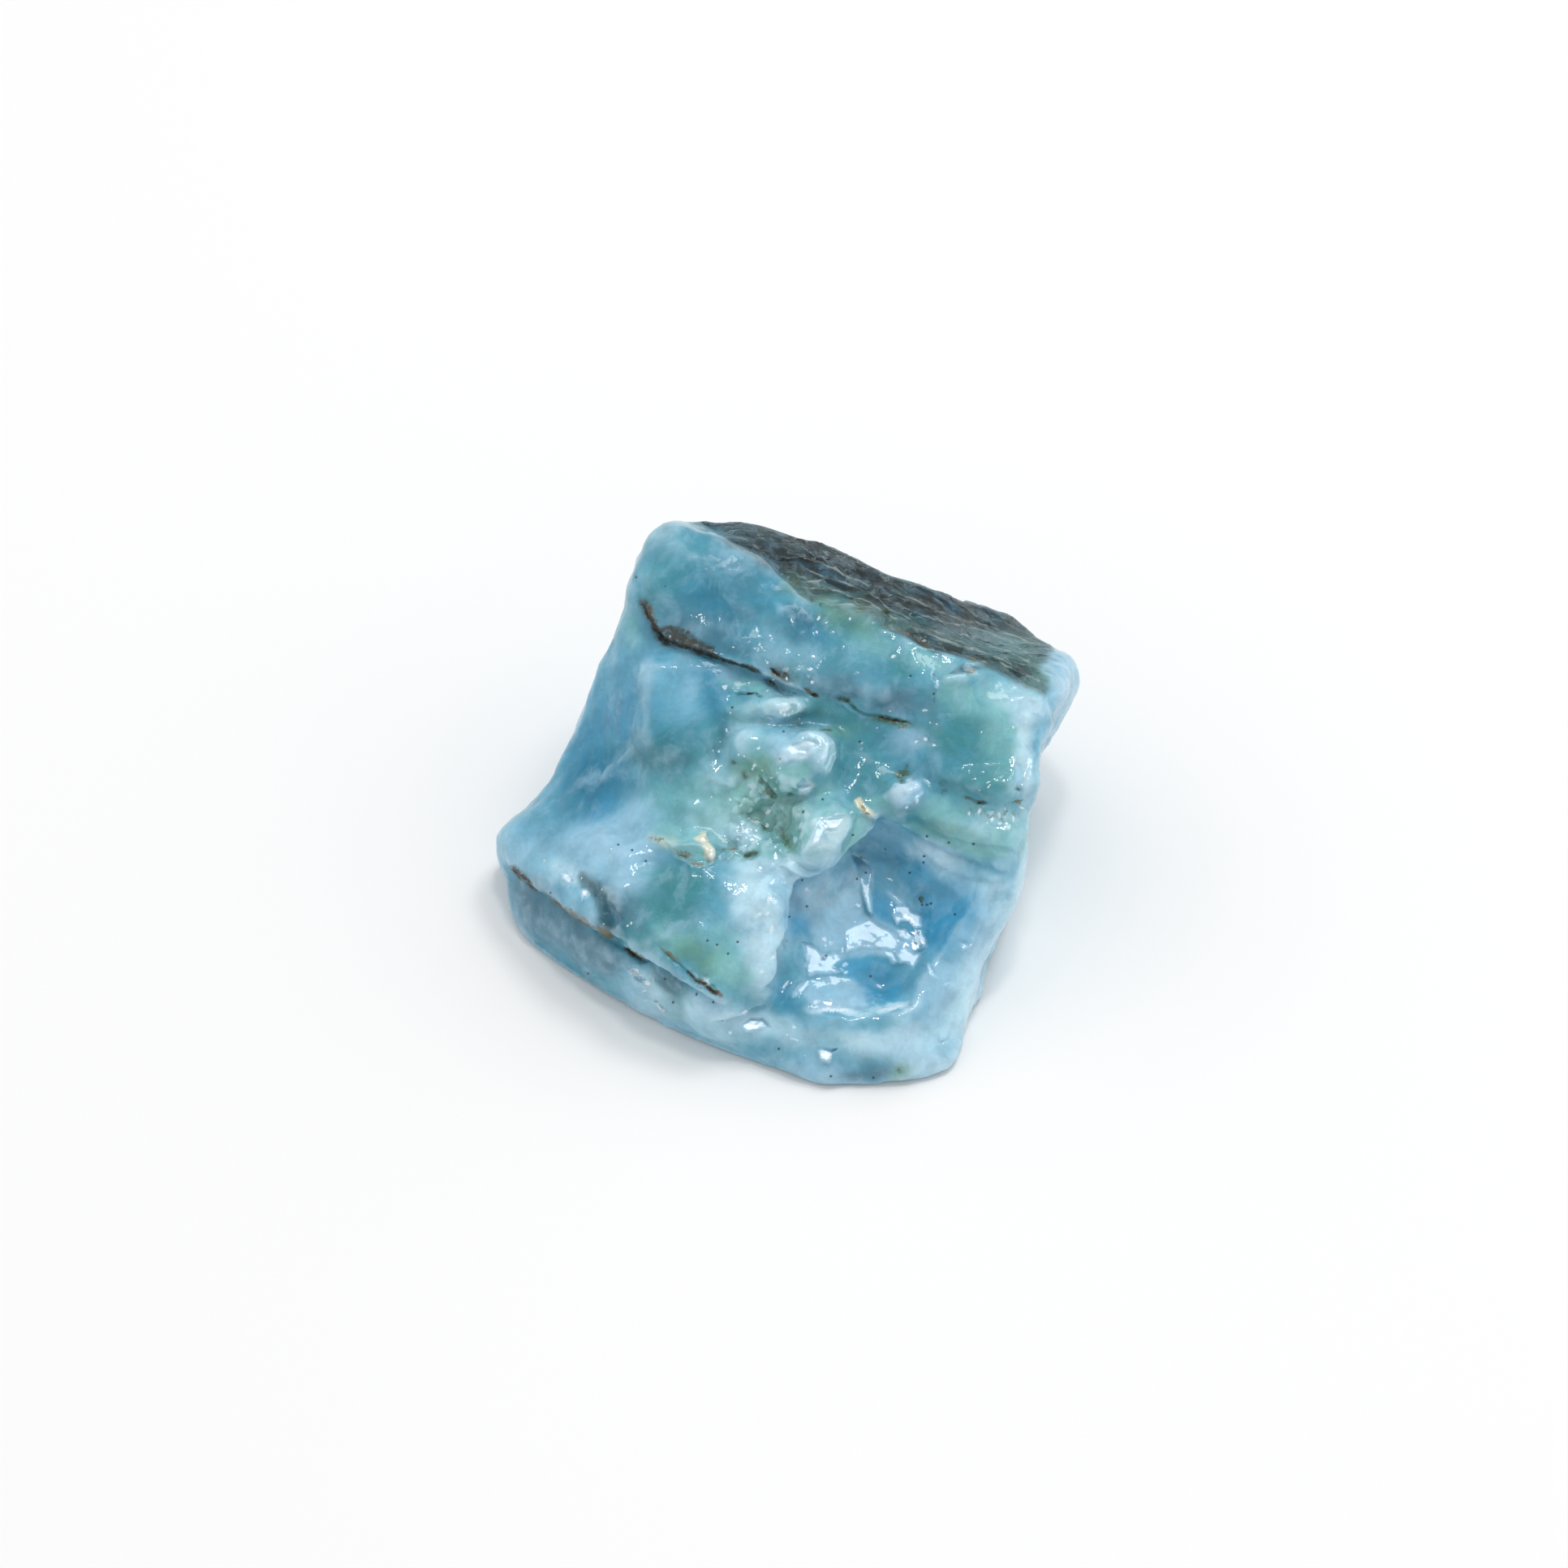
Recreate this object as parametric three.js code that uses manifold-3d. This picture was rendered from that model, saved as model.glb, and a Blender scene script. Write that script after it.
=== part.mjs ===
// Raw larimar: one broken, water-worn chunk of blue pectolite, in millimetres, +Z up.
//
// The chunk is one solid. Its broad broken face leans back from the front, and it rests on a flat
// break underneath. The origin is under the middle of the stone, on the surface that it rests on.
// +X runs along its longest side and +Y runs away from the broad face.
//
// The shape is worked out in the broad face's own frame: u across it, v up its slope and w straight
// out of it. Bearings go round that face, with 0 to the right and 90 up the slope. A tilt of 90
// looks straight out of the face, 0 looks sideways and less than 0 looks to the far side.
import * as THREE from "three";
import { ImprovedNoise } from "three/addons/math/ImprovedNoise.js";
import { mergeVertices } from "three/addons/utils/BufferGeometryUtils.js";
import Module from "manifold-3d";

// ---- Driving dimensions ----
const FACE_LEAN = 48; // degrees: the broad face's frame looks this far above level
const FACE_HEIGHT = 13; // height of the face frame's origin above the surface
const HEART = new THREE.Vector3(-0.5, 1, -6.5); // middle of the chunk, in the face frame
const EDGE_SHARPNESS = 26; // higher makes the worn edges between broken faces sharper
const SCOOP_RIM = 1.15; // how a scoop's depth falls off towards its rim; lower is crisper
const PARTING_TIP = 0.35; // a parting's size at its two ends, as a share of its full size
const BROAD_SWING = { size: 0.55, span: 6 }; // uneven skin: how far it swings, over what span
const FINE_SWING = { size: 0.3, span: 2.6 };
const FACE_FADE = [-0.6, -0.1]; // the face's features fade out as the skin turns to look away
const COLOUR = 0x86bdd2; // milky blue
const ROUGHNESS = 0.22; // worn smooth, with a wet look

// ---- Facets ----
const MESH_DETAIL = 20; // each of the 20 sides of the starting ball is cut (detail + 1) squared
const HALF_SIZES = new THREE.Vector3(21, 20, 13); // rough half sizes, to spread the facets evenly
const FRONT_CROWDING = 0.35; // share by which the facets crowd towards the broad face
const SHORTEST_EDGE = 0.02; // shorter edges left by a cut are closed up
const WELD = 1e-5; // corners of the starting ball closer than this are one
const PROBE_START = 20; // a spot of the broad face is looked for from this height down
const PROBE_STEP = 0.05;
const GROUND_WIDTH = 120; // the block that is cut away below the stone
const GROUND_DEPTH = 40;

// ---- The broken faces that bound the chunk: degrees, and millimetres from the heart ----
const BROKEN_FACES = [
  { name: "broad face", bearing: 100, tilt: 77, distance: 6.3 },
  { name: "right slope", bearing: -20, tilt: 50, distance: 17.3 },
  { name: "toe", bearing: -90, tilt: 60, distance: 17.4 },
  { name: "toe end", bearing: -90, tilt: 15, distance: 24 },
  { name: "left panel", bearing: 165, tilt: 50, distance: 10.5 },
  { name: "left limb", bearing: 152, tilt: 5, distance: 16.5 },
  { name: "upper left corner", bearing: 137, tilt: 0, distance: 20.2 },
  { name: "dark top", bearing: 72, tilt: 28, distance: 14.2 },
  { name: "far top", bearing: 72, tilt: -45, distance: 18.3 },
  { name: "upper right corner", bearing: 28, tilt: 3, distance: 24.7 },
  { name: "right side", bearing: -17, tilt: 1, distance: 18.3 },
  { name: "lower left side", bearing: -146, tilt: 27, distance: 19.0 },
  { name: "lower side", bearing: -132, tilt: 34, distance: 18.3 },
  { name: "foot side", bearing: -122, tilt: 37, distance: 18.9 },
  { name: "left spur", bearing: 183, tilt: 5, distance: 20.3 },
  { name: "back", bearing: 83, tilt: -30, distance: 18.9 },
  { name: "back left", bearing: 141, tilt: -13, distance: 19.0 },
  { name: "back right", bearing: 34, tilt: -13, distance: 24.2 },
  { name: "back shoulder", bearing: 112, tilt: -32, distance: 20.2 },
  { name: "right foot", bearing: -25, tilt: -34, distance: 17.8 },
  { name: "left foot", bearing: 176, tilt: -28, distance: 20 },
  { name: "underside", bearing: -90, tilt: -48, distance: 9.5 },
];

// ---- Swells and dents on the broad face ----
// at: u and v. reach: half lengths along and across, turned by turn degrees. rise: out of the
// skin, or into it below 0. flat: 2 is a soft dome, 6 and more a plateau with a crisp edge.
const SWELLS = [
  { name: "upper left lobe", at: [-9, 18.4], reach: [5, 4.5], turn: 40, rise: 0.2, flat: 2 },
  { name: "hollow flank", at: [-16.8, 5], reach: [6, 3.4], turn: 62, rise: -1.2, flat: 2 },
  { name: "left spur", at: [-20.8, -2.6], reach: [2.4, 2], turn: 30, rise: 0.5, flat: 2 },
  { name: "right dent", at: [19.2, 3.4], reach: [4, 3.2], turn: 70, rise: -0.9, flat: 2 },
  { name: "right swell", at: [17.4, -7.4], reach: [4.6, 3], turn: 75, rise: 1.3, flat: 2 },
  { name: "upper right knob", at: [20.8, 10], reach: [3.2, 2.2], turn: 45, rise: 0.3, flat: 2 },
  { name: "top dip", at: [16, 14.4], reach: [4, 3], turn: -18, rise: -2.2, flat: 2 },
  { name: "top swell", at: [4, 18.6], reach: [5, 2.4], turn: -20, rise: 0.6, flat: 2 },
  { name: "top terrace", at: [5, 15.6], reach: [8, 0.9], turn: -22, rise: -0.4, flat: 4 },
  { name: "band knob", at: [-5.4, 14.8], reach: [5, 3.4], turn: -25, rise: 0.6, flat: 2 },
  { name: "band saddle", at: [2.6, 11.8], reach: [2.2, 3.4], turn: -25, rise: -0.5, flat: 2 },
  { name: "valley", at: [-10.4, 0.4], reach: [4.6, 1.8], turn: 25, rise: -0.8, flat: 2 },
  { name: "middle dip", at: [7.6, 3.8], reach: [3, 2.4], turn: -15, rise: -0.6, flat: 2 },
  { name: "crumbly pit", at: [-1, -0.8], reach: [2, 1.5], turn: 0, rise: -0.8, flat: 3 },
  { name: "hollow rim", at: [-0.8, -8.6], reach: [1.2, 4.4], turn: -6, rise: 0.5, flat: 2 },
  { name: "chip", at: [5.7, 0.2], reach: [0.9, 0.7], turn: -40, rise: 0.6, flat: 4 },
  { name: "foot bulge", at: [6.4, -19], reach: [6, 2], turn: 0, rise: 0.7, flat: 4 },
  { name: "low dip", at: [-2.4, -18.4], reach: [3.4, 1.6], turn: -28, rise: -0.3, flat: 2 },
];

// ---- Broken plates and steps on the broad face ----
// corners: u and v, in order round the plate. rise: out of the skin in the plate's middle.
// lean: how much the rise grows per millimetre of u and of v. edge: width of the broken edge.
const PLATES = [
  {
    name: "upper band",
    corners: [
      [-9.1, 20.4],
      [-2.5, 18.4],
      [0.3, 15.9],
      [6.8, 13.4],
      [17, 10.3],
      [11.4, 7.2],
      [5.4, 7.2],
      [-0.5, 9.3],
      [-8.2, 11.8],
      [-11.4, 15],
    ],
    rise: 1.2,
    lean: [0, -0.06],
    edge: 2.0,
  },
  {
    name: "left plate",
    corners: [
      [-10.2, 10.1],
      [-8.2, 11.1],
      [-5.2, 10.5],
      [-4, 8.9],
      [-4.5, 5.3],
      [-6.4, 2.6],
      [-10, 2.4],
      [-11, 4.7],
      [-10.4, 7.4],
    ],
    rise: 0.9,
    lean: [-0.12, 0.1],
    edge: 1.8,
  },
  {
    name: "small knob",
    corners: [
      [-3.9, 7.2],
      [-1.6, 8],
      [0.6, 7.9],
      [1.5, 7],
      [0.2, 5.9],
      [-3.4, 6],
    ],
    rise: 1.2,
    lean: [0, -0.3],
    edge: 1.5,
  },
  {
    name: "pale boulder",
    corners: [
      [-4, 5.4],
      [3.1, 5.2],
      [3.9, 4.1],
      [3.6, 2.3],
      [1.8, 1.1],
      [-2.2, 1.3],
      [-4, 3.6],
    ],
    rise: 1.9,
    lean: [0.06, -0.3],
    edge: 1.7,
  },
  {
    name: "lower pale boulder",
    corners: [
      [1.2, -0.4],
      [3.7, 0.3],
      [5, -0.6],
      [4.6, -2.4],
      [3.2, -4.4],
      [1.4, -4.5],
      [0.5, -2.8],
    ],
    rise: 1.9,
    lean: [0.05, -0.25],
    edge: 1.7,
  },
  {
    name: "small plate",
    corners: [
      [-8.2, -2.6],
      [-5.3, -2.5],
      [-4.9, -4.1],
      [-6.4, -4.7],
      [-8.5, -4.1],
    ],
    rise: 0.9,
    lean: [0, -0.3],
    edge: 1.5,
  },
  {
    name: "side lump",
    corners: [
      [7.9, 1.7],
      [10, 1.8],
      [10.2, 0.2],
      [8.4, -0.5],
      [7.2, 0.6],
    ],
    rise: 1.0,
    lean: [0, -0.2],
    edge: 1.5,
  },
  {
    name: "right block",
    corners: [
      [11.1, 9],
      [13.4, 9.6],
      [18.8, 8],
      [19, 3.8],
      [18.2, 0.4],
      [14.9, -0.2],
      [12, 1],
      [10.4, 3],
      [10.1, 6.5],
    ],
    rise: 1.1,
    lean: [0, -0.08],
    edge: 1.6,
  },
  {
    name: "shoulder",
    corners: [
      [-20.8, -2.4],
      [-19, -0.4],
      [-15.9, 0.2],
      [-12.6, -1.8],
      [-9.9, -3.4],
      [-10.6, -6.6],
      [-12.7, -8.9],
      [-15.6, -7.7],
      [-17.6, -6.4],
      [-20.4, -4.6],
    ],
    rise: 1.5,
    lean: [0, -0.12],
    edge: 1.8,
  },
  {
    name: "teal swell",
    corners: [
      [-9.7, -4.9],
      [-6.4, -4.6],
      [-2.2, -5.2],
      [0.1, -6.8],
      [-0.3, -9],
      [-1.2, -13.4],
      [-4.3, -14.1],
      [-7, -13],
      [-10.5, -11.1],
      [-12.4, -9.4],
      [-11.8, -6.8],
    ],
    rise: 1.2,
    lean: [0, -0.05],
    edge: 1.8,
  },
  {
    name: "hollow's step",
    corners: [
      [6.6, -1],
      [4.8, -3.2],
      [3.1, -4.6],
      [1, -5.5],
      [0.1, -7],
      [-0.3, -9],
      [-1.1, -11],
      [-1.3, -13.4],
      [-4, -16.3],
      [-1, -18],
      [6.6, -19.8],
      [11.5, -17.4],
      [14.2, -9.5],
      [16, -5],
      [14, -3.4],
      [9.6, -1.4],
    ],
    rise: -1.5,
    lean: [0.08, -0.08],
    edge: 1.6,
  },
];

// ---- Scooped breaks on the broad face: half lengths, turned by turn degrees ----
const SCOOPS = [
  { name: "big hollow", at: [7.8, -8.6], reach: [8.6, 7.2], turn: 35, depth: 2.8 },
  { name: "right pocket", at: [10.6, -8.4], reach: [3.6, 2.8], turn: 0, depth: 0.7 },
  { name: "low pocket", at: [7, -12.6], reach: [3.4, 2], turn: -10, depth: 0.7 },
];

// ---- Swells and scars on the sides that look away from the broad face ----
// at: bearing and tilt from the heart. reach: radius on the skin.
const SIDE_SWELLS = [
  { name: "back scar", at: [62, -36], reach: 7.5, rise: -1.5, flat: 6 },
  { name: "back scar's floor", at: [52, -30], reach: 4.5, rise: -0.8, flat: 4 },
  { name: "back left scar", at: [138, -22], reach: 6, rise: -1.2, flat: 7 },
  { name: "back ridge", at: [100, -26], reach: 4.5, rise: 1.0, flat: 5 },
  { name: "low back bulge", at: [78, -58], reach: 6, rise: 0.8, flat: 5 },
  { name: "right side scar", at: [-6, -18], reach: 6, rise: -1.4, flat: 7 },
  { name: "right side ledge", at: [16, -10], reach: 4.5, rise: 0.9, flat: 6 },
  { name: "left side scar", at: [176, -24], reach: 5.5, rise: -1.2, flat: 6 },
  { name: "top scar", at: [88, 14], reach: 4, rise: -0.6, flat: 5 },
];

// ---- Open partings between the layers: corners of each as u and v, widest and deepest size ----
const PARTINGS = [
  {
    name: "upper parting",
    route: [
      [-10.6, 14.4],
      [-10, 13.2],
      [-9.2, 12.1],
      [-6.8, 11.3],
      [-3.2, 10.4],
      [0.4, 8.9],
      [2.6, 8.6],
    ],
    width: 0.9,
    depth: 2.2,
  },
  {
    name: "upper parting, right end",
    route: [
      [3.2, 7.9],
      [5.6, 7],
      [9.2, 5.9],
    ],
    width: 0.6,
    depth: 1.0,
  },
  {
    name: "lower parting",
    route: [
      [-19.8, -4.8],
      [-17.2, -6.6],
      [-15.2, -8.2],
      [-12.6, -9.6],
      [-9.8, -11.7],
      [-7.8, -12.6],
      [-5.0, -14.2],
    ],
    width: 0.9,
    depth: 2.2,
  },
  {
    name: "right parting",
    route: [
      [8, 2.8],
      [10.6, 1.2],
      [13.6, 0],
      [17.6, -0.4],
    ],
    width: 0.7,
    depth: 0.9,
  },
];

// ---- The same partings where they run on round the far sides: bearing and tilt of each corner ----
const SIDE_PARTINGS = [
  {
    name: "upper parting, left side and back",
    route: [
      [131, -3],
      [128, -11],
      [130, -19],
      [124, -28],
      [122, -37],
      [114, -45],
      [109, -52],
    ],
    width: 0.5,
    depth: 1.2,
  },
  {
    name: "lower parting, left side",
    route: [
      [196, 0],
      [194, -6],
      [197, -12],
    ],
    width: 0.8,
    depth: 1.4,
  },
  {
    name: "right side parting",
    route: [
      [-3, 17],
      [-5, 8],
      [-3, -2],
      [-6, -10],
      [-4, -17],
    ],
    width: 0.5,
    depth: 1.1,
  },
];

const noise = new ImprovedNoise();
const radians = THREE.MathUtils.degToRad;

/** Unit vector of a bearing and a tilt, in the face frame. */
function look(bearing, tilt) {
  const b = radians(bearing);
  const t = radians(tilt);
  return new THREE.Vector3(Math.cos(b) * Math.cos(t), Math.sin(b) * Math.cos(t), Math.sin(t));
}

const PLANES = BROKEN_FACES.map((face) => ({
  normal: look(face.bearing, face.tilt),
  distance: face.distance,
}));

/** How far the worn block reaches from the heart along a unit direction. */
function blockReach(direction) {
  let sum = 0;
  for (const { normal, distance } of PLANES) {
    const facing = Math.max(0, normal.dot(direction)) / distance;
    sum += facing ** EDGE_SHARPNESS;
  }
  return sum ** (-1 / EDGE_SHARPNESS);
}

/** Outward normal of the worn block along a unit direction. */
function blockNormal(direction) {
  const out = new THREE.Vector3();
  for (const { normal, distance } of PLANES) {
    const facing = Math.max(0, normal.dot(direction)) / distance;
    out.addScaledVector(normal, facing ** (EDGE_SHARPNESS - 1) / distance);
  }
  return out.normalize();
}

/** The point of the worn block along a unit direction. */
function blockPoint(direction) {
  return direction.clone().multiplyScalar(blockReach(direction)).add(HEART);
}

/** A point's distance from a face feature's middle, as a share of its reach. */
function share(point, { at, reach, turn }) {
  const c = Math.cos(radians(turn));
  const s = Math.sin(radians(turn));
  const du = point.x - at[0];
  const dv = point.y - at[1];
  return Math.hypot((du * c + dv * s) / reach[0], (dv * c - du * s) / reach[1]);
}

/** Distance from a point to a plate's outline across the face: above 0 inside it. */
function insideOutline(point, corners) {
  let nearest = Infinity;
  let inside = false;
  corners.forEach(([u1, v1], i) => {
    const [u0, v0] = corners[(i + corners.length - 1) % corners.length];
    const du = u1 - u0;
    const dv = v1 - v0;
    const along = ((point.x - u0) * du + (point.y - v0) * dv) / (du * du + dv * dv);
    const t = THREE.MathUtils.clamp(along, 0, 1);
    nearest = Math.min(nearest, Math.hypot(point.x - u0 - t * du, point.y - v0 - t * dv));
    const crosses = v0 > point.y !== v1 > point.y;
    if (crosses && point.x < u0 + ((point.y - v0) * du) / dv) {
      inside = !inside;
    }
  });
  return inside ? nearest : -nearest;
}

/** How far a plate lifts the skin at a point of the worn block. */
function plateRise(point, { corners, rise, lean, edge }) {
  const middleU = corners.reduce((sum, corner) => sum + corner[0], 0) / corners.length;
  const middleV = corners.reduce((sum, corner) => sum + corner[1], 0) / corners.length;
  const lifted = THREE.MathUtils.smoothstep(insideOutline(point, corners), -edge / 2, edge / 2);
  return lifted * (rise + lean[0] * (point.x - middleU) + lean[1] * (point.y - middleV));
}

const SIDE_MIDDLES = SIDE_SWELLS.map(({ at }) => blockPoint(look(at[0], at[1])));

/** How far the skin stands out of the worn block at a point whose block normal is given. */
function relief(point, normal) {
  const shown = THREE.MathUtils.smoothstep(normal.z, FACE_FADE[0], FACE_FADE[1]);
  let rise = 0;
  for (const swell of SWELLS) {
    rise += shown * swell.rise * Math.exp(-(share(point, swell) ** swell.flat));
  }
  for (const plate of PLATES) {
    rise += shown * plateRise(point, plate);
  }
  for (const scoop of SCOOPS) {
    rise -= shown * scoop.depth * Math.max(0, 1 - share(point, scoop) ** 2) ** SCOOP_RIM;
  }
  SIDE_SWELLS.forEach((swell, i) => {
    const away = point.distanceTo(SIDE_MIDDLES[i]) / swell.reach;
    rise += swell.rise * Math.exp(-(away ** swell.flat));
  });
  for (const { size, span } of [BROAD_SWING, FINE_SWING]) {
    rise += size * noise.noise(point.x / span, point.y / span, point.z / span);
  }
  return rise;
}

/** The point of the finished skin along a unit direction, with the block's normal there. */
function skinPoint(direction) {
  const point = blockPoint(direction);
  const normal = blockNormal(direction);
  point.addScaledVector(normal, relief(point, normal));
  return { point, normal };
}

/** The stone's skin as a closed geometry in the face frame. */
function skin() {
  const ball = new THREE.IcosahedronGeometry(1, MESH_DETAIL);
  ball.deleteAttribute("normal");
  ball.deleteAttribute("uv");
  const geometry = mergeVertices(ball, WELD);
  const position = geometry.getAttribute("position");
  const direction = new THREE.Vector3();
  for (let i = 0; i < position.count; i += 1) {
    direction.fromBufferAttribute(position, i);
    direction.z += FRONT_CROWDING;
    direction.multiply(HALF_SIZES).normalize();
    const { point } = skinPoint(direction);
    position.setXYZ(i, point.x, point.y, point.z);
  }
  return geometry;
}

/** The skin's point and block normal above a spot of the broad face, met from outside. */
function onFace([u, v]) {
  const direction = new THREE.Vector3();
  let depth = PROBE_START;
  let outside = true;
  while (outside) {
    depth -= PROBE_STEP;
    direction.set(u, v, depth).sub(HEART);
    outside = direction.length() > blockReach(direction.normalize());
  }
  return skinPoint(direction);
}

/** The skin's point and block normal along a bearing and a tilt. */
function onSide([bearing, tilt]) {
  return skinPoint(look(bearing, tilt));
}

/**
 * A wedge that opens a parting along its stations. Each station has two corners above the skin
 * and one below it, and the two end stations are thinner and shallower.
 */
function partingWedge(stations, width, depth) {
  const last = stations.length - 1;
  const corners = [];
  const faces = [];
  stations.forEach(({ point, normal }, i) => {
    const before = stations[Math.max(0, i - 1)].point;
    const after = stations[Math.min(last, i + 1)].point;
    const along = after.clone().sub(before).normalize();
    const across = along.clone().cross(normal).normalize();
    const size = i === 0 || i === last ? PARTING_TIP : 1;
    const lip = point.clone().addScaledVector(normal, depth);
    corners.push(lip.clone().addScaledVector(across, width * size));
    corners.push(lip.clone().addScaledVector(across, -width * size));
    corners.push(point.clone().addScaledVector(normal, -depth * size));
    if (i > 0) {
      const a = 3 * (i - 1);
      const b = 3 * i;
      for (let side = 0; side < 3; side += 1) {
        const next = (side + 1) % 3;
        faces.push(a + side, b + side, b + next, a + side, b + next, a + next);
      }
    }
  });
  faces.push(0, 1, 2, 3 * last, 3 * last + 2, 3 * last + 1);
  const wedge = new THREE.BufferGeometry();
  wedge.setAttribute(
    "position",
    new THREE.Float32BufferAttribute(corners.flatMap((corner) => corner.toArray()), 3),
  );
  wedge.setIndex(faces);
  return wedge;
}

/** Turns face-frame points to the stone's own frame, standing on z = 0. */
function standUp(geometry) {
  geometry.rotateX(radians(90 - FACE_LEAN));
  geometry.translate(0, 0, FACE_HEIGHT);
  return geometry;
}

const wasm = await Module();
wasm.setup();

/** A closed, merged geometry as a manifold-3d solid. */
function toSolid(geometry) {
  return new wasm.Manifold(
    new wasm.Mesh({
      numProp: 3,
      vertProperties: new Float32Array(geometry.getAttribute("position").array),
      triVerts: new Uint32Array(geometry.index.array),
      tolerance: SHORTEST_EDGE,
    }),
  );
}

/** A manifold-3d solid as a geometry. */
function toGeometry(solid) {
  const mesh = solid.getMesh();
  const geometry = new THREE.BufferGeometry();
  geometry.setAttribute("position", new THREE.BufferAttribute(mesh.vertProperties, 3));
  geometry.setIndex(new THREE.BufferAttribute(mesh.triVerts, 1));
  geometry.computeVertexNormals();
  return geometry;
}

/** Everything under the surface that the stone rests on. */
function groundBlock() {
  const ground = new THREE.BoxGeometry(GROUND_WIDTH, GROUND_WIDTH, GROUND_DEPTH);
  ground.deleteAttribute("normal");
  ground.deleteAttribute("uv");
  ground.translate(0, 0, -GROUND_DEPTH / 2);
  return mergeVertices(ground);
}

let worn = toSolid(standUp(skin())).subtract(toSolid(groundBlock()));
for (const { route, width, depth } of PARTINGS) {
  worn = worn.subtract(toSolid(standUp(partingWedge(route.map(onFace), width, depth))));
}
for (const { route, width, depth } of SIDE_PARTINGS) {
  worn = worn.subtract(toSolid(standUp(partingWedge(route.map(onSide), width, depth))));
}

const shape = toGeometry(worn);
shape.computeBoundingBox();
const middle = shape.boundingBox.getCenter(new THREE.Vector3());
shape.translate(-middle.x, -middle.y, 0);

const stone = new THREE.Mesh(
  shape,
  new THREE.MeshStandardMaterial({ color: COLOUR, roughness: ROUGHNESS, metalness: 0 }),
);
stone.name = "larimar_stone";

const larimar = new THREE.Group();
larimar.name = "raw_larimar";
larimar.add(stone);

export default larimar;
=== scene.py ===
"""Raw larimar: the finished look of one water-worn chunk of blue pectolite.

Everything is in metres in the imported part's frame, +Z up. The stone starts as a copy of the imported
solid. It is meshed finely, its worn skin is sculpted in the broad face's own frame, in millimetres,
and it is dressed in one procedural material that reads that frame and a few sculpted masks.
"""

import logging
import math
from collections.abc import Iterable
from dataclasses import dataclass, field, replace
from enum import Enum

import bpy
import numpy as np
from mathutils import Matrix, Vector


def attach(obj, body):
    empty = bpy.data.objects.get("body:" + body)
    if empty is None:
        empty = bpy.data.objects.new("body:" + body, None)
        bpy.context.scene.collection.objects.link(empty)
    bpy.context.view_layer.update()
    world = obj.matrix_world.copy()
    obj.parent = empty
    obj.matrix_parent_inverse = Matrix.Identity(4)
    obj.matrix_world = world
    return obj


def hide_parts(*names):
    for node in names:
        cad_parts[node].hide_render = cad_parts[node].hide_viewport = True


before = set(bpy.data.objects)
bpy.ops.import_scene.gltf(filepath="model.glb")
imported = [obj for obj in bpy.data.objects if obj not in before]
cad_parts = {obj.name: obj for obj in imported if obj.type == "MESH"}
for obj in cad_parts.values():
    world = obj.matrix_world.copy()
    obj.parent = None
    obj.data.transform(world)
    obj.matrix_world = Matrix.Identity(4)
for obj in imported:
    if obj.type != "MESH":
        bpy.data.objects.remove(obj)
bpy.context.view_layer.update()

LOG = logging.getLogger("larimar")
MM = 0.001
Array = np.ndarray
Spot = tuple[float, float]
Way = tuple[float, float, float]
Socket = bpy.types.NodeSocket
Feed = Socket | float | tuple[float, ...] | None


def smooth_step(values: Array, low: float, high: float) -> Array:
    """Rises softly from 0 at low to 1 at high."""
    t = np.clip((values - low) / (high - low), 0.0, 1.0)
    return t * t * (3.0 - 2.0 * t)


def far_way(bearing: float, height: float) -> Way:
    """The way to a far light: degrees from straight behind, to the right, and above the floor."""
    turn, up = math.radians(bearing), math.radians(height)
    return math.sin(turn) * math.cos(up), math.cos(turn) * math.cos(up), math.sin(up)


@dataclass(frozen=True)
class FaceFrame:
    """The broad face's own frame, in mm: u across it, v up its slope, w straight out of it.

    Features are laid out on the face by lines from a point far out along w, the sight point.
    """

    lean: float = 42.0
    origin: Way = (-0.0921, -4.3019, 13.0)
    sight: float = 420.0
    sight_foot: Spot = (-0.12, 1.42)

    def axes(self) -> Array:
        """The directions u, v and w, one per row."""
        c, s = math.cos(math.radians(self.lean)), math.sin(math.radians(self.lean))
        return np.array([[1.0, 0.0, 0.0], [0.0, c, s], [0.0, -s, c]])

    def places(self, points: Array) -> Array:
        """Turns points in metres into u, v and w."""
        return (points / MM - np.array(self.origin)) @ self.axes().T

    def points(self, places: Array) -> Array:
        """Turns u, v and w into points in metres."""
        return (places @ self.axes() + np.array(self.origin)) * MM

    def spots(self, places: Array) -> Array:
        """Where u, v, w places lie in the face's layout."""
        foot = np.array(self.sight_foot)
        return foot + (places[:, :2] - foot) * (self.sight / (self.sight - places[:, 2:3]))


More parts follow.
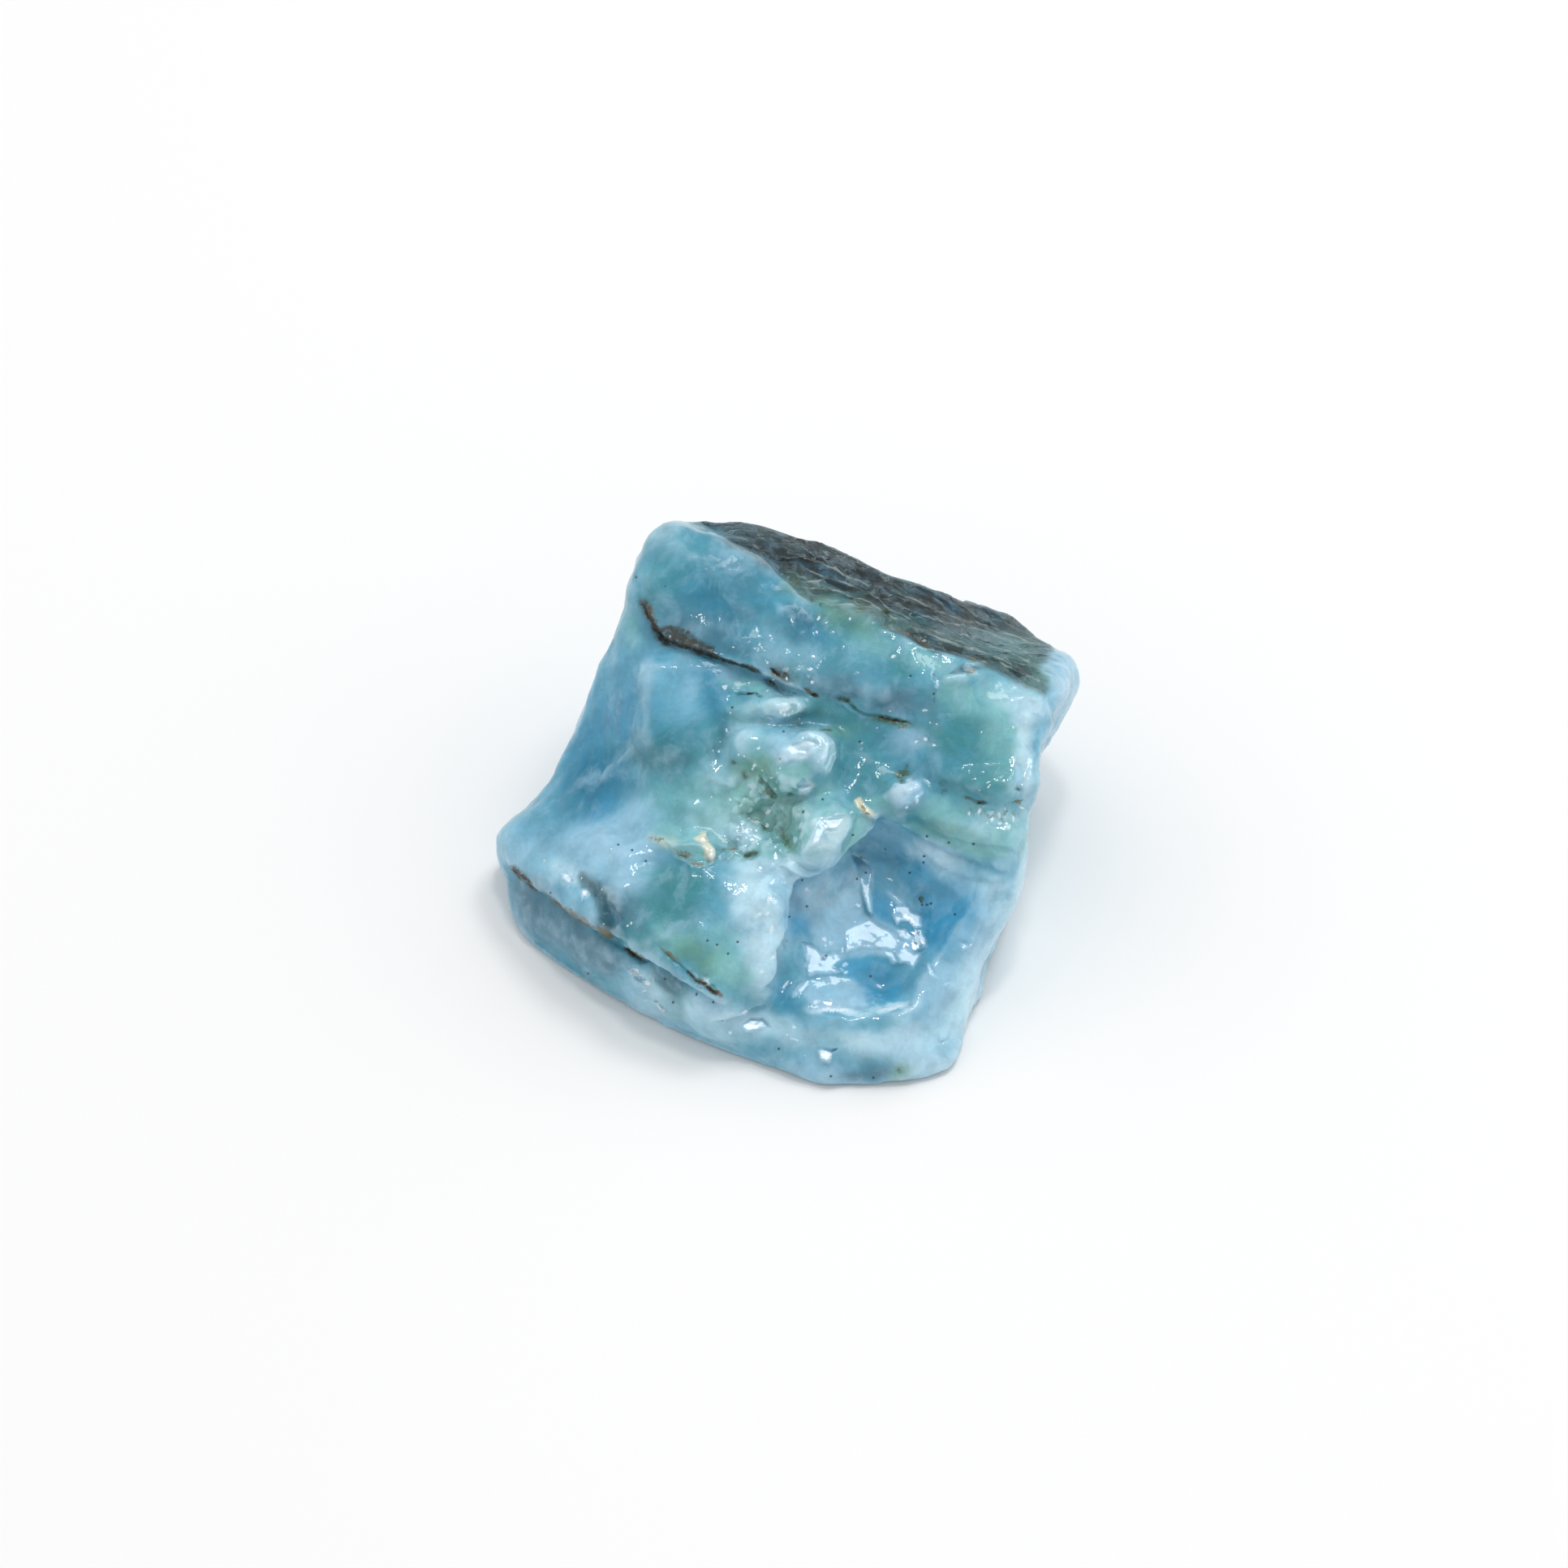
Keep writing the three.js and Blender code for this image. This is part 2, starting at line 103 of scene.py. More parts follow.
class Noise:
    """Smooth and cellular noise in space, the same on every run."""

    SIZE = 256
    GAIN = 1.6  # stretches the smooth noise to about -1 to 1
    SHIFT = 17.3  # keeps the layers apart

    def __init__(self, seed: int) -> None:
        """Draws the noise's tables.

        Args:
            seed: a whole number that picks the pattern.
        """
        draw = np.random.default_rng(seed)
        self.order = draw.permutation(self.SIZE)
        slopes = draw.normal(size=(self.SIZE, 3))
        self.slopes = slopes / np.linalg.norm(slopes, axis=1, keepdims=True)
        self.seeds = draw.random((self.SIZE, 3))
        self.lots = draw.random((self.SIZE, 3))

    def _mix(self, cells: Array) -> Array:
        """Picks a table row for every cell.

        Args:
            cells: three whole numbers per row.

        Returns:
            One row number per cell.
        """
        last = self.SIZE - 1
        row = self.order[cells[:, 0] & last]
        row = self.order[(row + cells[:, 1]) & last]
        return self.order[(row + cells[:, 2]) & last]

    def at(self, places: Array) -> Array:
        """Gradient noise with features about one unit across.

        Args:
            places: one place per row, already divided by the features' span.

        Returns:
            One value per place, about -1 to 1.
        """
        cell = np.floor(places).astype(np.int64)
        part = places - cell
        ease = part * part * part * (part * (part * 6.0 - 15.0) + 10.0)
        total = np.zeros(len(places))
        for corner in range(8):
            step = np.array([corner & 1, corner >> 1 & 1, corner >> 2 & 1])
            slope = self.slopes[self._mix(cell + step)]
            weight = np.prod(np.where(step == 1, ease, 1.0 - ease), axis=1)
            total += weight * np.einsum("ij,ij->i", slope, part - step)
        return total * self.GAIN

    def layered(self, places: Array, layers: int, gain: float = 0.5) -> Array:
        """Sums layers of gradient noise, each twice as fine and weaker by gain.

        Args:
            places: one place per row, already divided by the span of the widest layer.
            layers: how many layers.
            gain: strength of each layer against the one before.

        Returns:
            One value per place, about -1 to 1.
        """
        total = np.zeros(len(places))
        strength, whole = 1.0, 0.0
        for layer in range(layers):
            total += strength * self.at(places * 2.0**layer + self.SHIFT * layer)
            whole += strength
            strength *= gain
        return total / whole

    def cells(self, places: Array) -> tuple[Array, Array, Array, Array]:
        """Splits space into crystal-like cells about one unit across.

        Args:
            places: one place per row, already divided by the cells' span.

        Returns:
            Distance to the nearest seed, to the next nearest, the way from the nearest seed, and
            three random numbers of its cell.
        """
        cell = np.floor(places).astype(np.int64)
        near = np.full(len(places), np.inf)
        after = np.full(len(places), np.inf)
        way = np.zeros((len(places), 3))
        row = np.zeros(len(places), dtype=np.int64)
        for number in range(27):
            step = np.array([number % 3, number // 3 % 3, number // 9]) - 1
            key = self._mix(cell + step)
            gap = places - (cell + step + self.seeds[key])
            distance = np.linalg.norm(gap, axis=1)
            closer = distance < near
            after = np.where(closer, near, np.minimum(after, distance))
            near = np.where(closer, distance, near)
            way[closer] = gap[closer]
            row[closer] = key[closer]
        return near, after, way, self.lots[row]


@dataclass(frozen=True)
class Weave:
    """Layered noise with a span of its own, from its own part of the pattern."""

    span: float  # mm
    layers: int = 2
    shift: float = 0.0
    gain: float = 0.5

    def over(self, noise: Noise, places: Array) -> Array:
        """The noise at each place in mm, about -1 to 1."""
        return noise.layered(places / self.span + self.shift, self.layers, self.gain)


@dataclass(frozen=True)
class Route:
    """A line of corners across the face's layout."""

    corners: tuple[Spot, ...]

    def follow(self, spots: Array) -> tuple[Array, Array]:
        """Finds where spots lie against the route.

        Args:
            spots: one u and v per row.

        Returns:
            The distance to the route, above 0 on its left, and the share of its length there.
        """
        corners = np.array(self.corners)
        lengths = np.linalg.norm(np.diff(corners, axis=0), axis=1)
        starts = np.concatenate([[0.0], np.cumsum(lengths)])
        best = np.full(len(spots), np.inf)
        side = np.ones(len(spots))
        share = np.zeros(len(spots))
        for i, length in enumerate(lengths):
            run = corners[i + 1] - corners[i]
            gap = spots - corners[i]
            t = np.clip(gap @ run / (length * length), 0.0, 1.0)
            off = gap - t[:, None] * run
            distance = np.hypot(off[:, 0], off[:, 1])
            closer = distance < best
            best = np.where(closer, distance, best)
            turn = run[0] * gap[:, 1] - run[1] * gap[:, 0]
            side = np.where(closer, np.where(turn < 0, -1.0, 1.0), side)
            share = np.where(closer, (starts[i] + t * length) / starts[-1], share)
        return best * side, share


@dataclass(frozen=True)
class Outline:
    """A closed line of corners across the face's layout."""

    corners: tuple[Spot, ...]

    def inside(self, spots: Array) -> Array:
        """Measures how deep spots lie inside the outline.

        Args:
            spots: one u and v per row.

        Returns:
            The distance to the outline, above 0 inside it.
        """
        distance, _ = Route((*self.corners, self.corners[0])).follow(spots)
        within = np.zeros(len(spots), dtype=bool)
        for (u0, v0), (u1, v1) in zip(self.corners, (*self.corners[1:], self.corners[0])):
            crosses = (v0 > spots[:, 1]) != (v1 > spots[:, 1])
            rise = v1 - v0 if v1 != v0 else 1.0
            within ^= crosses & (spots[:, 0] < u0 + (spots[:, 1] - v0) * (u1 - u0) / rise)
        return np.where(within, np.abs(distance), -np.abs(distance))

    def around(self, spots: Array, margin: float) -> Array:
        """Finds the spots in the outline's box.

        Args:
            spots: one u and v per row.
            margin: how far the box is widened.

        Returns:
            True for the spots in it.
        """
        corners = np.array(self.corners)
        low, high = corners.min(axis=0) - margin, corners.max(axis=0) + margin
        return np.all((spots > low) & (spots < high), axis=1)


class Skin:
    """A mesh's surface while it is sculpted, with places in the face frame."""

    def __init__(self, mesh: bpy.types.Mesh, face: FaceFrame) -> None:
        """Reads the mesh.

        Args:
            mesh: the mesh to sculpt.
            face: the frame that places are given in.
        """
        self.mesh, self.face = mesh, face
        count = len(mesh.vertices)
        points = np.empty(count * 3)
        mesh.vertices.foreach_get("co", points)
        self.places = face.places(points.reshape(count, 3))
        ends = np.empty(len(mesh.edges) * 2, dtype=np.int64)
        mesh.edges.foreach_get("vertices", ends)
        self.ends = ends.reshape(-1, 2)
        self.links = np.bincount(ends, minlength=count)

    def normals(self) -> Array:
        """Reads how the skin faces now.

        Returns:
            Outward unit normals in the face frame, one per row.
        """
        self.write()
        count = len(self.mesh.vertices)
        found = np.empty(count * 3)
        self.mesh.vertices.foreach_get("normal", found)
        return found.reshape(count, 3) @ self.face.axes().T

    def spread(self, values: Array, rounds: int) -> Array:
        """Averages values with their neighbours over the surface.

        Args:
            values: one number or one row per corner.
            rounds: how many times.

        Returns:
            The averaged values.
        """
        flat = values.reshape(len(values), -1).copy()
        a, b = self.ends.T
        for _ in range(rounds):
            for column in flat.T:
                near = np.bincount(a, column[b], len(column))
                near += np.bincount(b, column[a], len(column))
                column += 0.5 * (near / self.links - column)
        return flat.reshape(values.shape)

    def push(self, along: Array, height: Array) -> None:
        """Moves every corner by its height, in mm, along its direction."""
        self.places = self.places + along * height[:, None]

    def write(self) -> None:
        """Puts the places back into the mesh."""
        self.mesh.vertices.foreach_set("co", self.face.points(self.places).ravel())
        self.mesh.update()

    def keep(self, name: str, values: Array) -> None:
        """Stores values on the mesh: numbers, or rows of three.

        Args:
            name: the attribute's name.
            values: one number or one row of three per corner.
        """
        kind = "FLOAT" if values.ndim == 1 else "FLOAT_VECTOR"
        made = self.mesh.attributes.new(name, kind, "POINT")
        made.data.foreach_set("value" if values.ndim == 1 else "vector", values.ravel())


def end_fade(share: Array, ends: float) -> Array:
    """Fades a line out over a share of its length at both its ends."""
    return smooth_step(share, 0.0, ends) * smooth_step(1.0 - share, 0.0, ends)


@dataclass(frozen=True)
class Ledge:
    """A crisp broken step along a route. The skin on the route's left stands higher."""

    name: str
    route: Route
    step: float  # full height, mm
    sharp: float = 0.4  # width of the step itself
    blend: float = 2.4  # it dies away to both sides over this width
    ends: float = 0.15  # share of the route over which it fades at each end

    def rise(self, spots: Array) -> Array:
        """Works out how far the ledge lifts the skin.

        Args:
            spots: one u and v per row.

        Returns:
            One height per spot, mm.
        """
        distance, share = self.route.follow(spots)
        crisp = smooth_step(distance, -self.sharp / 2, self.sharp / 2)
        soft = smooth_step(distance, -self.blend / 2, self.blend / 2)
        return self.step * (crisp - soft) * end_fade(share, self.ends)


@dataclass(frozen=True)
class Crack:
    """An open parting along a route, with rounded lips."""

    name: str
    route: Route
    width: float  # half width at the skin, mm
    depth: float
    lip: float = 0.0  # how far the skin beside it swells
    ends: float = 0.12

    def opening(self, spots: Array, wander: Array) -> Array:
        """Works out how open the parting is.

        Args:
            spots: one u and v per row.
            wander: 0 to 1, how wide it runs there.

        Returns:
            1 in the parting's middle, 0 outside it.
        """
        distance, share = self.route.follow(spots)
        fade = end_fade(share, self.ends)
        reach = self.width * (0.75 + 0.5 * wander) * (0.35 + 0.65 * fade)
        return fade * np.clip(1.0 - np.abs(distance) / np.maximum(reach, 0.05), 0.0, 1.0)

    def swell(self, spots: Array) -> Array:
        """Works out how far the lips beside the parting swell.

        Args:
            spots: one u and v per row.

        Returns:
            One height per spot, mm.
        """
        distance, share = self.route.follow(spots)
        beside = (np.abs(distance) - 2.2 * self.width) / (1.4 * self.width)
        return self.lip * end_fade(share, self.ends) * np.exp(-(beside**2))


@dataclass(frozen=True)
class Lump:
    """A rounded plateau inside an outline."""

    name: str
    outline: Outline
    height: float  # mm
    shoulder: float = 0.8  # how far in from its border it is still rising, mm
    edge: float = 0.3  # how far outside its border it starts, mm

    def rise(self, spots: Array) -> Array:
        """Works out how far the lump lifts the skin.

        Args:
            spots: one u and v per row.

        Returns:
            One height per spot, mm.
        """
        lift = np.zeros(len(spots))
        near = self.outline.around(spots, self.edge)
        inside = np.maximum(self.outline.inside(spots[near]) + self.edge, 0.0)
        lift[near] = self.height * (1.0 - np.exp(-((inside / self.shoulder) ** 1.3)))
        return lift


@dataclass(frozen=True)
class Facet:
    """A flat broken face inside an outline, laid at its own lean whatever the skin under it does."""

    outline: Outline
    lean: Spot  # rise per mm of u and of v
    lift: float = 0.0  # mm above the skin's mean there
    edge: float = 0.22  # width of its border, mm
    most: float = 0.3  # it never moves the skin further than this, mm
    share: float = 1.0

    def rise(self, spots: Array, drawn: Array, heights: Array, shown: Array) -> Array:
        """Works out how far the facet moves the skin along w.

        Args:
            spots: one u and v per row.
            drawn: the same, wobbled, for the facet's border.
            heights: the skin's w there.
            shown: 1 where the skin faces the layout, else 0.

        Returns:
            One value per spot.
        """
        moved = np.zeros(len(spots))
        near = self.outline.around(drawn, self.edge)
        inside = self.outline.inside(drawn[near])
        core = (inside > 0.0) & (shown[near] > 0.5)
        if not core.any():
            return moved
        away = spots[near] - spots[near][core].mean(axis=0)
        level = heights[near][core].mean() + self.lift
        gap = np.clip(level + away @ np.array(self.lean) - heights[near], -self.most, self.most)
        border = smooth_step(inside, -self.edge / 2, self.edge / 2)
        moved[near] = self.share * border * gap * shown[near]
        return moved


@dataclass(frozen=True)
class Patch:
    """A soft oval on the face's layout: half lengths along and across, turned by degrees."""

    at: Spot
    reach: Spot
    turn: float = 0.0
    crisp: float = 2.0  # 2 is a soft dome, 6 and more has a clear edge

    def weight(self, spots: Array) -> Array:
        """Measures how much of the patch lies on each spot.

        Args:
            spots: one u and v per row.

        Returns:
            1 in the patch's middle, falling to 0 outside it.
        """
        c, s = math.cos(math.radians(self.turn)), math.sin(math.radians(self.turn))
        away = spots - np.array(self.at)
        along = (away[:, 0] * c + away[:, 1] * s) / self.reach[0]
        across = (away[:, 1] * c - away[:, 0] * s) / self.reach[1]
        return np.exp(-(np.hypot(along, across) ** self.crisp))


@dataclass(frozen=True)
class Mound:
    """A soft swelling of the skin, or a dip."""

    shape: Patch
    height: float  # mm, below 0 for a dip


@dataclass(frozen=True)
class Area:
    """The inside of an outline, with a soft border."""

    outline: Outline
    soft: float = 0.2  # half width of the border, mm

    def weight(self, spots: Array) -> Array:
        """Measures how much of the area lies on each spot.

        Args:
            spots: one u and v per row.

        Returns:
            1 inside, falling to 0 outside.
        """
        found = np.zeros(len(spots))
        near = self.outline.around(spots, self.soft)
        found[near] = smooth_step(self.outline.inside(spots[near]), -self.soft, self.soft)
        return found


@dataclass(frozen=True)
class Strand:
    """A thin raised fibre along a route."""

    route: Route
    width: float = 0.13  # half width, mm
    ends: float = 0.12

    def weight(self, spots: Array) -> Array:
        """1 along the fibre's crest, 0 away from it."""
        distance, share = self.route.follow(spots)
        return end_fade(share, self.ends) * np.exp(-((distance / self.width) ** 2))


def total(shapes: Iterable[Patch | Strand], spots: Array) -> Array:
    """Sums the weights of several shapes at each spot."""
    return sum(shape.weight(spots) for shape in shapes)


def cover(shapes: Iterable[Patch | Strand], spots: Array) -> Array:
    """How much several shapes cover each spot together, 0 to 1."""
    return np.clip(total(shapes, spots), 0.0, 1.0)


def ledge(name: str, step: float, *corners: Spot, **more: float) -> Ledge:
    """A ledge along a route through corners."""
    return Ledge(name, Route(corners), step, **more)


def crack(name: str, width: float, depth: float, *corners: Spot, **more: float) -> Crack:
    """A crack along a route through corners."""
    return Crack(name, Route(corners), width, depth, **more)


def lump(name: str, height: float, shoulder: float, *corners: Spot, **more: float) -> Lump:
    """A lump inside an outline through corners."""
    return Lump(name, Outline(corners), height, shoulder, **more)


def facet(lean: Spot, *corners: Spot, **more: float) -> Facet:
    """A facet inside an outline through corners."""
    return Facet(Outline(corners), lean, **more)


def strand(*corners: Spot, **more: float) -> Strand:
    """A strand along a route through corners."""
    return Strand(Route(corners), **more)


def patches(*rows: tuple[float, ...]) -> tuple[Patch, ...]:
    """Patches from rows of u, v, half length, half width and, where given, turn and crispness."""
    return tuple(Patch(row[:2], row[2:4], *row[4:]) for row in rows)


def mounds(*rows: tuple[float, ...]) -> tuple[Mound, ...]:
    """Swellings and dips from rows of u, v, half length, half width, turn and height."""
    return tuple(Mound(Patch(row[:2], row[2:4], row[4]), row[5]) for row in rows)


def linear(red: int, green: int, blue: int) -> Way:
    """A display colour, 0 to 255 a channel, as linear light."""
    parts = (channel / 255 for channel in (red, green, blue))
    return tuple(p / 12.92 if p <= 0.04045 else ((p + 0.055) / 1.055) ** 2.4 for p in parts)


class Tone(Enum):
    """The stone's own colours, in linear light; some also serve as painted highlights, reflections or shade.
    """

    SKY = linear(128, 186, 212)
    LAGOON = linear(96, 164, 188)
    DEEP = linear(72, 148, 182)
    POOL = linear(62, 162, 206)
    HAZE = linear(166, 204, 228)
    MILK = linear(204, 232, 247)
    WHITE = linear(230, 243, 252)
    TEAL = linear(72, 144, 152)
    SEA = linear(146, 200, 202)
    GREEN = linear(118, 164, 144)
    SLATE = linear(98, 136, 156)
    # the darkest teal: the stone's own dark tone in places, painted shade in others
    DUSK = linear(44, 98, 114)
    TAUPE = linear(112, 118, 122)
    CREAM = linear(232, 224, 200)
    IRON = linear(74, 90, 96)
    NIGHT = linear(22, 30, 38)


class Grime(Enum):
    """Colours of what stains the stone, of the matrix's fibres and of some painted shade, in linear light."""

    # green of the crumbly gaps: partly their own colour, partly painted shade
    MOSS = linear(106, 146, 118)
    OLIVE = linear(74, 102, 76)
    RUST = linear(126, 110, 76)
    DIRT = linear(62, 62, 52)
    SEAM = linear(52, 46, 38)
    VEIN = linear(74, 76, 60)
    GRAIN = linear(42, 50, 54)
    DUST = linear(46, 60, 66)
    ASH = linear(62, 68, 68)
    COAL = linear(26, 36, 40)
    FIBRE = linear(134, 158, 160)
    THREAD = linear(150, 170, 172)
    STRAND = linear(166, 178, 178)


def leaning(bearing: float, height: float, face: FaceFrame) -> Spot:
    """The lean that lets a facet mirror a far light towards the sight point.

    Args:
        bearing: degrees from straight behind the stone, to the right.
        height: the light's elevation in degrees.
        face: the frame that the lean is given in.

    Returns:
        Rise per mm of u and of v.
    """
    half = face.axes() @ np.array(far_way(bearing, height)) + np.array([0.0, 0.0, 1.0])
    return -half[0] / half[2], -half[1] / half[2]


SOFTBOX_BEARING = 50.0
SOFTBOX_HEIGHT = 66.0
GLINT = leaning(SOFTBOX_BEARING, SOFTBOX_HEIGHT, FaceFrame())

LEDGES = (
    ledge(
        "band over the upper crack", 0.9, (-10.4, 14.6), (-9.6, 12.9), (-8.4, 11.8), (-6.2, 11.1),
        (-4.2, 10.4), (-2.0, 9.6), (0.0, 8.4), (2.4, 7.8), sharp=0.5, blend=3.4,
    ),
    ledge(
        "shoulder over the lower crack", 1.2, (-20.6, -4.2), (-18.2, -6.1), (-15.4, -8.1), (-13.0, -9.6),
        (-11.8, -10.4), (-10.2, -11.2), (-8.6, -12.1), (-7.3, -13.0), (-5.8, -13.9), (-4.2, -15.0), sharp=0.6,
        blend=3.2, ends=0.06,
    ),
    ledge(
        "band's upper edge", -0.6, (-6.4, 20.3), (-4.4, 19.2), (-3.0, 18.4), (-1.8, 17.9), (-0.3, 16.6),
        (0.9, 15.3), (2.0, 14.7), sharp=0.5,
    ),
    ledge(
        "matrix's edge", -0.3, (5.5, 13.0), (7.2, 12.8), (8.5, 12.4), (9.7, 11.9), (11.8, 11.0), (14.2, 10.3),
        (16.0, 9.3), (17.6, 8.5), (19.2, 7.8), sharp=0.5, blend=1.6,
    ),
    ledge(
        "left plate's side", 0.35, (-9.4, 11.1), (-10.6, 10.1), (-10.9, 9.3), (-10.5, 8.1), (-10.5, 7.0),
        (-10.3, 6.2), (-10.7, 5.0), (-10.6, 4.1), sharp=0.9,
    ),
    ledge(
        "flank's line", 0.18, (-11.0, 12.4), (-11.4, 11.0), (-11.3, 10.0), (-11.0, 9.0), (-10.7, 8.1),
        sharp=0.5, blend=1.2,
    ),
    ledge(
        "flank's fold", 0.3, (-11.0, 4.2), (-12.0, 3.4), (-12.8, 2.7), (-13.6, 1.8), (-14.6, 0.6),
        (-15.8, -1.0),
    ),
    ledge(
        "shoulder's end", 0.55, (-15.2, -5.1), (-14.0, -5.9), (-12.9, -6.8), (-12.4, -7.6), (-12.3, -8.6),
        (-12.6, -9.5), sharp=0.8, blend=3.0, ends=0.1,
    ),
    ledge(
        "hollow's rim", -1.5, (7.4, -0.7), (6.6, -1.2), (5.8, -2.4), (4.8, -3.4), (4.0, -3.9), (3.3, -4.5),
        (2.3, -5.0), (1.0, -5.3), (0.5, -6.0), (0.1, -7.0), (-0.1, -8.6), (-0.3, -9.8), (-0.9, -10.8),
        (-0.9, -12.4), (-1.6, -14.0), sharp=0.6, blend=3.2, ends=0.08,
    ),
    ledge(
        "hollow's floor ledge", -0.4, (1.6, -14.5), (2.4, -15.1), (3.6, -15.3), (4.9, -15.4), (5.8, -15.1),
        (6.2, -14.6), (6.5, -15.1), (7.6, -15.1), (8.8, -14.9), (10.0, -14.2), sharp=0.9, blend=2.6,
    ),
    ledge(
        "low left step", -0.3, (1.7, -10.3), (1.3, -11.2), (1.5, -12.4), (0.9, -13.6), (0.2, -14.6),
        (-0.8, -15.4), sharp=0.6,
    ),
    ledge(
        "scalloped step", -0.14, (5.6, -4.6), (5.7, -6.4), (5.9, -7.9), (4.6, -8.9), (4.1, -10.0),
        (3.4, -10.9), (1.9, -10.3), (1.7, -8.8), (2.2, -7.6), sharp=0.6, blend=1.6,
    ),
    ledge(
        "middle lap", -0.15, (6.2, -8.0), (7.6, -9.0), (8.6, -9.9), (9.6, -10.6), (9.8, -11.4), sharp=0.6,
        blend=1.6,
    ),
    ledge(
        "pool's back", 0.2, (3.8, -11.3), (5.2, -11.1), (6.8, -11.0), (8.0, -11.6), (9.2, -12.2), sharp=0.6,
        blend=1.8,
    ),
    ledge(
        "toe's scar", 0.5, (-5.6, -16.0), (-4.0, -15.6), (-2.4, -15.0), (-1.2, -14.6), sharp=0.3, blend=1.6,
    ),
    ledge(
        "block's left side", 0.25, (12.4, 9.5), (11.4, 9.1), (10.9, 8.2), (10.8, 7.0), (10.7, 5.8), sharp=1.0,
        blend=2.6,
    ),
    ledge(
        "block's top", 0.2, (15.4, 9.6), (14.2, 9.6), (13.2, 9.4), (12.0, 9.5), (11.4, 9.2), sharp=0.8,
        blend=2.0,
    ),
    ledge(
        "block's right side", 0.3, (16.9, 0.2), (17.0, 2.4), (16.9, 4.2), (17.4, 5.8), (18.4, 7.4), sharp=1.0,
        blend=2.6,
    ),
    ledge(
        "right corner's line", -0.3, (19.1, 8.0), (19.3, 6.8), (19.5, 5.8), (19.2, 4.4), (18.7, 2.9),
        (18.5, 0.4),
    ),
    ledge(
        "flow line", 0.3, (7.2, -0.9), (8.6, -1.8), (10.4, -2.8), (12.4, -3.6), (14.4, -4.4), (17.0, -5.4),
        sharp=0.35, blend=2.0,
    ),
    ledge(
        "upper flow line", 0.14, (9.0, -1.4), (11.0, -2.2), (13.0, -2.8), (15.0, -3.1), (17.6, -3.6),
        sharp=0.25, blend=1.0,
    ),
    ledge(
        "margin's line", 0.16, (17.2, -4.4), (16.4, -6.4), (15.5, -8.6), (14.6, -10.8), (13.4, -13.4),
        (12.4, -15.4), sharp=0.3, blend=1.4,
    ),
    ledge(
        "margin's inner line", -0.14, (15.4, -5.6), (14.8, -7.6), (14.0, -9.6), (13.0, -11.6), (11.8, -13.4),
        sharp=0.3, blend=1.2,
    ),
    ledge(
        "lower flow line", 0.2, (8.0, -2.0), (9.6, -3.4), (11.4, -4.8), (13.4, -5.4), (16.6, -5.8), sharp=0.3,
        blend=1.8,
    ),
)

CRACKS = (
    crack(
        "upper crack", 0.16, 0.24, (-10.7, 15.0), (-10.2, 14.2), (-9.9, 13.5), (-9.4, 12.6), (-8.9, 12.0),
        (-8.2, 11.7), (-7.2, 11.4), (-6.2, 11.05), (-5.4, 10.75), (-4.6, 10.5), (-3.7, 10.25), (-2.8, 9.95),
        (-1.9, 9.55), lip=0.06,
    ),
    crack(
        "crack's lower branch", 0.12, 0.18, (-1.8, 9.4), (-1.4, 9.0), (-0.9, 8.7), (-0.2, 8.35), (0.8, 8.0),
    ),
    crack("crack's upper branch", 0.12, 0.2, (-1.2, 10.0), (-0.8, 9.65), (-0.3, 9.3)),
    crack("brown nick", 0.2, 0.3, (1.3, 8.45), (1.8, 8.1), (2.4, 7.8), ends=0.3),
    crack(
        "right branch", 0.1, 0.15, (3.7, 7.7), (4.4, 7.5), (4.9, 6.9), (5.6, 6.55), (6.6, 6.4), (7.6, 6.15),
        (8.4, 5.95), (9.2, 5.85), lip=0.08,
    ),
    crack(
        "slot above the knob", 0.12, 0.2, (-3.8, 7.85), (-3.2, 8.0), (-2.4, 8.05), (-1.9, 7.95), (-1.6, 7.75),
        ends=0.2,
    ),
    crack("tick under the slot", 0.1, 0.15, (-2.0, 7.6), (-2.0, 7.2), ends=0.3),
    crack("slot above the boulder", 0.14, 0.25, (0.2, 5.5), (1.4, 5.35), (2.4, 5.3), (3.3, 5.3), ends=0.2),
    crack(
        "lower crack", 0.13, 0.2, (-20.5, -4.4), (-19.8, -4.9), (-19.0, -5.5), (-18.2, -6.2), (-17.2, -6.9),
        (-16.2, -7.6), (-15.2, -8.2), (-14.2, -8.8), (-13.2, -9.5), (-12.4, -10.1), (-11.6, -10.65),
        (-10.6, -11.15), (-9.8, -11.7), (-8.9, -12.1), (-8.0, -12.6), (-7.2, -13.2), ends=0.04,
    ),
    crack(
        "rusty seam", 0.12, 0.18, (-9.2, -10.6), (-8.4, -11.2), (-7.6, -11.9), (-7.0, -12.4), (-6.4, -12.9),
        (-5.7, -13.35), (-4.8, -13.9), lip=0.08, ends=0.1,
    ),
    crack("right seam", 0.15, 0.2, (12.9, 0.5), (13.5, 0.35), (14.2, 0.05), (15.0, 0.0), ends=0.25),
    crack("crumbly line", 0.13, 0.3, (-1.9, 1.7), (-1.4, 1.1), (-1.0, 0.7), (-0.6, 0.3), ends=0.2),
    crack("block's upper left line", 0.1, 0.15, (11.0, 8.4), (10.85, 7.8), (10.8, 7.1), ends=0.25),
)

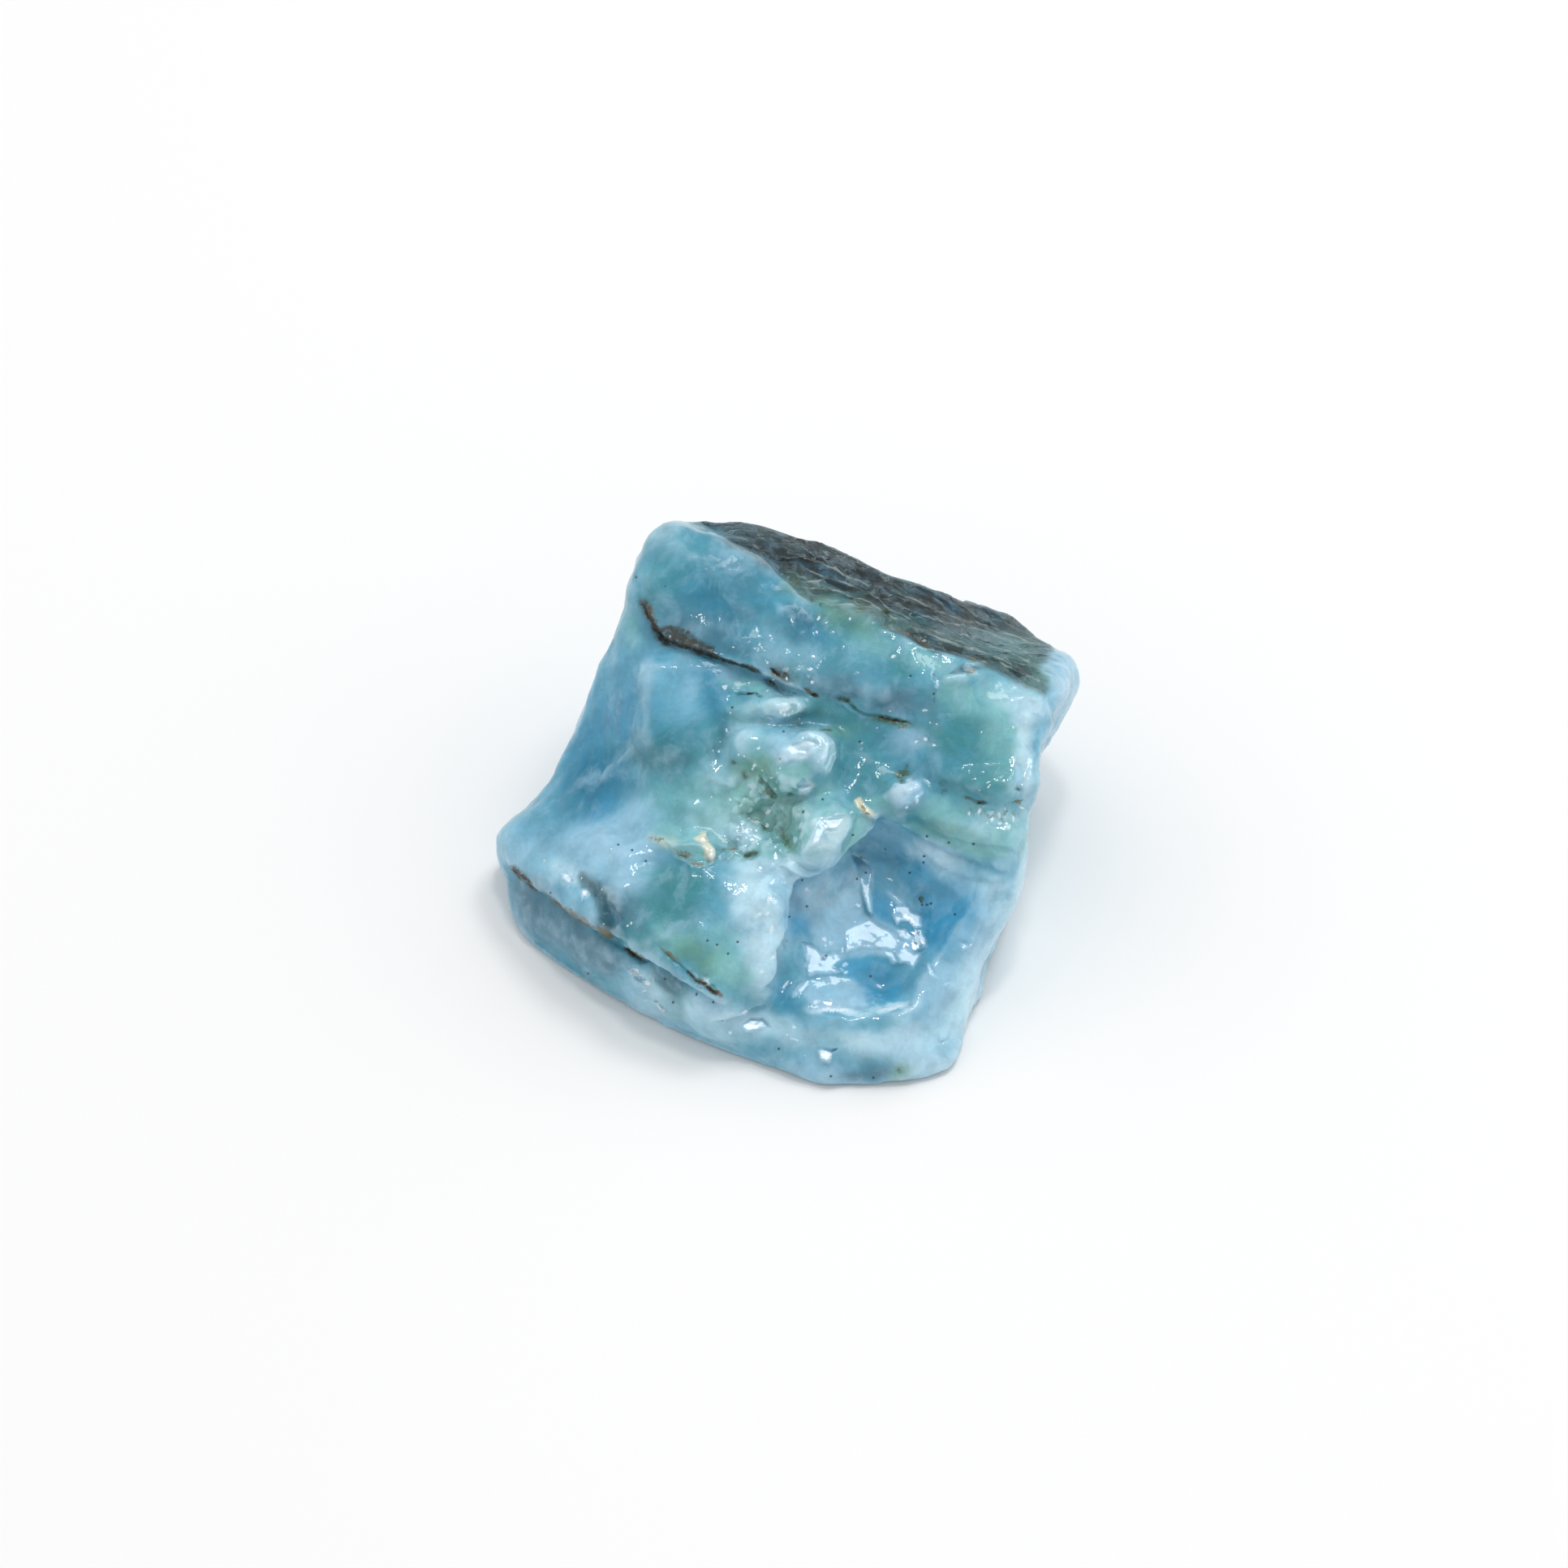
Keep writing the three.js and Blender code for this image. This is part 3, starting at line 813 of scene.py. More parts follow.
LUMPS = (
    lump(
        "boulder", 0.5, 1.2, (-4.1, 3.3), (-4.15, 4.6), (-3.7, 5.4), (-2.9, 5.8), (-1.8, 5.5), (-0.4, 5.3),
        (1.8, 5.25), (2.9, 5.0), (3.5, 4.5), (3.75, 3.7), (3.6, 2.8), (3.9, 1.6), (4.4, 0.2), (3.6, -0.6),
        (2.6, -0.4), (2.1, 0.6), (1.9, 1.9), (1.4, 2.9), (0.2, 3.0), (-0.7, 2.6), (-1.8, 2.9), (-2.9, 3.2),
        (-3.6, 3.0),
    ),
    lump(
        "boulder's right half", 0.3, 1.1, (-1.4, 3.6), (-1.7, 4.6), (-1.3, 5.3), (0.2, 5.3), (1.8, 5.25),
        (2.9, 5.0), (3.5, 4.5), (3.75, 3.7), (3.6, 2.8), (3.1, 2.0), (2.2, 2.2), (1.4, 3.1), (0.2, 3.1),
        (-0.8, 3.1),
    ),
    lump(
        "knob", 0.25, 1.1, (-1.6, 6.2), (-3.0, 6.1), (-4.2, 6.6), (-3.8, 7.4), (-2.4, 7.7), (-1.2, 7.75),
        (0.4, 7.95), (1.2, 7.6), (1.55, 7.0), (1.2, 6.5), (0.6, 6.3), (-0.2, 5.95), (-1.0, 6.1),
    ),
    lump(
        "knob's right half", 0.18, 0.7, (-1.7, 6.4), (-1.6, 7.0), (-1.0, 7.7), (0.4, 7.95), (1.2, 7.6),
        (1.55, 7.0), (1.2, 6.5), (0.6, 6.3), (-0.2, 5.95), (-1.0, 6.1),
    ),
    lump(
        "inner dome", 0.32, 0.7, (-0.5, 2.3), (0.1, 2.8), (1.0, 2.8), (1.7, 2.3), (1.9, 1.7), (1.8, 0.7),
        (1.2, 0.4), (0.4, 0.6), (-0.4, 0.8), (-0.7, 1.5),
    ),
    lump(
        "left knob", 0.45, 1.1, (-6.0, 3.3), (-4.9, 3.1), (-3.9, 2.7), (-3.4, 2.0), (-3.15, 1.5), (-3.9, 0.9),
        (-5.0, 0.5), (-6.4, 1.0), (-7.0, 2.2),
    ),
    lump(
        "pale chip", 0.3, 0.8, (7.8, 1.3), (8.6, 1.7), (9.1, 1.9), (9.9, 1.5), (10.0, 0.8), (9.6, 0.1),
        (9.0, -0.2), (8.0, -0.3), (7.0, 0.5),
    ),
    lump(
        "rim's shoulder", 0.4, 1.1, (1.1, -3.5), (1.7, -2.4), (1.9, -1.3), (3.0, -0.9), (4.4, -0.7),
        (6.5, -0.9), (5.9, -2.1), (5.3, -2.9), (4.2, -3.8), (3.2, -4.4), (1.4, -5.0), (0.0, -5.3),
        (-0.8, -4.9), (0.0, -4.1),
    ),
    lump(
        "rusty plate", 0.35, 0.5, (-9.4, -2.6), (-7.6, -2.7), (-6.5, -2.2), (-5.7, -2.2), (-5.2, -3.3),
        (-5.4, -4.4), (-6.8, -4.4), (-8.0, -3.9),
    ),
    lump(
        "green lump", 0.3, 0.6, (-3.9, 0.6), (-2.6, 1.3), (-1.9, 0.9), (-1.7, -0.1), (-2.6, -0.7),
        (-3.8, -0.4),
    ),
    lump("small lump", 0.3, 0.4, (0.5, -0.1), (1.2, 0.1), (1.7, -0.2), (1.6, -0.8), (0.9, -1.0), (0.5, -0.6)),
    lump(
        "pale lump", 0.3, 0.4, (-4.0, -1.7), (-3.0, -1.4), (-1.9, -1.7), (-2.0, -2.4), (-3.0, -2.8),
        (-4.0, -2.5),
    ),
    lump(
        "rim's drop", 0.3, 0.9, (-1.2, -5.2), (-0.4, -5.6), (-0.3, -6.6), (-0.6, -7.8), (-1.6, -8.2),
        (-2.4, -7.2), (-2.2, -5.9),
    ),
)

FACETS = (
    # calm plates
    facet(
        (-0.02, -0.12), (-9.8, 10.4), (-6.0, 10.2), (-4.4, 8.8), (-4.6, 4.4), (-7.0, 3.4), (-10.0, 4.4),
        (-10.2, 7.4), edge=1.6, most=0.4, share=0.7,
    ),
    facet(
        (0.06, -0.22), (-0.8, 14.6), (2.4, 13.4), (6.0, 11.8), (8.0, 8.6), (3.4, 8.6), (0.0, 9.8),
        (-2.6, 11.4), edge=2.4, most=0.6, share=0.7,
    ),
    facet((0.0, -0.06), (11.4, 8.6), (16.0, 8.4), (16.4, 2.4), (11.4, 2.2), edge=2.0, most=0.4, share=0.6),
    facet(
        (0.03, -0.2), (-10.0, -5.0), (-4.0, -4.8), (-3.8, -9.4), (-10.8, -9.0), edge=2.0, most=0.5, share=0.6,
    ),
    # middle
    facet(
        (-0.1, -0.36), (-1.3, 7.6), (-0.2, 7.85), (0.7, 7.85), (1.3, 7.3), (1.2, 6.6), (0.3, 6.4),
        (-0.3, 6.1), (-0.8, 6.4), (-1.7, 6.3), edge=0.5, most=0.2, share=0.6,
    ),
    facet(GLINT, (-1.7, 6.35), (-0.8, 6.05), (-0.8, 6.25), (-1.6, 6.5), edge=0.15),
    facet(
        (-0.04, -0.2), (-0.6, 5.0), (0.6, 5.1), (1.2, 4.3), (0.2, 4.0), (-0.8, 4.0), edge=0.3, most=0.2,
        share=0.6,
    ),
    facet(
        (0.1, -0.3), (-3.6, 4.8), (-2.6, 5.3), (-1.7, 4.9), (-1.9, 3.8), (-3.2, 3.6), edge=0.5, most=0.2,
        share=0.5,
    ),
    facet(
        (-0.1, -0.36), (0.9, 5.1), (2.6, 4.9), (3.3, 4.5), (3.0, 4.2), (2.5, 2.9), (1.9, 3.9), (0.8, 4.2),
        edge=0.5, share=0.7,
    ),
    facet(
        GLINT, (-0.5, 3.2), (-0.3, 3.7), (0.4, 4.0), (1.3, 4.1), (2.2, 4.3), (2.4, 4.1), (1.9, 3.9),
        (1.5, 3.5), (1.1, 3.4), (0.8, 3.05), (0.2, 2.95), (-0.2, 3.0), lift=0.02, edge=0.2, most=0.2,
    ),
    facet((-0.35, -0.3), (3.05, 4.6), (3.5, 4.3), (3.6, 3.3), (3.1, 2.3), (2.6, 2.8), (3.0, 3.7), edge=0.2),
    facet(
        (0.06, -0.2), (-0.6, 2.4), (0.2, 2.8), (1.6, 2.8), (1.8, 2.2), (0.8, 1.6), (0.4, 0.8), (-0.4, 1.0),
        edge=0.5, share=0.6,
    ),
    facet(GLINT, (0.9, 1.5), (1.4, 1.85), (1.9, 1.4), (1.7, 0.5), (1.0, 0.7), lift=0.04, edge=0.3),
    facet(
        (-0.22, -0.3), (-4.2, 2.6), (-3.6, 2.0), (-3.2, 1.5), (-3.9, 0.95), (-4.8, 1.4), (-4.9, 2.2),
        edge=0.5, share=0.6,
    ),
    facet(
        (-0.3, -0.34), (2.0, -1.3), (2.9, -1.1), (4.2, -0.9), (4.8, -1.2), (4.4, -2.4), (3.8, -3.3),
        (2.8, -3.2), (1.2, -3.5), (1.8, -2.4), edge=0.4, share=0.8,
    ),
    facet(
        GLINT, (1.7, -3.3), (2.2, -1.5), (2.7, -1.2), (3.0, -2.0), (2.6, -2.9), lift=0.06, edge=0.14,
        most=0.2,
    ),
    facet(GLINT, (2.9, -1.3), (4.2, -1.2), (3.7, -2.0), (3.1, -2.1), lift=0.03, edge=0.14, most=0.2),
    facet(
        (-0.7, 0.2), (5.0, -0.9), (6.4, -0.9), (5.9, -2.0), (5.1, -3.2), (4.2, -3.9), (4.1, -3.4),
        (4.6, -2.3), most=0.5,
    ),
    facet(
        (0.1, -0.5), (5.0, 0.2), (5.4, 0.35), (5.8, -0.2), (6.6, -0.8), (6.2, -1.05), (5.7, -0.8),
        (5.3, -0.4), lift=0.22, edge=0.18,
    ),
    facet(
        (-0.12, -0.45), (0.2, -4.0), (1.4, -4.2), (2.6, -4.5), (1.6, -4.9), (0.4, -4.9), (-0.4, -4.6),
        lift=0.05,
    ),
    facet(GLINT, (-1.3, -5.9), (-0.6, -5.2), (-0.3, -5.3), (-0.4, -5.8), (-1.1, -6.3), lift=0.05, edge=0.15),
    facet(GLINT, (-6.4, -2.6), (-5.8, -2.2), (-5.7, -2.8), (-6.0, -3.2), lift=0.15, edge=0.15),
    facet(GLINT, (-6.0, -3.2), (-5.2, -3.4), (-5.3, -4.3), (-5.7, -3.9), lift=0.2, edge=0.15),
    facet(
        (0.1, 0.3), (-8.6, -2.9), (-7.2, -3.1), (-6.2, -3.2), (-5.4, -4.4), (-6.8, -4.4), (-8.0, -3.9),
        lift=-0.1,
    ),
    facet(
        (0.0, -0.3), (8.0, 1.4), (9.1, 1.9), (9.9, 1.5), (9.95, 0.8), (9.5, 0.2), (9.0, -0.1), (8.0, 0.3),
        edge=0.5, most=0.2, share=0.6,
    ),
    facet(GLINT, (9.45, 0.15), (10.0, 0.7), (9.9, 1.0), (9.35, 0.4), edge=0.12),
    # hollow
    facet(
        (-0.15, -0.38), (2.0, -7.4), (4.4, -5.6), (7.4, -5.4), (10.0, -6.8), (10.8, -10.4), (9.6, -12.2),
        (6.6, -12.0), (3.6, -12.6), (1.2, -12.8), (1.0, -9.6), edge=1.8, most=0.6, share=0.7,
    ),
    facet(
        GLINT, (5.4, -4.3), (6.45, -4.9), (6.4, -6.2), (6.35, -8.1), (6.0, -7.9), (5.6, -6.3), lift=0.05,
        edge=0.2, most=1.0,
    ),
    facet(
        GLINT, (1.1, -10.2), (1.9, -10.3), (2.6, -10.9), (3.2, -10.95), (3.7, -10.7), (3.9, -11.0),
        (3.4, -11.9), (4.1, -12.3), (3.0, -12.4), (2.2, -12.4), (1.6, -12.6), (1.5, -11.5), (1.3, -10.8),
        edge=0.3, most=0.4,
    ),
    facet(
        GLINT, (1.6, -12.9), (1.7, -13.3), (1.1, -13.9), (0.5, -14.3), (0.6, -13.7), (1.1, -13.1), edge=0.24,
    ),
    facet(
        GLINT, (7.2, -6.2), (8.2, -6.7), (8.8, -7.4), (8.3, -7.6), (7.9, -7.2), (7.6, -7.0), edge=0.24,
        most=0.4,
    ),
    facet(
        GLINT, (8.0, -7.5), (8.8, -7.4), (9.2, -7.9), (9.85, -8.1), (9.9, -9.0), (9.3, -9.1), (9.1, -8.5),
        (8.4, -8.6), (8.1, -8.9), (7.8, -8.1), edge=0.24, most=0.4,
    ),
    facet(
        GLINT, (8.1, -9.2), (8.6, -9.1), (9.0, -9.6), (9.5, -9.7), (9.4, -10.0), (8.7, -10.0), (8.3, -9.7),
        edge=0.24,
    ),
    facet(GLINT, (9.9, -9.1), (10.3, -10.0), (10.35, -10.5), (9.9, -10.4), (9.7, -9.8), edge=0.24),
    facet(
        GLINT, (8.6, -10.4), (9.4, -10.9), (10.0, -10.8), (9.9, -11.2), (9.4, -12.0), (8.9, -11.6),
        (8.3, -11.6), (8.0, -11.0), edge=0.24,
    ),
    facet(GLINT, (7.3, -10.8), (7.8, -10.7), (8.2, -11.5), (7.8, -11.7), (7.5, -11.4), edge=0.24),
    facet(
        GLINT, (4.4, -9.2), (6.2, -8.3), (7.6, -9.2), (8.6, -10.1), (8.0, -10.6), (6.4, -10.5), (4.3, -10.8),
        edge=0.3, most=0.5, share=0.8,
    ),
    facet(GLINT, (12.7, -10.0), (13.2, -10.1), (13.4, -10.5), (12.8, -10.8), edge=0.24),
    facet(GLINT, (10.1, -11.6), (10.5, -11.7), (11.2, -13.0), (10.7, -12.7), edge=0.24),
    facet(
        (0.0, -0.56), (2.0, -14.8), (4.4, -14.8), (5.9, -14.7), (5.8, -15.3), (4.6, -15.5), (3.0, -15.4),
        edge=0.2, most=0.4,
    ),
    facet(
        (-0.1, -0.56), (6.4, -15.0), (7.6, -14.8), (8.8, -14.5), (9.2, -14.7), (8.4, -15.1), (6.8, -15.4),
        edge=0.2, most=0.4,
    ),
    # block's right side
    facet(GLINT, (16.8, 2.9), (17.3, 2.9), (17.4, 1.6), (17.1, 0.3), (16.7, 1.2), edge=0.35, most=0.15),
    facet(
        (-0.42, -0.3), (17.5, 4.2), (18.1, 4.3), (17.9, 2.6), (17.3, 1.4), (17.4, 3.0), edge=0.35, most=0.15,
    ),
    facet((-0.35, -0.35), (17.8, 7.4), (18.7, 7.3), (18.6, 6.3), (18.0, 6.6), edge=0.35, most=0.12),
    facet(GLINT, (10.9, 8.4), (11.15, 9.2), (11.35, 9.1), (11.1, 8.3), edge=0.12),
    # slab, shoulder and toe
    facet(
        GLINT, (-11.6, -12.2), (-11.2, -12.0), (-10.3, -12.8), (-10.3, -13.2), (-11.2, -12.9), lift=0.1,
        edge=0.14, most=0.7,
    ),
    facet(GLINT, (-9.7, -14.3), (-9.3, -14.4), (-8.8, -15.1), (-9.1, -15.1), edge=0.14, most=0.5),
    facet(GLINT, (-16.4, -5.1), (-15.9, -5.1), (-15.4, -5.8), (-15.8, -6.0), lift=0.05, edge=0.14, most=0.5),
    facet(
        GLINT, (-14.9, -6.1), (-14.5, -6.1), (-14.3, -6.7), (-14.6, -7.1), (-14.8, -6.7), lift=0.05,
        edge=0.14, most=0.5,
    ),
    facet(
        GLINT, (2.3, -18.1), (2.8, -17.9), (3.8, -17.9), (3.4, -18.3), (3.2, -19.0), (2.5, -18.7), lift=0.05,
        edge=0.16, most=0.5,
    ),
    facet(
        GLINT, (-3.3, -16.2), (-2.6, -15.7), (-1.7, -15.7), (-1.2, -16.3), (-2.2, -16.5), (-2.8, -16.7),
        edge=0.16, most=0.5,
    ),
    facet(GLINT, (11.1, -17.4), (11.9, -17.0), (12.0, -17.2), (11.3, -17.6), edge=0.14),
    facet(GLINT, (11.4, -13.4), (11.9, -12.9), (12.1, -13.1), (11.6, -13.5), edge=0.14),
)

# small flakes leant to mirror the softbox; the finish also paints them white, a painted highlight
GLINTS = patches(
    (0.5, 13.35, 0.12, 0.28), (2.4, 13.5, 0.12, 0.25, -20), (2.9, 13.2, 0.24, 0.1, 20),
    (2.3, 12.5, 0.1, 0.2, 20), (3.45, 12.5, 0.16, 0.12), (4.65, 13.45, 0.15, 0.15), (4.2, 11.4, 0.1, 0.12),
    (2.55, 10.4, 0.1, 0.26, -30), (1.8, 9.8, 0.26, 0.22), (1.0, 9.8, 0.18, 0.1), (1.9, 8.8, 0.2, 0.2),
    (0.1, 9.05, 0.1, 0.18), (-2.0, 11.2, 0.12, 0.12), (-1.4, 10.3, 0.3, 0.16, -40), (-0.9, 9.05, 0.16, 0.12),
    (-1.3, 8.25, 0.14, 0.14), (-4.5, 8.45, 0.3, 0.28), (-8.45, 12.15, 0.13, 0.13), (-3.8, 11.4, 0.12, 0.1),
    (-6.8, 13.65, 0.08, 0.08), (7.9, 10.8, 0.28, 0.16, 20), (10.1, 6.8, 0.36, 0.18, 10),
    (7.6, 6.75, 0.12, 0.1), (10.2, 4.7, 0.2, 0.24), (10.75, 4.3, 0.28, 0.14), (9.5, 4.5, 0.24, 0.14, 30),
    (11.0, 5.7, 0.12, 0.12), (10.6, 5.9, 0.1, 0.1), (14.3, 5.2, 0.1, 0.1), (5.55, 4.05, 0.12, 0.12),
    (6.7, 5.5, 0.1, 0.1), (5.55, 4.5, 0.09, 0.09), (2.05, 5.85, 0.09, 0.1), (1.0, 6.1, 0.1, 0.1),
    (-4.0, 6.6, 0.12, 0.1), (-4.25, 5.3, 0.13, 0.24, 10), (-4.85, 3.85, 0.14, 0.14), (-4.75, 4.5, 0.11, 0.11),
    (-5.3, 3.9, 0.12, 0.1), (-2.0, 4.1, 0.16, 0.22), (-3.0, 3.5, 0.14, 0.14), (-3.5, 3.6, 0.14, 0.14),
    (-2.3, 2.7, 0.16, 0.5, -28), (-1.7, 2.4, 0.12, 0.12), (-1.2, 6.22, 0.34, 0.08, -18),
    (-0.35, 6.7, 0.1, 0.18), (-0.05, 6.45, 0.1, 0.2), (0.25, 6.4, 0.09, 0.14), (0.55, 6.65, 0.12, 0.1),
    (0.95, 6.75, 0.1, 0.1), (-0.4, 2.6, 0.14, 0.12), (-0.65, 2.2, 0.14, 0.14), (-1.0, 1.85, 0.14, 0.14),
    (-0.7, 1.5, 0.11, 0.14), (-0.8, 1.05, 0.11, 0.14), (-1.8, 0.8, 0.14, 0.1), (-4.0, 0.25, 0.12, 0.14),
    (-3.1, 0.35, 0.12, 0.1), (-3.2, -0.1, 0.12, 0.1), (-5.4, 0.5, 0.1, 0.1), (-1.3, -0.6, 0.26, 0.34, -20),
    (-2.7, -1.15, 0.12, 0.12), (-2.1, -1.3, 0.3, 0.2), (-1.3, -1.6, 0.16, 0.24), (-2.1, -2.0, 0.14, 0.1),
    (-3.0, -2.0, 0.34, 0.24), (-3.5, -2.65, 0.2, 0.14, -20), (-0.7, -3.15, 0.16, 0.1),
    (-0.35, -3.4, 0.12, 0.12), (-1.1, -2.65, 0.14, 0.1), (4.8, -0.6, 0.14, 0.1), (7.6, -5.6, 0.36, 0.1, -20),
    (7.7, -7.2, 0.1, 0.24, 10), (1.6, -6.3, 0.28, 0.22, 30), (5.3, -7.4, 0.26, 0.2, -30),
    (5.1, -8.7, 0.12, 0.12), (2.8, -9.9, 0.2, 0.26), (3.0, -10.6, 0.1, 0.16), (13.7, -9.8, 0.14, 0.12),
    (13.5, -10.3, 0.16, 0.12, 40), (1.7, -14.8, 0.12, 0.1), (0.65, -16.3, 0.12, 0.3, 35),
    (0.2, -16.8, 0.12, 0.12), (0.7, -17.2, 0.5, 0.1, -15), (1.4, -18.4, 0.12, 0.1), (-4.1, -16.7, 0.14, 0.12),
    (-1.7, -12.3, 0.3, 0.2, 40), (-0.9, -11.2, 0.3, 0.2, 30), (-1.9, -8.0, 0.26, 0.14, 30),
    (-1.3, -8.0, 0.2, 0.16, 30), (-13.4, -6.25, 0.12, 0.12), (-13.1, -7.95, 0.1, 0.1),
    (-13.3, -8.8, 0.14, 0.1), (-15.7, -7.35, 0.12, 0.1), (-11.3, -8.7, 0.2, 0.14, 20),
    (-11.6, -8.9, 0.14, 0.1), (-12.7, -3.3, 0.1, 0.1), (-10.9, -12.1, 0.16, 0.1),
    (-10.3, -13.7, 0.24, 0.1, 30), (-9.6, -12.9, 0.1, 0.1), (-8.85, -15.1, 0.12, 0.12),
    (13.8, 1.8, 0.14, 0.1), (14.9, 1.2, 0.12, 0.34, -25), (14.4, 2.3, 0.1, 0.14), (14.1, 0.95, 0.1, 0.1),
    (13.4, -0.7, 0.18, 0.18), (14.1, -0.6, 0.16, 0.4, -15), (15.1, -1.1, 0.14, 0.36, -20),
    (15.6, -0.9, 0.14, 0.3, -10), (16.1, -1.5, 0.2, 0.2), (16.1, -0.4, 0.12, 0.2), (16.6, -1.1, 0.14, 0.2),
    (17.2, -0.3, 0.2, 0.14), (14.7, -1.4, 0.12, 0.18), (8.8, -0.25, 0.2, 0.14), (9.6, 0.2, 0.18, 0.26, -20),
    (16.6, 5.5, 0.1, 0.16), (17.5, 5.9, 0.12, 0.1), (10.1, -1.1, 0.1, 0.1), (-10.9, -12.4, 0.8, 0.34, -38),
    (-10.2, -13.1, 0.3, 0.14, -20), (-9.2, -14.7, 0.5, 0.16, -60), (-15.9, -5.5, 0.5, 0.28, -50),
    (-14.6, -6.5, 0.3, 0.3, -50), (-14.9, -5.4, 0.12, 0.12), (-17.6, -4.2, 0.12, 0.12),
    (3.0, -18.4, 0.6, 0.36, 10), (-2.4, -16.2, 0.8, 0.34, 10), (-3.0, -15.2, 0.3, 0.2, 30),
    (3.6, -15.1, 1.6, 0.22), (7.6, -14.9, 1.2, 0.18, 10), (9.0, -8.4, 0.8, 0.3, -50),
    (9.6, -9.8, 0.3, 0.7, 10), (0.0, 6.9, 0.5, 0.25, 10), (2.2, -2.6, 0.5, 0.2, 60),
    (3.6, -1.6, 0.4, 0.2, 10), (-1.2, -7.0, 0.2, 0.5, -20), (-1.0, -9.2, 0.2, 0.4, -10),
    (0.0, -13.2, 0.2, 0.5, -30),
)

MOUNDS = mounds(
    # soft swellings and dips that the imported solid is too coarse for
    (7.0, -4.2, 2.6, 1.9, -20, -1.3), (6.0, -6.6, 2.2, 1.8, -60, -0.5), (7.0, -12.8, 1.8, 1.6, 0, -0.5),
    (3.2, -6.8, 1.8, 1.4, 30, 0.2), (-3.0, 4.6, 1.0, 0.9, 0, 0.3), (1.6, 4.6, 1.8, 0.8, 0, 0.25),
    (-0.2, 7.0, 1.5, 0.7, 0, 0.35), (-2.4, 2.2, 1.3, 1.0, -20, -0.3), (-0.3, -2.2, 0.8, 1.0, 0, -0.3),
    (-2.7, -3.8, 0.6, 0.35, 0, -0.4), (3.2, -2.4, 1.6, 1.6, 0, 0.1), (2.6, 6.0, 1.6, 0.5, -8, -0.45),
    (-5.0, 1.8, 1.4, 1.1, -20, 0.3), (-15.8, -6.0, 2.0, 0.8, -38, 0.25), (8.6, 2.4, 0.7, 0.5, 0, -0.3),
    (15.6, -12.2, 1.8, 2.4, 20, -0.8), (13.2, -18.8, 1.6, 2.0, 20, 0.5), (-16.8, -11.4, 2.8, 1.2, -38, -0.5),
    (-6.0, -18.4, 4.0, 1.6, -20, -0.5), (-8.6, 19.8, 2.4, 1.6, 20, 0.4),
)

STRANDS = (
    strand(
        (0.2, 16.2), (1.8, 16.2), (3.2, 16.4), (4.4, 16.1), (5.8, 15.5), (6.8, 14.9), (7.5, 14.2),
        (8.6, 13.7), (9.8, 13.0), (11.2, 12.4), (13.0, 11.9),
    ),
    strand((-1.9, 18.2), (-0.8, 18.0), (0.3, 17.9), (1.3, 18.0), (2.4, 17.6), (3.4, 17.2), (4.4, 16.6)),
    strand((1.6, 17.0), (2.4, 16.7), (3.0, 16.4)),
    strand(
        (0.4, 15.8), (1.8, 15.7), (3.2, 15.6), (4.4, 15.2), (5.6, 14.9), (6.8, 14.3), (7.8, 13.6),
        (9.0, 13.2),
    ),
    strand(
        (5.8, 12.9), (7.4, 12.8), (8.8, 12.3), (9.7, 11.8), (11.2, 11.3), (12.6, 10.9), (14.2, 10.4),
        (15.6, 9.9), width=0.1,
    ),
    strand(
        (6.6, 15.1), (7.8, 14.7), (9.0, 14.1), (10.2, 13.7), (11.6, 13.2), (13.2, 12.9), (14.6, 12.6),
        (16.2, 11.9), (17.4, 11.1), (18.6, 10.2),
    ),
    strand((8.2, 15.2), (9.6, 14.8), (10.6, 14.2), (12.0, 13.7), (13.2, 13.2)),
    strand((10.0, 12.2), (11.6, 11.8), (13.4, 11.3), (15.0, 10.9), (16.6, 10.1), (18.2, 9.2), (18.9, 8.6)),
    strand((12.0, 12.5), (13.6, 12.2), (15.0, 11.5), (16.4, 11.0), (17.6, 10.4), (18.6, 9.7)),
    strand((13.8, 10.9), (15.2, 10.5), (16.4, 9.9), (17.6, 9.3), (18.8, 8.9)),
    strand((15.2, 9.9), (16.4, 9.2), (17.6, 8.6), (19.1, 7.9), width=0.1),
    strand((12.4, 13.4), (14.4, 13.1), (16.2, 12.4), (17.6, 11.8), (19.2, 11.3), (20.2, 10.9)),
    strand((8.4, 13.2), (9.8, 12.6), (11.2, 12.1), (12.6, 11.6), (14.0, 11.2), width=0.09),
    strand((3.4, 17.4), (4.2, 16.7), (5.4, 16.3), (6.4, 15.6), width=0.09),
)

PITS = patches(
    # dark hollows between the fibres
    (1.9, 14.85, 0.3, 0.22, -30, 3), (2.6, 14.5, 0.26, 0.16, -20, 3), (7.3, 13.95, 0.34, 0.24, -40, 3),
    (9.9, 11.75, 0.7, 0.2, -22, 3), (11.8, 11.05, 0.5, 0.16, -22, 3), (13.6, 11.1, 0.7, 0.18, -22, 3),
    (15.0, 10.5, 0.5, 0.14, -22, 3), (16.9, 9.5, 0.5, 0.16, -24, 3), (1.5, 17.4, 0.7, 0.3, -30, 3),
    (-0.6, 18.0, 0.9, 0.2, -24, 3), (6.4, 15.4, 0.9, 0.26, -26, 3), (4.4, 16.4, 0.6, 0.2, -26, 3),
    (11.6, 14.1, 1.2, 0.4, -12), (17.4, 9.0, 0.8, 0.14, -26, 3), (0.6, 16.3, 0.9, 0.16, -30, 3),
)


@dataclass(frozen=True)
class Stain:
    """A patch of one of the stone's tones; some are painted highlights, reflections or shade."""

    tone: Tone
    shape: Patch | Area
    strength: float = 1.0  # its weight against the others


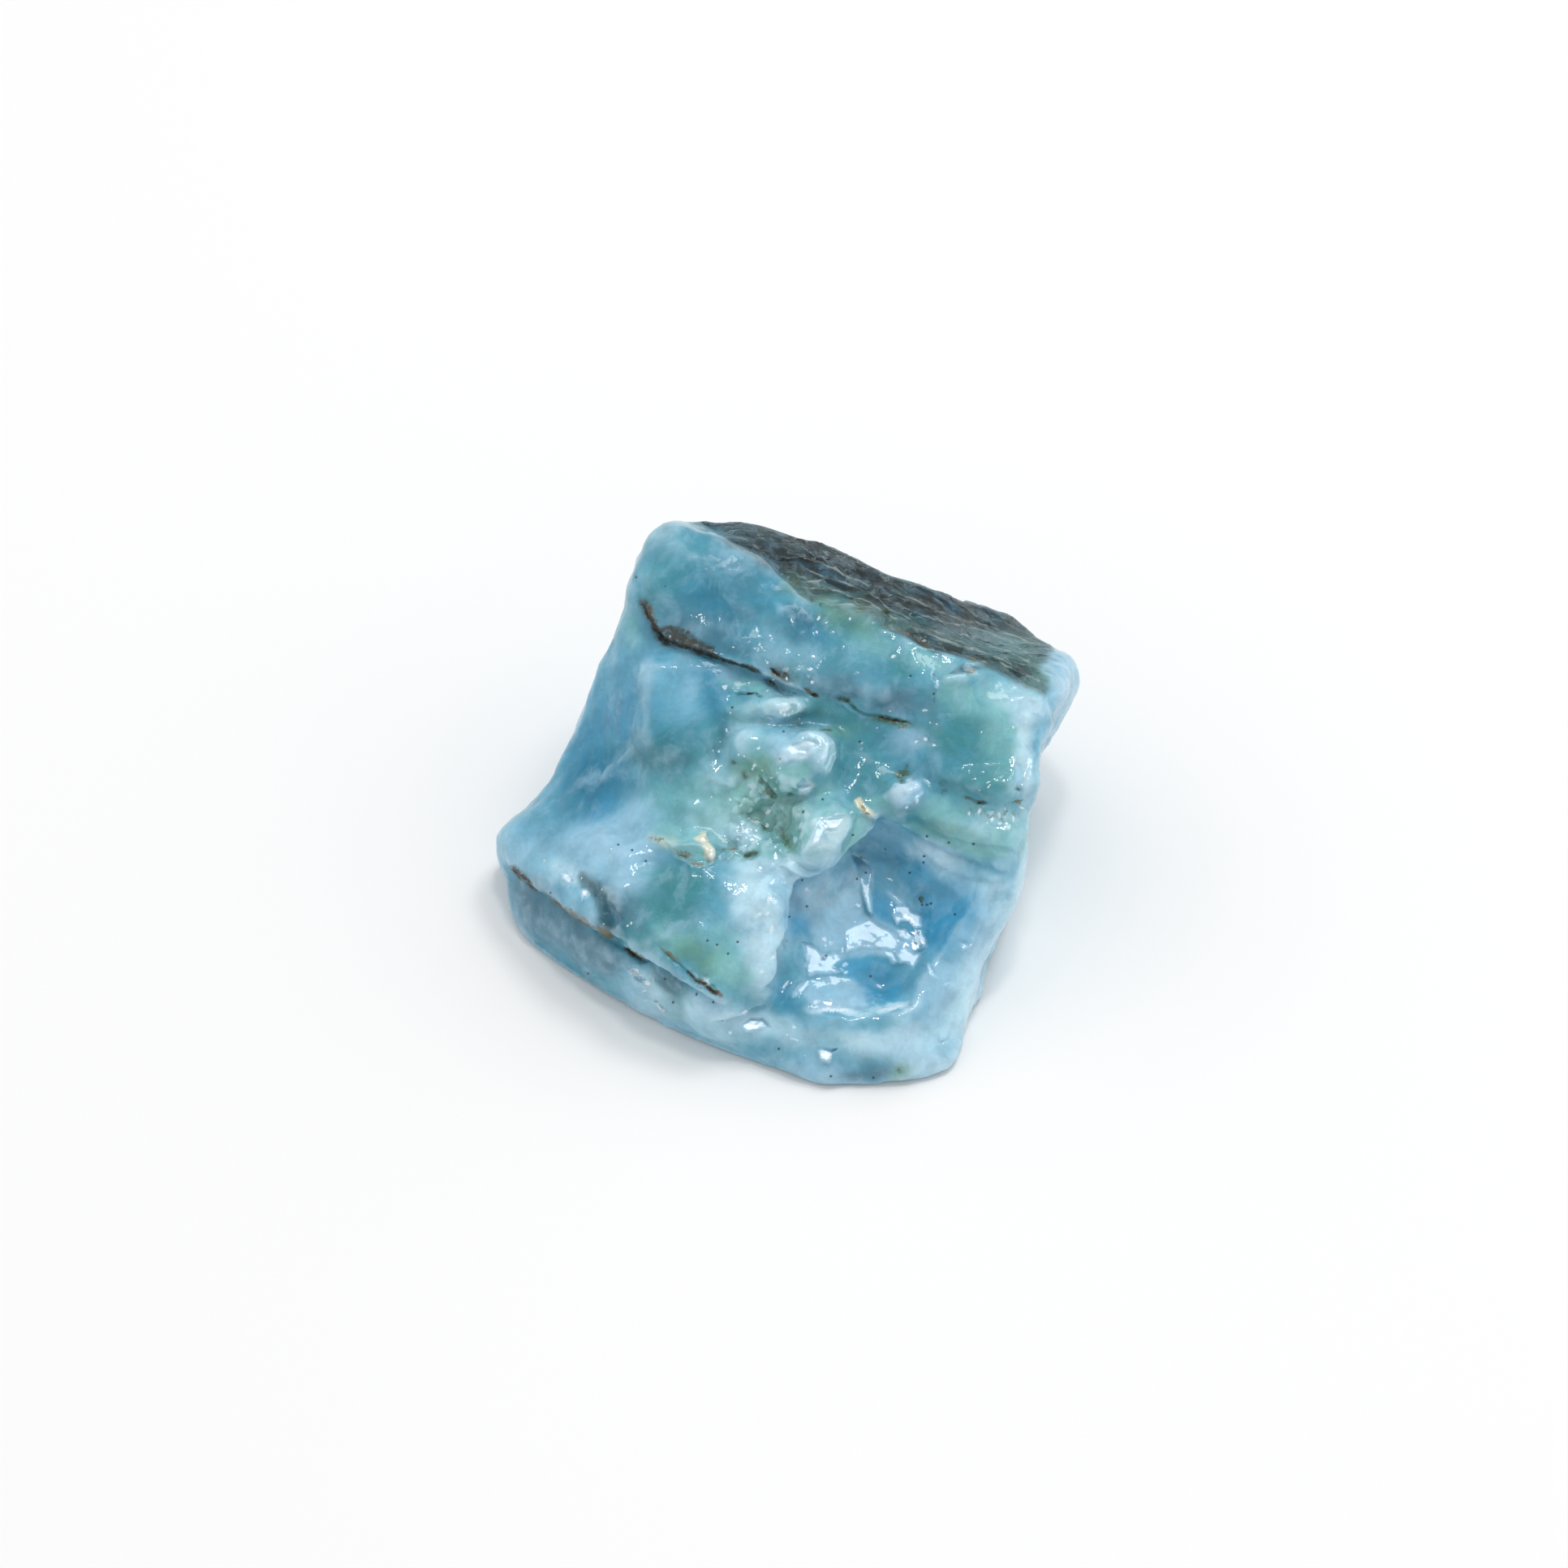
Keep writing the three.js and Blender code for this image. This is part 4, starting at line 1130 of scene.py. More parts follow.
def stains(tone: Tone, *rows: tuple[float, ...]) -> tuple[Stain, ...]:
    """Makes oval stains of one tone.

    Args:
        tone: their colour.
        rows: u, v, half length, half width, turn, strength and, where given, crispness.

    Returns:
        One stain per row.
    """
    return tuple(Stain(tone, Patch(row[:2], row[2:4], row[4], *row[6:]), row[5]) for row in rows)


def wide_stain(tone: Tone, strength: float, soft: float, *corners: Spot) -> Stain:
    """Makes a stain of one tone inside an outline.

    Args:
        tone: its colour.
        strength: its weight against the others.
        soft: half width of its border, mm.
        corners: the outline's corners.

    Returns:
        The stain.
    """
    return Stain(tone, Area(Outline(corners), soft), strength)


STAINS = (
    # tone by tone, each from the matrix on the top down to the toe
    *stains(
        Tone.NIGHT, (6.2, 16.1, 3.0, 0.8, -24, 6.0), (3.2, 18.2, 2.0, 0.7, -20, 4.0),
        (11.2, 14.3, 2.2, 0.6, -18, 6.0), (1.6, 17.4, 1.6, 0.6, -24, 4.0), (-0.6, 18.0, 1.6, 0.6, -24, 3.0),
        (-1.6, 18.6, 1.6, 0.4, -24, 2.0), (10.4, 11.7, 1.2, 0.3, -20, 3.0), (12.4, 11.1, 1.4, 0.2, -20, 2.0),
        (16.8, 9.5, 0.6, 0.2, -26, 1.2),
    ),
    *stains(
        Tone.TEAL, (14.6, 11.0, 2.4, 0.6, -22, 2.4), (17.4, 9.8, 1.4, 0.7, -28, 3.0),
        (9.4, 13.0, 1.8, 0.6, -24, 1.4), (14.6, 11.9, 1.8, 0.6, -24, 1.6), (7.8, 13.6, 1.2, 0.5, -24, 1.8),
        (4.0, 13.6, 1.4, 0.9, -20, 1.5), (6.4, 13.4, 1.2, 0.5, -20, 1.4), (8.4, 10.2, 0.8, 0.7, 0, 1.4),
        (-9.0, 17.4, 3.4, 2.8, 0, 1.6), (-3.6, 14.0, 4.0, 3.0, -30, 1.0), (1.4, 11.6, 3.0, 1.6, -26, 0.8),
        (6.6, 10.6, 3.0, 2.0, -20, 0.6), (-8.4, 3.8, 2.2, 1.4, 0, 4.4), (-12.4, 3.9, 0.9, 0.7, 0, 1.2),
        # (-4.9, 5.4) is painted shade beside the boulder's upper-left edge
        (-4.9, 5.4, 0.6, 1.2, 0, 1.0), (-8.0, -0.2, 0.9, 1.0, 0, 1.3), (-6.0, -1.0, 0.4, 1.0, 30, 1.6),
        (3.6, 6.3, 1.8, 0.6, -10, 2.4), (7.6, 5.9, 1.3, 0.35, -10, 2.0), (-2.8, 6.05, 1.2, 0.22, 4, 1.4),
        (1.7, 6.6, 1.5, 0.9, -6, 2.6), (-5.2, 4.0, 0.8, 1.6, 0, 1.6), (5.2, 3.4, 1.6, 1.8, 0, 2.4),
        (6.6, 1.4, 1.6, 1.0, 0, 1.6), (9.0, -0.9, 1.8, 0.6, -20, 1.4), (12.6, 4.9, 1.7, 1.6, 20, 3.6),
        (13.6, 2.2, 2.2, 1.4, 0, 1.4), (15.2, 1.8, 1.4, 1.0, 0, 1.8), (-8.2, -5.4, 1.4, 0.8, 0, 3.0),
        (-6.9, -6.8, 1.1, 1.6, 0, 2.6), (-9.0, -7.6, 1.6, 1.2, -30, 2.0), (-10.8, -9.8, 1.4, 0.7, -25, 1.8),
        (-8.2, -14.6, 0.9, 1.0, 0, 2.2),
    ),
    *stains(
        Tone.SEA, (18.3, 9.0, 0.9, 0.7, -28, 4.0), (15.6, 11.6, 2.0, 0.6, -22, 2.4),
        (15.2, 12.2, 1.6, 0.5, -24, 1.6), (12.8, 12.2, 1.6, 0.5, -20, 1.6), (17.9, 11.4, 1.2, 0.8, -30, 2.2),
        (18.2, 9.8, 0.7, 0.9, 0, 2.2), (7.6, 13.0, 1.4, 0.3, -18, 1.6), (6.0, 11.6, 1.6, 0.8, -20, 0.9),
        (10.4, 10.4, 1.4, 0.6, -20, 1.3), (-11.2, 12.6, 0.7, 1.2, 10, 1.2), (-8.4, 0.6, 1.6, 1.2, 0, 1.1),
        (-6.6, 1.6, 1.4, 0.9, 0, 1.2), (-7.6, -2.4, 1.8, 0.7, -4, 2.0), (-2.9, 6.8, 1.0, 0.8, 0, 1.8),
        (-0.6, 7.0, 1.6, 0.7, 0, 1.6), (-3.0, 8.6, 1.4, 0.4, -10, 1.4), (2.9, 1.0, 0.8, 1.4, -14, 2.4),
    ),
    wide_stain(
        Tone.SEA, 3.6, 0.4, (-0.6, 2.4), (0.2, 2.8), (1.6, 2.8), (1.8, 2.2), (0.8, 1.6), (0.4, 0.9),
        (-0.4, 1.0),
    ),
    *stains(
        Tone.SEA, (0.6, 2.0, 0.9, 0.8, 0, 1.2), (-0.6, -0.4, 1.8, 1.6, 0, 1.6), (-2.6, 0.4, 1.6, 1.4, 0, 2.0),
        (-2.2, 0.9, 1.4, 0.8, -20, 2.4), (-2.6, 4.2, 1.0, 1.2, 0, 2.6), (-5.4, 1.8, 1.2, 1.4, 0, 1.6),
        (-4.6, -0.8, 1.8, 1.2, -10, 2.6), (2.4, 0.4, 0.9, 1.0, 0, 1.4), (-1.6, -3.4, 1.8, 0.6, 0, 1.8),
        (1.4, -1.6, 0.6, 1.2, 0, 2.4), (3.4, -0.5, 1.2, 0.4, 0, 1.6), (3.2, -2.6, 2.2, 1.8, 30, 1.2),
    ),
    wide_stain(
        Tone.SEA, 3.4, 0.16, (5.0, -0.9), (6.4, -0.9), (5.9, -2.0), (5.1, -3.2), (4.2, -3.9), (4.1, -3.4),
        (4.6, -2.3),
    ),
    wide_stain(Tone.SEA, 2.4, 0.2, (-8.6, -2.8), (-6.2, -3.1), (-5.4, -4.4), (-6.8, -4.4), (-8.0, -3.9)),
    *stains(
        Tone.SEA, (6.8, -0.2, 1.0, 0.7, -20, 1.6), (13.4, 7.8, 2.2, 1.2, -12, 2.0),
        (15.6, 5.0, 1.2, 2.0, 0, 1.8), (16.0, 1.6, 1.0, 1.6, 0, 0.8), (12.4, -0.8, 1.8, 0.9, -10, 2.6),
        (15.6, -2.4, 2.2, 1.0, -4, 2.0), (9.6, -1.8, 1.6, 0.3, -24, 1.4), (-8.4, -9.6, 1.2, 0.9, -20, 1.4),
        (-4.4, -11.6, 1.2, 0.9, -20, 2.4), (-5.0, -9.8, 1.2, 1.0, 0, 1.6), (-4.2, -12.4, 1.2, 0.9, -20, 1.8),
        (13.4, -3.2, 1.8, 0.4, -10, 2.0), (12.4, -14.6, 0.5, 1.4, -24, 1.2),
    ),
    *stains(
        Tone.SLATE, (8.8, 16.2, 1.6, 0.8, -24, 2.0), (-3.6, 19.6, 1.6, 0.7, -24, 2.0),
        (19.4, 10.0, 0.9, 1.4, 10, 1.4), (-8.6, 14.2, 1.8, 1.3, -30, 0.8), (-6.2, 12.8, 1.5, 1.1, -20, 2.4),
        (-3.4, 11.6, 1.8, 0.7, -22, 1.6), (3.4, 15.2, 2.0, 0.6, -12, 1.8), (4.7, 8.7, 1.1, 0.8, 0, 2.2),
        (7.9, 7.5, 1.3, 0.9, -12, 2.2), (2.6, 8.8, 1.4, 0.8, -10, 1.4), (-6.4, 13.2, 2.4, 1.2, -26, 1.2),
        (-4.0, 16.6, 2.6, 2.4, -30, 0.6), (-8.6, 3.4, 1.8, 1.0, 0, 1.0), (-11.4, -7.6, 1.2, 0.8, -50, 1.8),
        (-18.6, -7.4, 1.2, 1.6, 20, 3.0), (-15.6, -9.8, 2.4, 1.0, -38, 3.2),
        (-13.6, -11.2, 1.4, 0.8, -30, 2.4), (7.0, -2.4, 0.9, 0.9, -30, 1.6), (5.6, -19.7, 1.2, 0.4, 4, 3.4),
    ),
    *stains(Tone.IRON, (0.6, 17.4, 1.8, 0.8, -24, 1.0), (4.4, 14.7, 3.0, 0.7, -22, 2.4)),
    *stains(
        Tone.TAUPE, (13.8, 13.4, 1.8, 0.6, -16, 3.0), (13.0, 12.7, 1.8, 0.7, -16, 4.0),
        (16.6, 12.6, 2.4, 0.4, -26, 2.0), (-0.4, 9.4, 0.9, 0.7, -30, 1.2),
    ),
    *stains(
        Tone.HAZE, (15.5, 11.9, 1.6, 0.6, -20, 4.6), (12.6, 12.9, 1.8, 0.5, -18, 2.0),
        (19.9, 10.2, 0.8, 1.6, 10, 3.0), (-0.7, 12.4, 1.0, 1.4, 20, 1.4), (-1.0, 10.8, 1.0, 0.8, 0, 1.2),
        (1.6, 11.2, 1.2, 0.9, 10, 1.4), (-7.2, 9.0, 0.7, 1.6, 0, 1.0), (-4.4, 9.6, 0.9, 0.5, -20, 1.4),
        (-10.6, -0.8, 1.0, 1.4, 20, 0.8), (-2.2, 7.0, 1.0, 0.6, 0, 1.8), (-5.0, 2.4, 1.2, 1.3, 0, 2.0),
        (8.4, 4.4, 0.9, 0.6, 30, 1.6), (9.8, 4.6, 0.9, 0.6, 0, 1.4),
    ),
    wide_stain(
        Tone.HAZE, 1.8, 0.5, (7.8, 1.4), (9.1, 1.9), (9.9, 1.5), (10.0, 0.8), (9.5, 0.1), (9.0, -0.2),
        (7.8, 0.0),
    ),
    *stains(
        Tone.HAZE, (20.0, 8.2, 0.8, 2.0, 0, 2.0), (-13.4, -3.0, 2.8, 1.5, -10, 3.4),
        (-18.8, -3.2, 1.6, 1.2, 0, 1.6), (-11.4, -5.2, 1.4, 1.2, -30, 2.0), (-5.4, -15.0, 1.6, 0.7, -20, 2.2),
        (10.8, -3.4, 1.6, 0.4, -14, 2.4), (11.6, -4.9, 1.3, 0.5, -14, 2.6), (15.6, -6.6, 1.0, 0.9, 20, 1.6),
    ),
    wide_stain(
        Tone.HAZE, 2.4, 0.4, (2.2, -7.6), (4.6, -6.8), (5.4, -7.8), (5.0, -8.8), (4.2, -9.6), (3.8, -10.8),
        (2.4, -10.6), (1.9, -9.2),
    ),
    # painted reflection: the milky sheen on the hollow's middle mirror facet
    wide_stain(
        Tone.HAZE, 2.6, 0.35, (4.1, -10.6), (4.6, -9.1), (6.2, -8.1), (8.3, -9.4), (9.4, -10.6), (9.4, -11.4),
        (8.2, -11.2), (6.4, -10.9), (3.6, -11.3),
    ),
    wide_stain(
        Tone.HAZE, 4.0, 0.25, (1.8, -12.9), (3.2, -12.7), (5.0, -12.9), (5.7, -13.6), (5.9, -14.8),
        (2.4, -14.9), (1.4, -14.0),
    ),
    *stains(
        Tone.HAZE, (10.6, -13.6, 1.2, 1.2, 30, 2.0), (6.9, -1.9, 0.8, 0.7, -30, 4.0),
        (14.0, -11.0, 1.6, 3.0, -24, 1.6), (11.8, -14.2, 1.6, 2.0, -24, 1.6), (3.0, -6.2, 2.2, 1.0, 25, 3.6),
        (13.4, -10.0, 1.6, 2.4, -20, 1.4), (2.6, -19.4, 2.2, 0.8, -10, 1.6), (8.6, -17.8, 1.4, 1.2, 0, 1.6),
    ),
    *stains(
        Tone.SKY, (19.6, 10.4, 1.0, 1.6, 10, 2.0), (-10.6, 17.0, 0.9, 2.4, -18, 1.4),
        (-3.6, 15.8, 1.1, 1.4, 10, 1.1), (-4.4, 17.6, 2.2, 1.0, -30, 1.0), (-2.4, 12.6, 1.6, 1.0, -30, 1.0),
        (1.4, 14.2, 1.0, 0.7, -40, 0.9), (6.2, 9.4, 1.1, 1.6, 0, 1.0), (-16.8, 1.6, 0.5, 1.8, -30, 2.4),
        (-12.8, 9.6, 0.9, 2.6, -26, 1.2), (-15.2, 6.0, 0.8, 3.0, -30, 0.9), (-10.2, 9.4, 0.8, 1.6, 10, 1.0),
        (-8.6, 9.4, 1.4, 1.4, 0, 2.4), (-7.8, 6.6, 1.8, 1.6, 0, 0.9),
    ),
    wide_stain(
        Tone.SKY, 2.4, 0.4, (-4.0, 4.4), (-3.7, 5.3), (-2.8, 5.8), (-1.7, 5.4), (0.2, 5.3), (1.8, 5.1),
        (1.0, 4.2), (-0.6, 3.8), (-2.0, 3.6), (-3.9, 3.4),
    ),
    *stains(
        Tone.SKY, (2.6, 2.0, 0.7, 1.2, -10, 1.6), (2.75, -2.1, 0.13, 0.7, 30, 3.0, 3),
        (3.3, -2.5, 0.12, 0.6, 50, 3.0, 3), (19.0, 4.4, 0.4, 2.0, -8, 1.4), (-19.6, -3.0, 1.0, 1.2, 0, 1.4),
        (-18.0, -3.8, 1.4, 0.8, -30, 1.0), (-15.0, -7.0, 1.6, 0.8, -40, 1.6), (-6.0, -8.0, 0.8, 0.8, 0, 1.2),
        (-11.4, -13.4, 1.2, 0.9, -30, 1.8), (-6.4, -16.2, 1.6, 0.6, -14, 1.4),
        (14.2, -4.8, 2.0, 0.6, -10, 1.8), (3.4, -6.6, 1.3, 0.8, 20, 1.8), (12.2, -10.6, 1.6, 0.8, 20, 1.4),
        (3.2, -13.4, 1.6, 0.8, 0, 2.2), (9.0, -13.2, 1.0, 0.9, 20, 2.0), (8.0, -6.0, 1.4, 1.2, 0, 5.0),
        (7.2, -2.2, 1.4, 0.9, -30, 5.0), (7.6, -4.4, 2.0, 1.2, -20, 2.6), (9.8, -6.6, 1.6, 1.4, -20, 2.6),
        (13.1, -7.7, 1.2, 1.2, 0, 2.0), (1.9, -13.0, 1.0, 0.8, 0, 1.2), (3.0, -16.2, 3.0, 0.5, 0, 1.8),
        (0.6, -17.0, 2.0, 0.6, -10, 1.2), (10.8, -18.6, 1.0, 1.4, -20, 1.6),
    ),
    *stains(
        Tone.GREEN, (3.0, 15.2, 2.0, 0.7, -14, 2.4), (6.0, 14.2, 1.8, 0.6, -24, 2.4),
        (0.8, 16.2, 1.0, 0.4, -26, 2.0), (4.4, 13.8, 1.8, 1.0, -22, 3.4), (4.2, 5.4, 1.4, 0.5, -10, 1.6),
        (-2.8, 2.6, 0.9, 1.0, -20, 3.0), (-1.6, 2.6, 0.7, 1.0, 0, 2.0), (-1.4, -0.4, 1.5, 1.4, 0, 1.2),
        (2.6, 6.4, 1.2, 0.5, -6, 1.0), (-1.4, 1.0, 0.9, 0.5, -40, 1.8), (-2.6, -0.6, 1.0, 0.7, 0, 1.6),
        (1.2, -0.3, 0.7, 0.45, 0, 1.6, 3), (0.1, -1.2, 0.8, 1.0, 0, 2.2), (0.2, -2.6, 0.4, 0.9, 15, 4.0, 3),
        (12.6, -2.1, 2.0, 0.5, -10, 1.4), (-6.6, -10.8, 1.5, 0.9, -30, 2.2), (8.4, -19.6, 0.6, 0.5, 0, 2.6),
    ),
    # darkest teal: painted shade between the knob and the boulder, beside the boulder's upper-left edge,
    # in the flank's fold, on the shoulder's end wall, in the dent beside it and under the lower ledge;
    # the other rows darken the band, the left plate's lower edge, the matrix's border and the block's top
    *stains(
        Tone.DUSK, (5.4, 13.9, 1.8, 0.5, -22, 2.0), (4.3, 13.2, 1.0, 0.5, -22, 1.2),
        (-4.0, 14.6, 1.8, 2.0, -10, 2.6), (1.0, 13.0, 1.2, 0.9, 0, 4.2), (-14.4, 2.0, 1.4, 2.0, -30, 4.4),
        (-8.6, 3.6, 1.4, 0.9, 0, 3.0), (1.9, 6.4, 0.7, 0.6, 0, 2.2), (0.9, 5.85, 1.0, 0.3, -8, 1.6),
        (-4.7, 5.0, 0.3, 1.2, -16, 1.6),
    ),
    wide_stain(Tone.DUSK, 2.4, 0.15, (12.0, 9.5), (12.9, 10.1), (14.2, 9.9), (13.3, 9.5)),
    wide_stain(
        Tone.DUSK, 9.0, 0.5, (-14.9, -5.3), (-14.0, -5.8), (-12.9, -6.8), (-12.3, -7.5), (-12.3, -8.8),
        (-12.8, -9.4), (-13.2, -8.6), (-13.3, -7.6), (-13.9, -6.6), (-14.6, -6.0),
    ),
    *stains(Tone.DUSK, (-12.9, -7.9, 0.7, 1.3, 20, 4.0), (-8.6, -13.2, 1.3, 0.5, -34, 2.8)),
    *stains(
        Tone.LAGOON, (-7.6, 18.8, 3.6, 1.6, 8, 1.6), (-8.6, 16.2, 2.2, 1.6, 0, 1.2),
        (-2.4, 15.2, 1.0, 1.6, 0, 1.2), (-0.6, 14.6, 1.2, 1.0, -40, 1.0), (4.4, 10.4, 1.4, 0.9, 0, 1.2),
        (9.6, 8.6, 1.0, 1.4, 0, 1.0), (-8.6, 1.4, 2.0, 1.2, 0, 1.0), (-17.8, -0.6, 1.6, 0.9, 40, 1.2),
        (-6.4, 4.8, 1.4, 1.2, 0, 1.5), (-7.4, 2.6, 1.4, 0.6, -10, 1.2), (-4.2, 7.4, 0.6, 0.6, 0, 1.4),
        (-3.2, 7.0, 0.9, 0.6, 0, 2.4), (3.2, 0.6, 0.9, 1.2, 0, 1.4), (6.0, 3.0, 2.0, 2.0, 0, 1.0),
        (6.6, 4.2, 1.6, 1.0, 0, 1.2), (11.0, 3.0, 0.9, 1.2, 0, 1.0), (-16.8, -2.0, 0.5, 2.0, -40, 1.3),
        (-4.8, -6.2, 1.0, 1.6, 0, 1.5), (-15.0, -12.0, 2.4, 0.5, -34, 1.2),
        (-10.4, -14.6, 1.4, 0.6, -24, 1.2), (-3.4, -16.8, 1.8, 0.7, -14, 1.2), (0.4, -11.8, 0.8, 1.6, 0, 1.8),
        (7.4, -12.6, 1.8, 1.2, 0, 2.0), (6.8, -15.9, 1.4, 0.4, 0, 1.2), (-1.0, -18.2, 1.2, 0.6, -20, 1.4),
    ),
    *stains(
        Tone.DEEP, (-6.2, 15.4, 1.4, 2.2, 14, 1.5), (-4.0, 13.8, 1.2, 1.3, 0, 1.6),
        (0.9, 12.9, 0.9, 0.9, 0, 1.8), (2.4, 12.2, 0.8, 1.0, 0, 1.5), (-4.6, 14.6, 3.0, 2.8, -30, 2.0),
        (1.4, 12.8, 2.4, 1.0, -30, 1.2), (-13.6, 5.0, 2.0, 6.0, -24, 2.4), (-14.6, 1.8, 1.4, 1.8, -30, 3.0),
        (-12.4, 6.6, 1.1, 1.4, 0, 1.6), (-13.2, 3.8, 1.6, 1.6, 0, 1.3), (-15.0, 1.6, 2.4, 1.4, 40, 1.2),
        (-5.8, 9.4, 0.9, 1.0, 0, 1.4), (-5.0, 7.2, 0.9, 1.8, 5, 1.8), (-9.0, 4.6, 1.4, 0.9, 0, 1.6),
        (-18.0, -2.2, 1.4, 0.4, 10, 1.5), (5.6, -4.2, 1.4, 0.8, 20, 3.0), (8.2, -3.9, 1.4, 0.9, -30, 3.0),
        (8.2, -5.6, 1.6, 1.0, -30, 2.0), (12.4, -6.4, 2.2, 0.6, -10, 1.4), (2.0, -5.8, 1.4, 0.4, 24, 1.6),
        (1.0, -7.2, 0.6, 1.0, -10, 1.8), (9.8, -7.0, 1.2, 1.4, -30, 1.8), (0.1, -14.2, 0.9, 0.5, -40, 2.4),
    ),
    *stains(
        Tone.POOL, (-14.4, 2.4, 1.4, 2.4, -30, 1.4), (-13.6, 0.0, 0.8, 1.2, -30, 1.6),
        (9.7, -5.2, 1.2, 0.9, -30, 2.8), (0.9, -8.8, 0.9, 0.7, 0, 2.0), (6.9, -7.2, 0.7, 1.2, 10, 3.2),
        (11.2, -9.0, 1.2, 1.4, -20, 2.2), (13.2, -7.8, 1.0, 1.3, 10, 3.6),
        (6.9, -13.0, 1.4, 1.1, -10, 4.6, 2.6), (5.6, -12.0, 1.3, 0.7, 0, 2.0), (12.4, -7.8, 1.8, 1.6, 0, 3.0),
        (3.0, -5.8, 2.0, 1.2, 25, 2.0),
    ),
    wide_stain(
        Tone.MILK, 1.2, 0.6, (-1.6, 6.3), (-1.4, 7.5), (-0.2, 7.9), (0.6, 7.9), (1.3, 7.5), (1.5, 6.9),
        (1.1, 6.4), (0.2, 6.2), (-0.9, 5.9),
    ),
    wide_stain(
        Tone.MILK, 1.8, 0.7, (-1.4, 5.0), (1.6, 5.2), (2.9, 5.0), (3.5, 4.4), (3.6, 3.4), (3.1, 2.4),
        (2.2, 2.8), (1.6, 3.4), (0.6, 3.0), (-0.6, 3.2), (-1.2, 4.2),
    ),
    *stains(
        Tone.MILK, (-3.0, 4.8, 1.1, 0.9, 20, 2.6), (-2.6, 1.6, 1.0, 0.5, -30, 0.8),
        (-3.9, 1.75, 0.6, 0.3, 35, 2.4, 3), (-4.6, -1.4, 2.2, 1.2, -10, 1.0),
        (-4.2, -1.0, 1.6, 1.0, -10, 1.0), (1.6, -0.9, 1.2, 0.8, 0, 1.6), (-3.0, -2.0, 0.9, 0.5, 0, 2.0),
        # the rows on the block's right edge, at u 17.4 and 18.3, are painted highlights
        (3.2, -3.9, 1.2, 0.6, 25, 3.0), (16.6, 7.4, 1.2, 0.8, -20, 1.4), (17.4, 5.6, 0.6, 1.6, -10, 3.4),
        (17.4, 2.2, 0.5, 2.0, 0, 2.6), (18.3, 7.0, 0.5, 0.6, 0, 3.0), (13.8, -1.8, 1.6, 0.7, -10, 1.6),
        (15.4, -1.0, 1.8, 0.5, 0, 1.2), (-16.2, -5.0, 1.4, 0.6, -30, 3.0), (-2.2, -7.2, 1.3, 2.6, 10, 4.0),
        (-1.4, -9.6, 1.0, 1.6, 10, 2.2), (-1.8, -12.2, 0.8, 1.4, 0, 2.0), (0.2, -4.6, 1.8, 0.7, 10, 2.6),
        # the rows at (4.0, -15.1) and (8.0, -14.9) are painted highlights along the hollow's floor ledge
        (4.0, -15.1, 2.0, 0.3, -4, 2.6, 3), (8.0, -14.9, 1.5, 0.3, 12, 2.2, 3),
        (-9.9, -14.2, 1.8, 1.0, -30, 3.6), (-5.2, -15.8, 2.0, 1.0, -20, 4.2),
        (-0.6, -16.6, 2.2, 0.8, -10, 2.6), (10.4, -19.0, 1.6, 1.4, 0, 2.8), (9.0, -17.2, 1.6, 1.0, 0, 1.6),
        (13.7, -14.2, 1.2, 1.6, -20, 3.0), (10.8, -3.9, 1.6, 0.7, -16, 5.0), (3.2, -6.2, 1.8, 1.0, 25, 9.0),
        (7.0, -2.0, 1.2, 0.8, -30, 2.0), (10.8, -4.1, 1.4, 0.5, -16, 2.0), (14.4, -6.6, 1.6, 1.2, -10, 2.4),
        (6.4, -17.4, 2.6, 0.8, -6, 2.0), (12.4, -15.6, 1.0, 2.4, -20, 2.4), (13.6, -12.4, 1.0, 2.0, -24, 2.0),
        (15.2, -9.4, 0.9, 2.2, -24, 2.0), (17.2, -6.4, 0.6, 2.4, -8, 2.4), (11.2, -20.2, 1.6, 0.7, 10, 2.0),
    ),
    # the knob's whitish top: partly its own colour, partly a painted highlight
    *stains(Tone.WHITE, (0.1, 6.9, 0.7, 0.35, 10, 0.8, 3)),
    # painted highlight: the bright white sheet on the boulder's top
    wide_stain(
        Tone.WHITE, 3.4, 0.12, (1.2, 4.6), (2.2, 4.4), (2.4, 4.1), (1.9, 3.8), (1.2, 3.2), (0.4, 3.1),
        (-0.5, 3.1), (0.0, 3.8),
    ),
    # painted highlights: two thin bright lines on the boulder's right rim and a bright spot on the inner dome
    *stains(
        Tone.WHITE, (2.78, 3.5, 0.11, 0.85, -24, 4.0, 3), (3.38, 2.95, 0.09, 0.8, -19, 3.0, 3),
        (1.35, 1.15, 0.5, 0.6, 0, 4.0, 3),
    ),
    # the pale facet's white: partly its own colour, partly a painted highlight
    wide_stain(
        Tone.WHITE, 1.6, 0.3, (2.0, -1.3), (2.9, -1.1), (4.2, -0.9), (4.7, -1.2), (4.3, -2.4), (3.7, -3.3),
        (2.8, -3.3), (1.2, -3.5), (1.8, -2.4),
    ),
    wide_stain(
        Tone.WHITE, 1.2, 0.2, (2.2, -1.4), (2.6, -1.2), (4.0, -1.4), (4.2, -2.0), (3.2, -2.2), (3.4, -3.0),
        (2.2, -3.0), (1.8, -3.2), (2.2, -2.2),
    ),
    wide_stain(
        Tone.CREAM, 6.0, 0.12, (5.0, 0.2), (5.4, 0.4), (5.8, -0.2), (6.7, -0.8), (6.2, -1.1), (5.7, -0.8),
        (5.3, -0.4),
    ),
    wide_stain(
        Tone.CREAM, 11.0, 0.14, (-6.6, -2.5), (-5.9, -2.1), (-5.7, -2.9), (-5.2, -3.4), (-5.3, -4.3),
        (-5.8, -3.9), (-6.1, -3.0),
    ),
    *stains(Tone.CREAM, (-8.9, -2.7, 1.0, 0.3, 0, 1.2)),
)

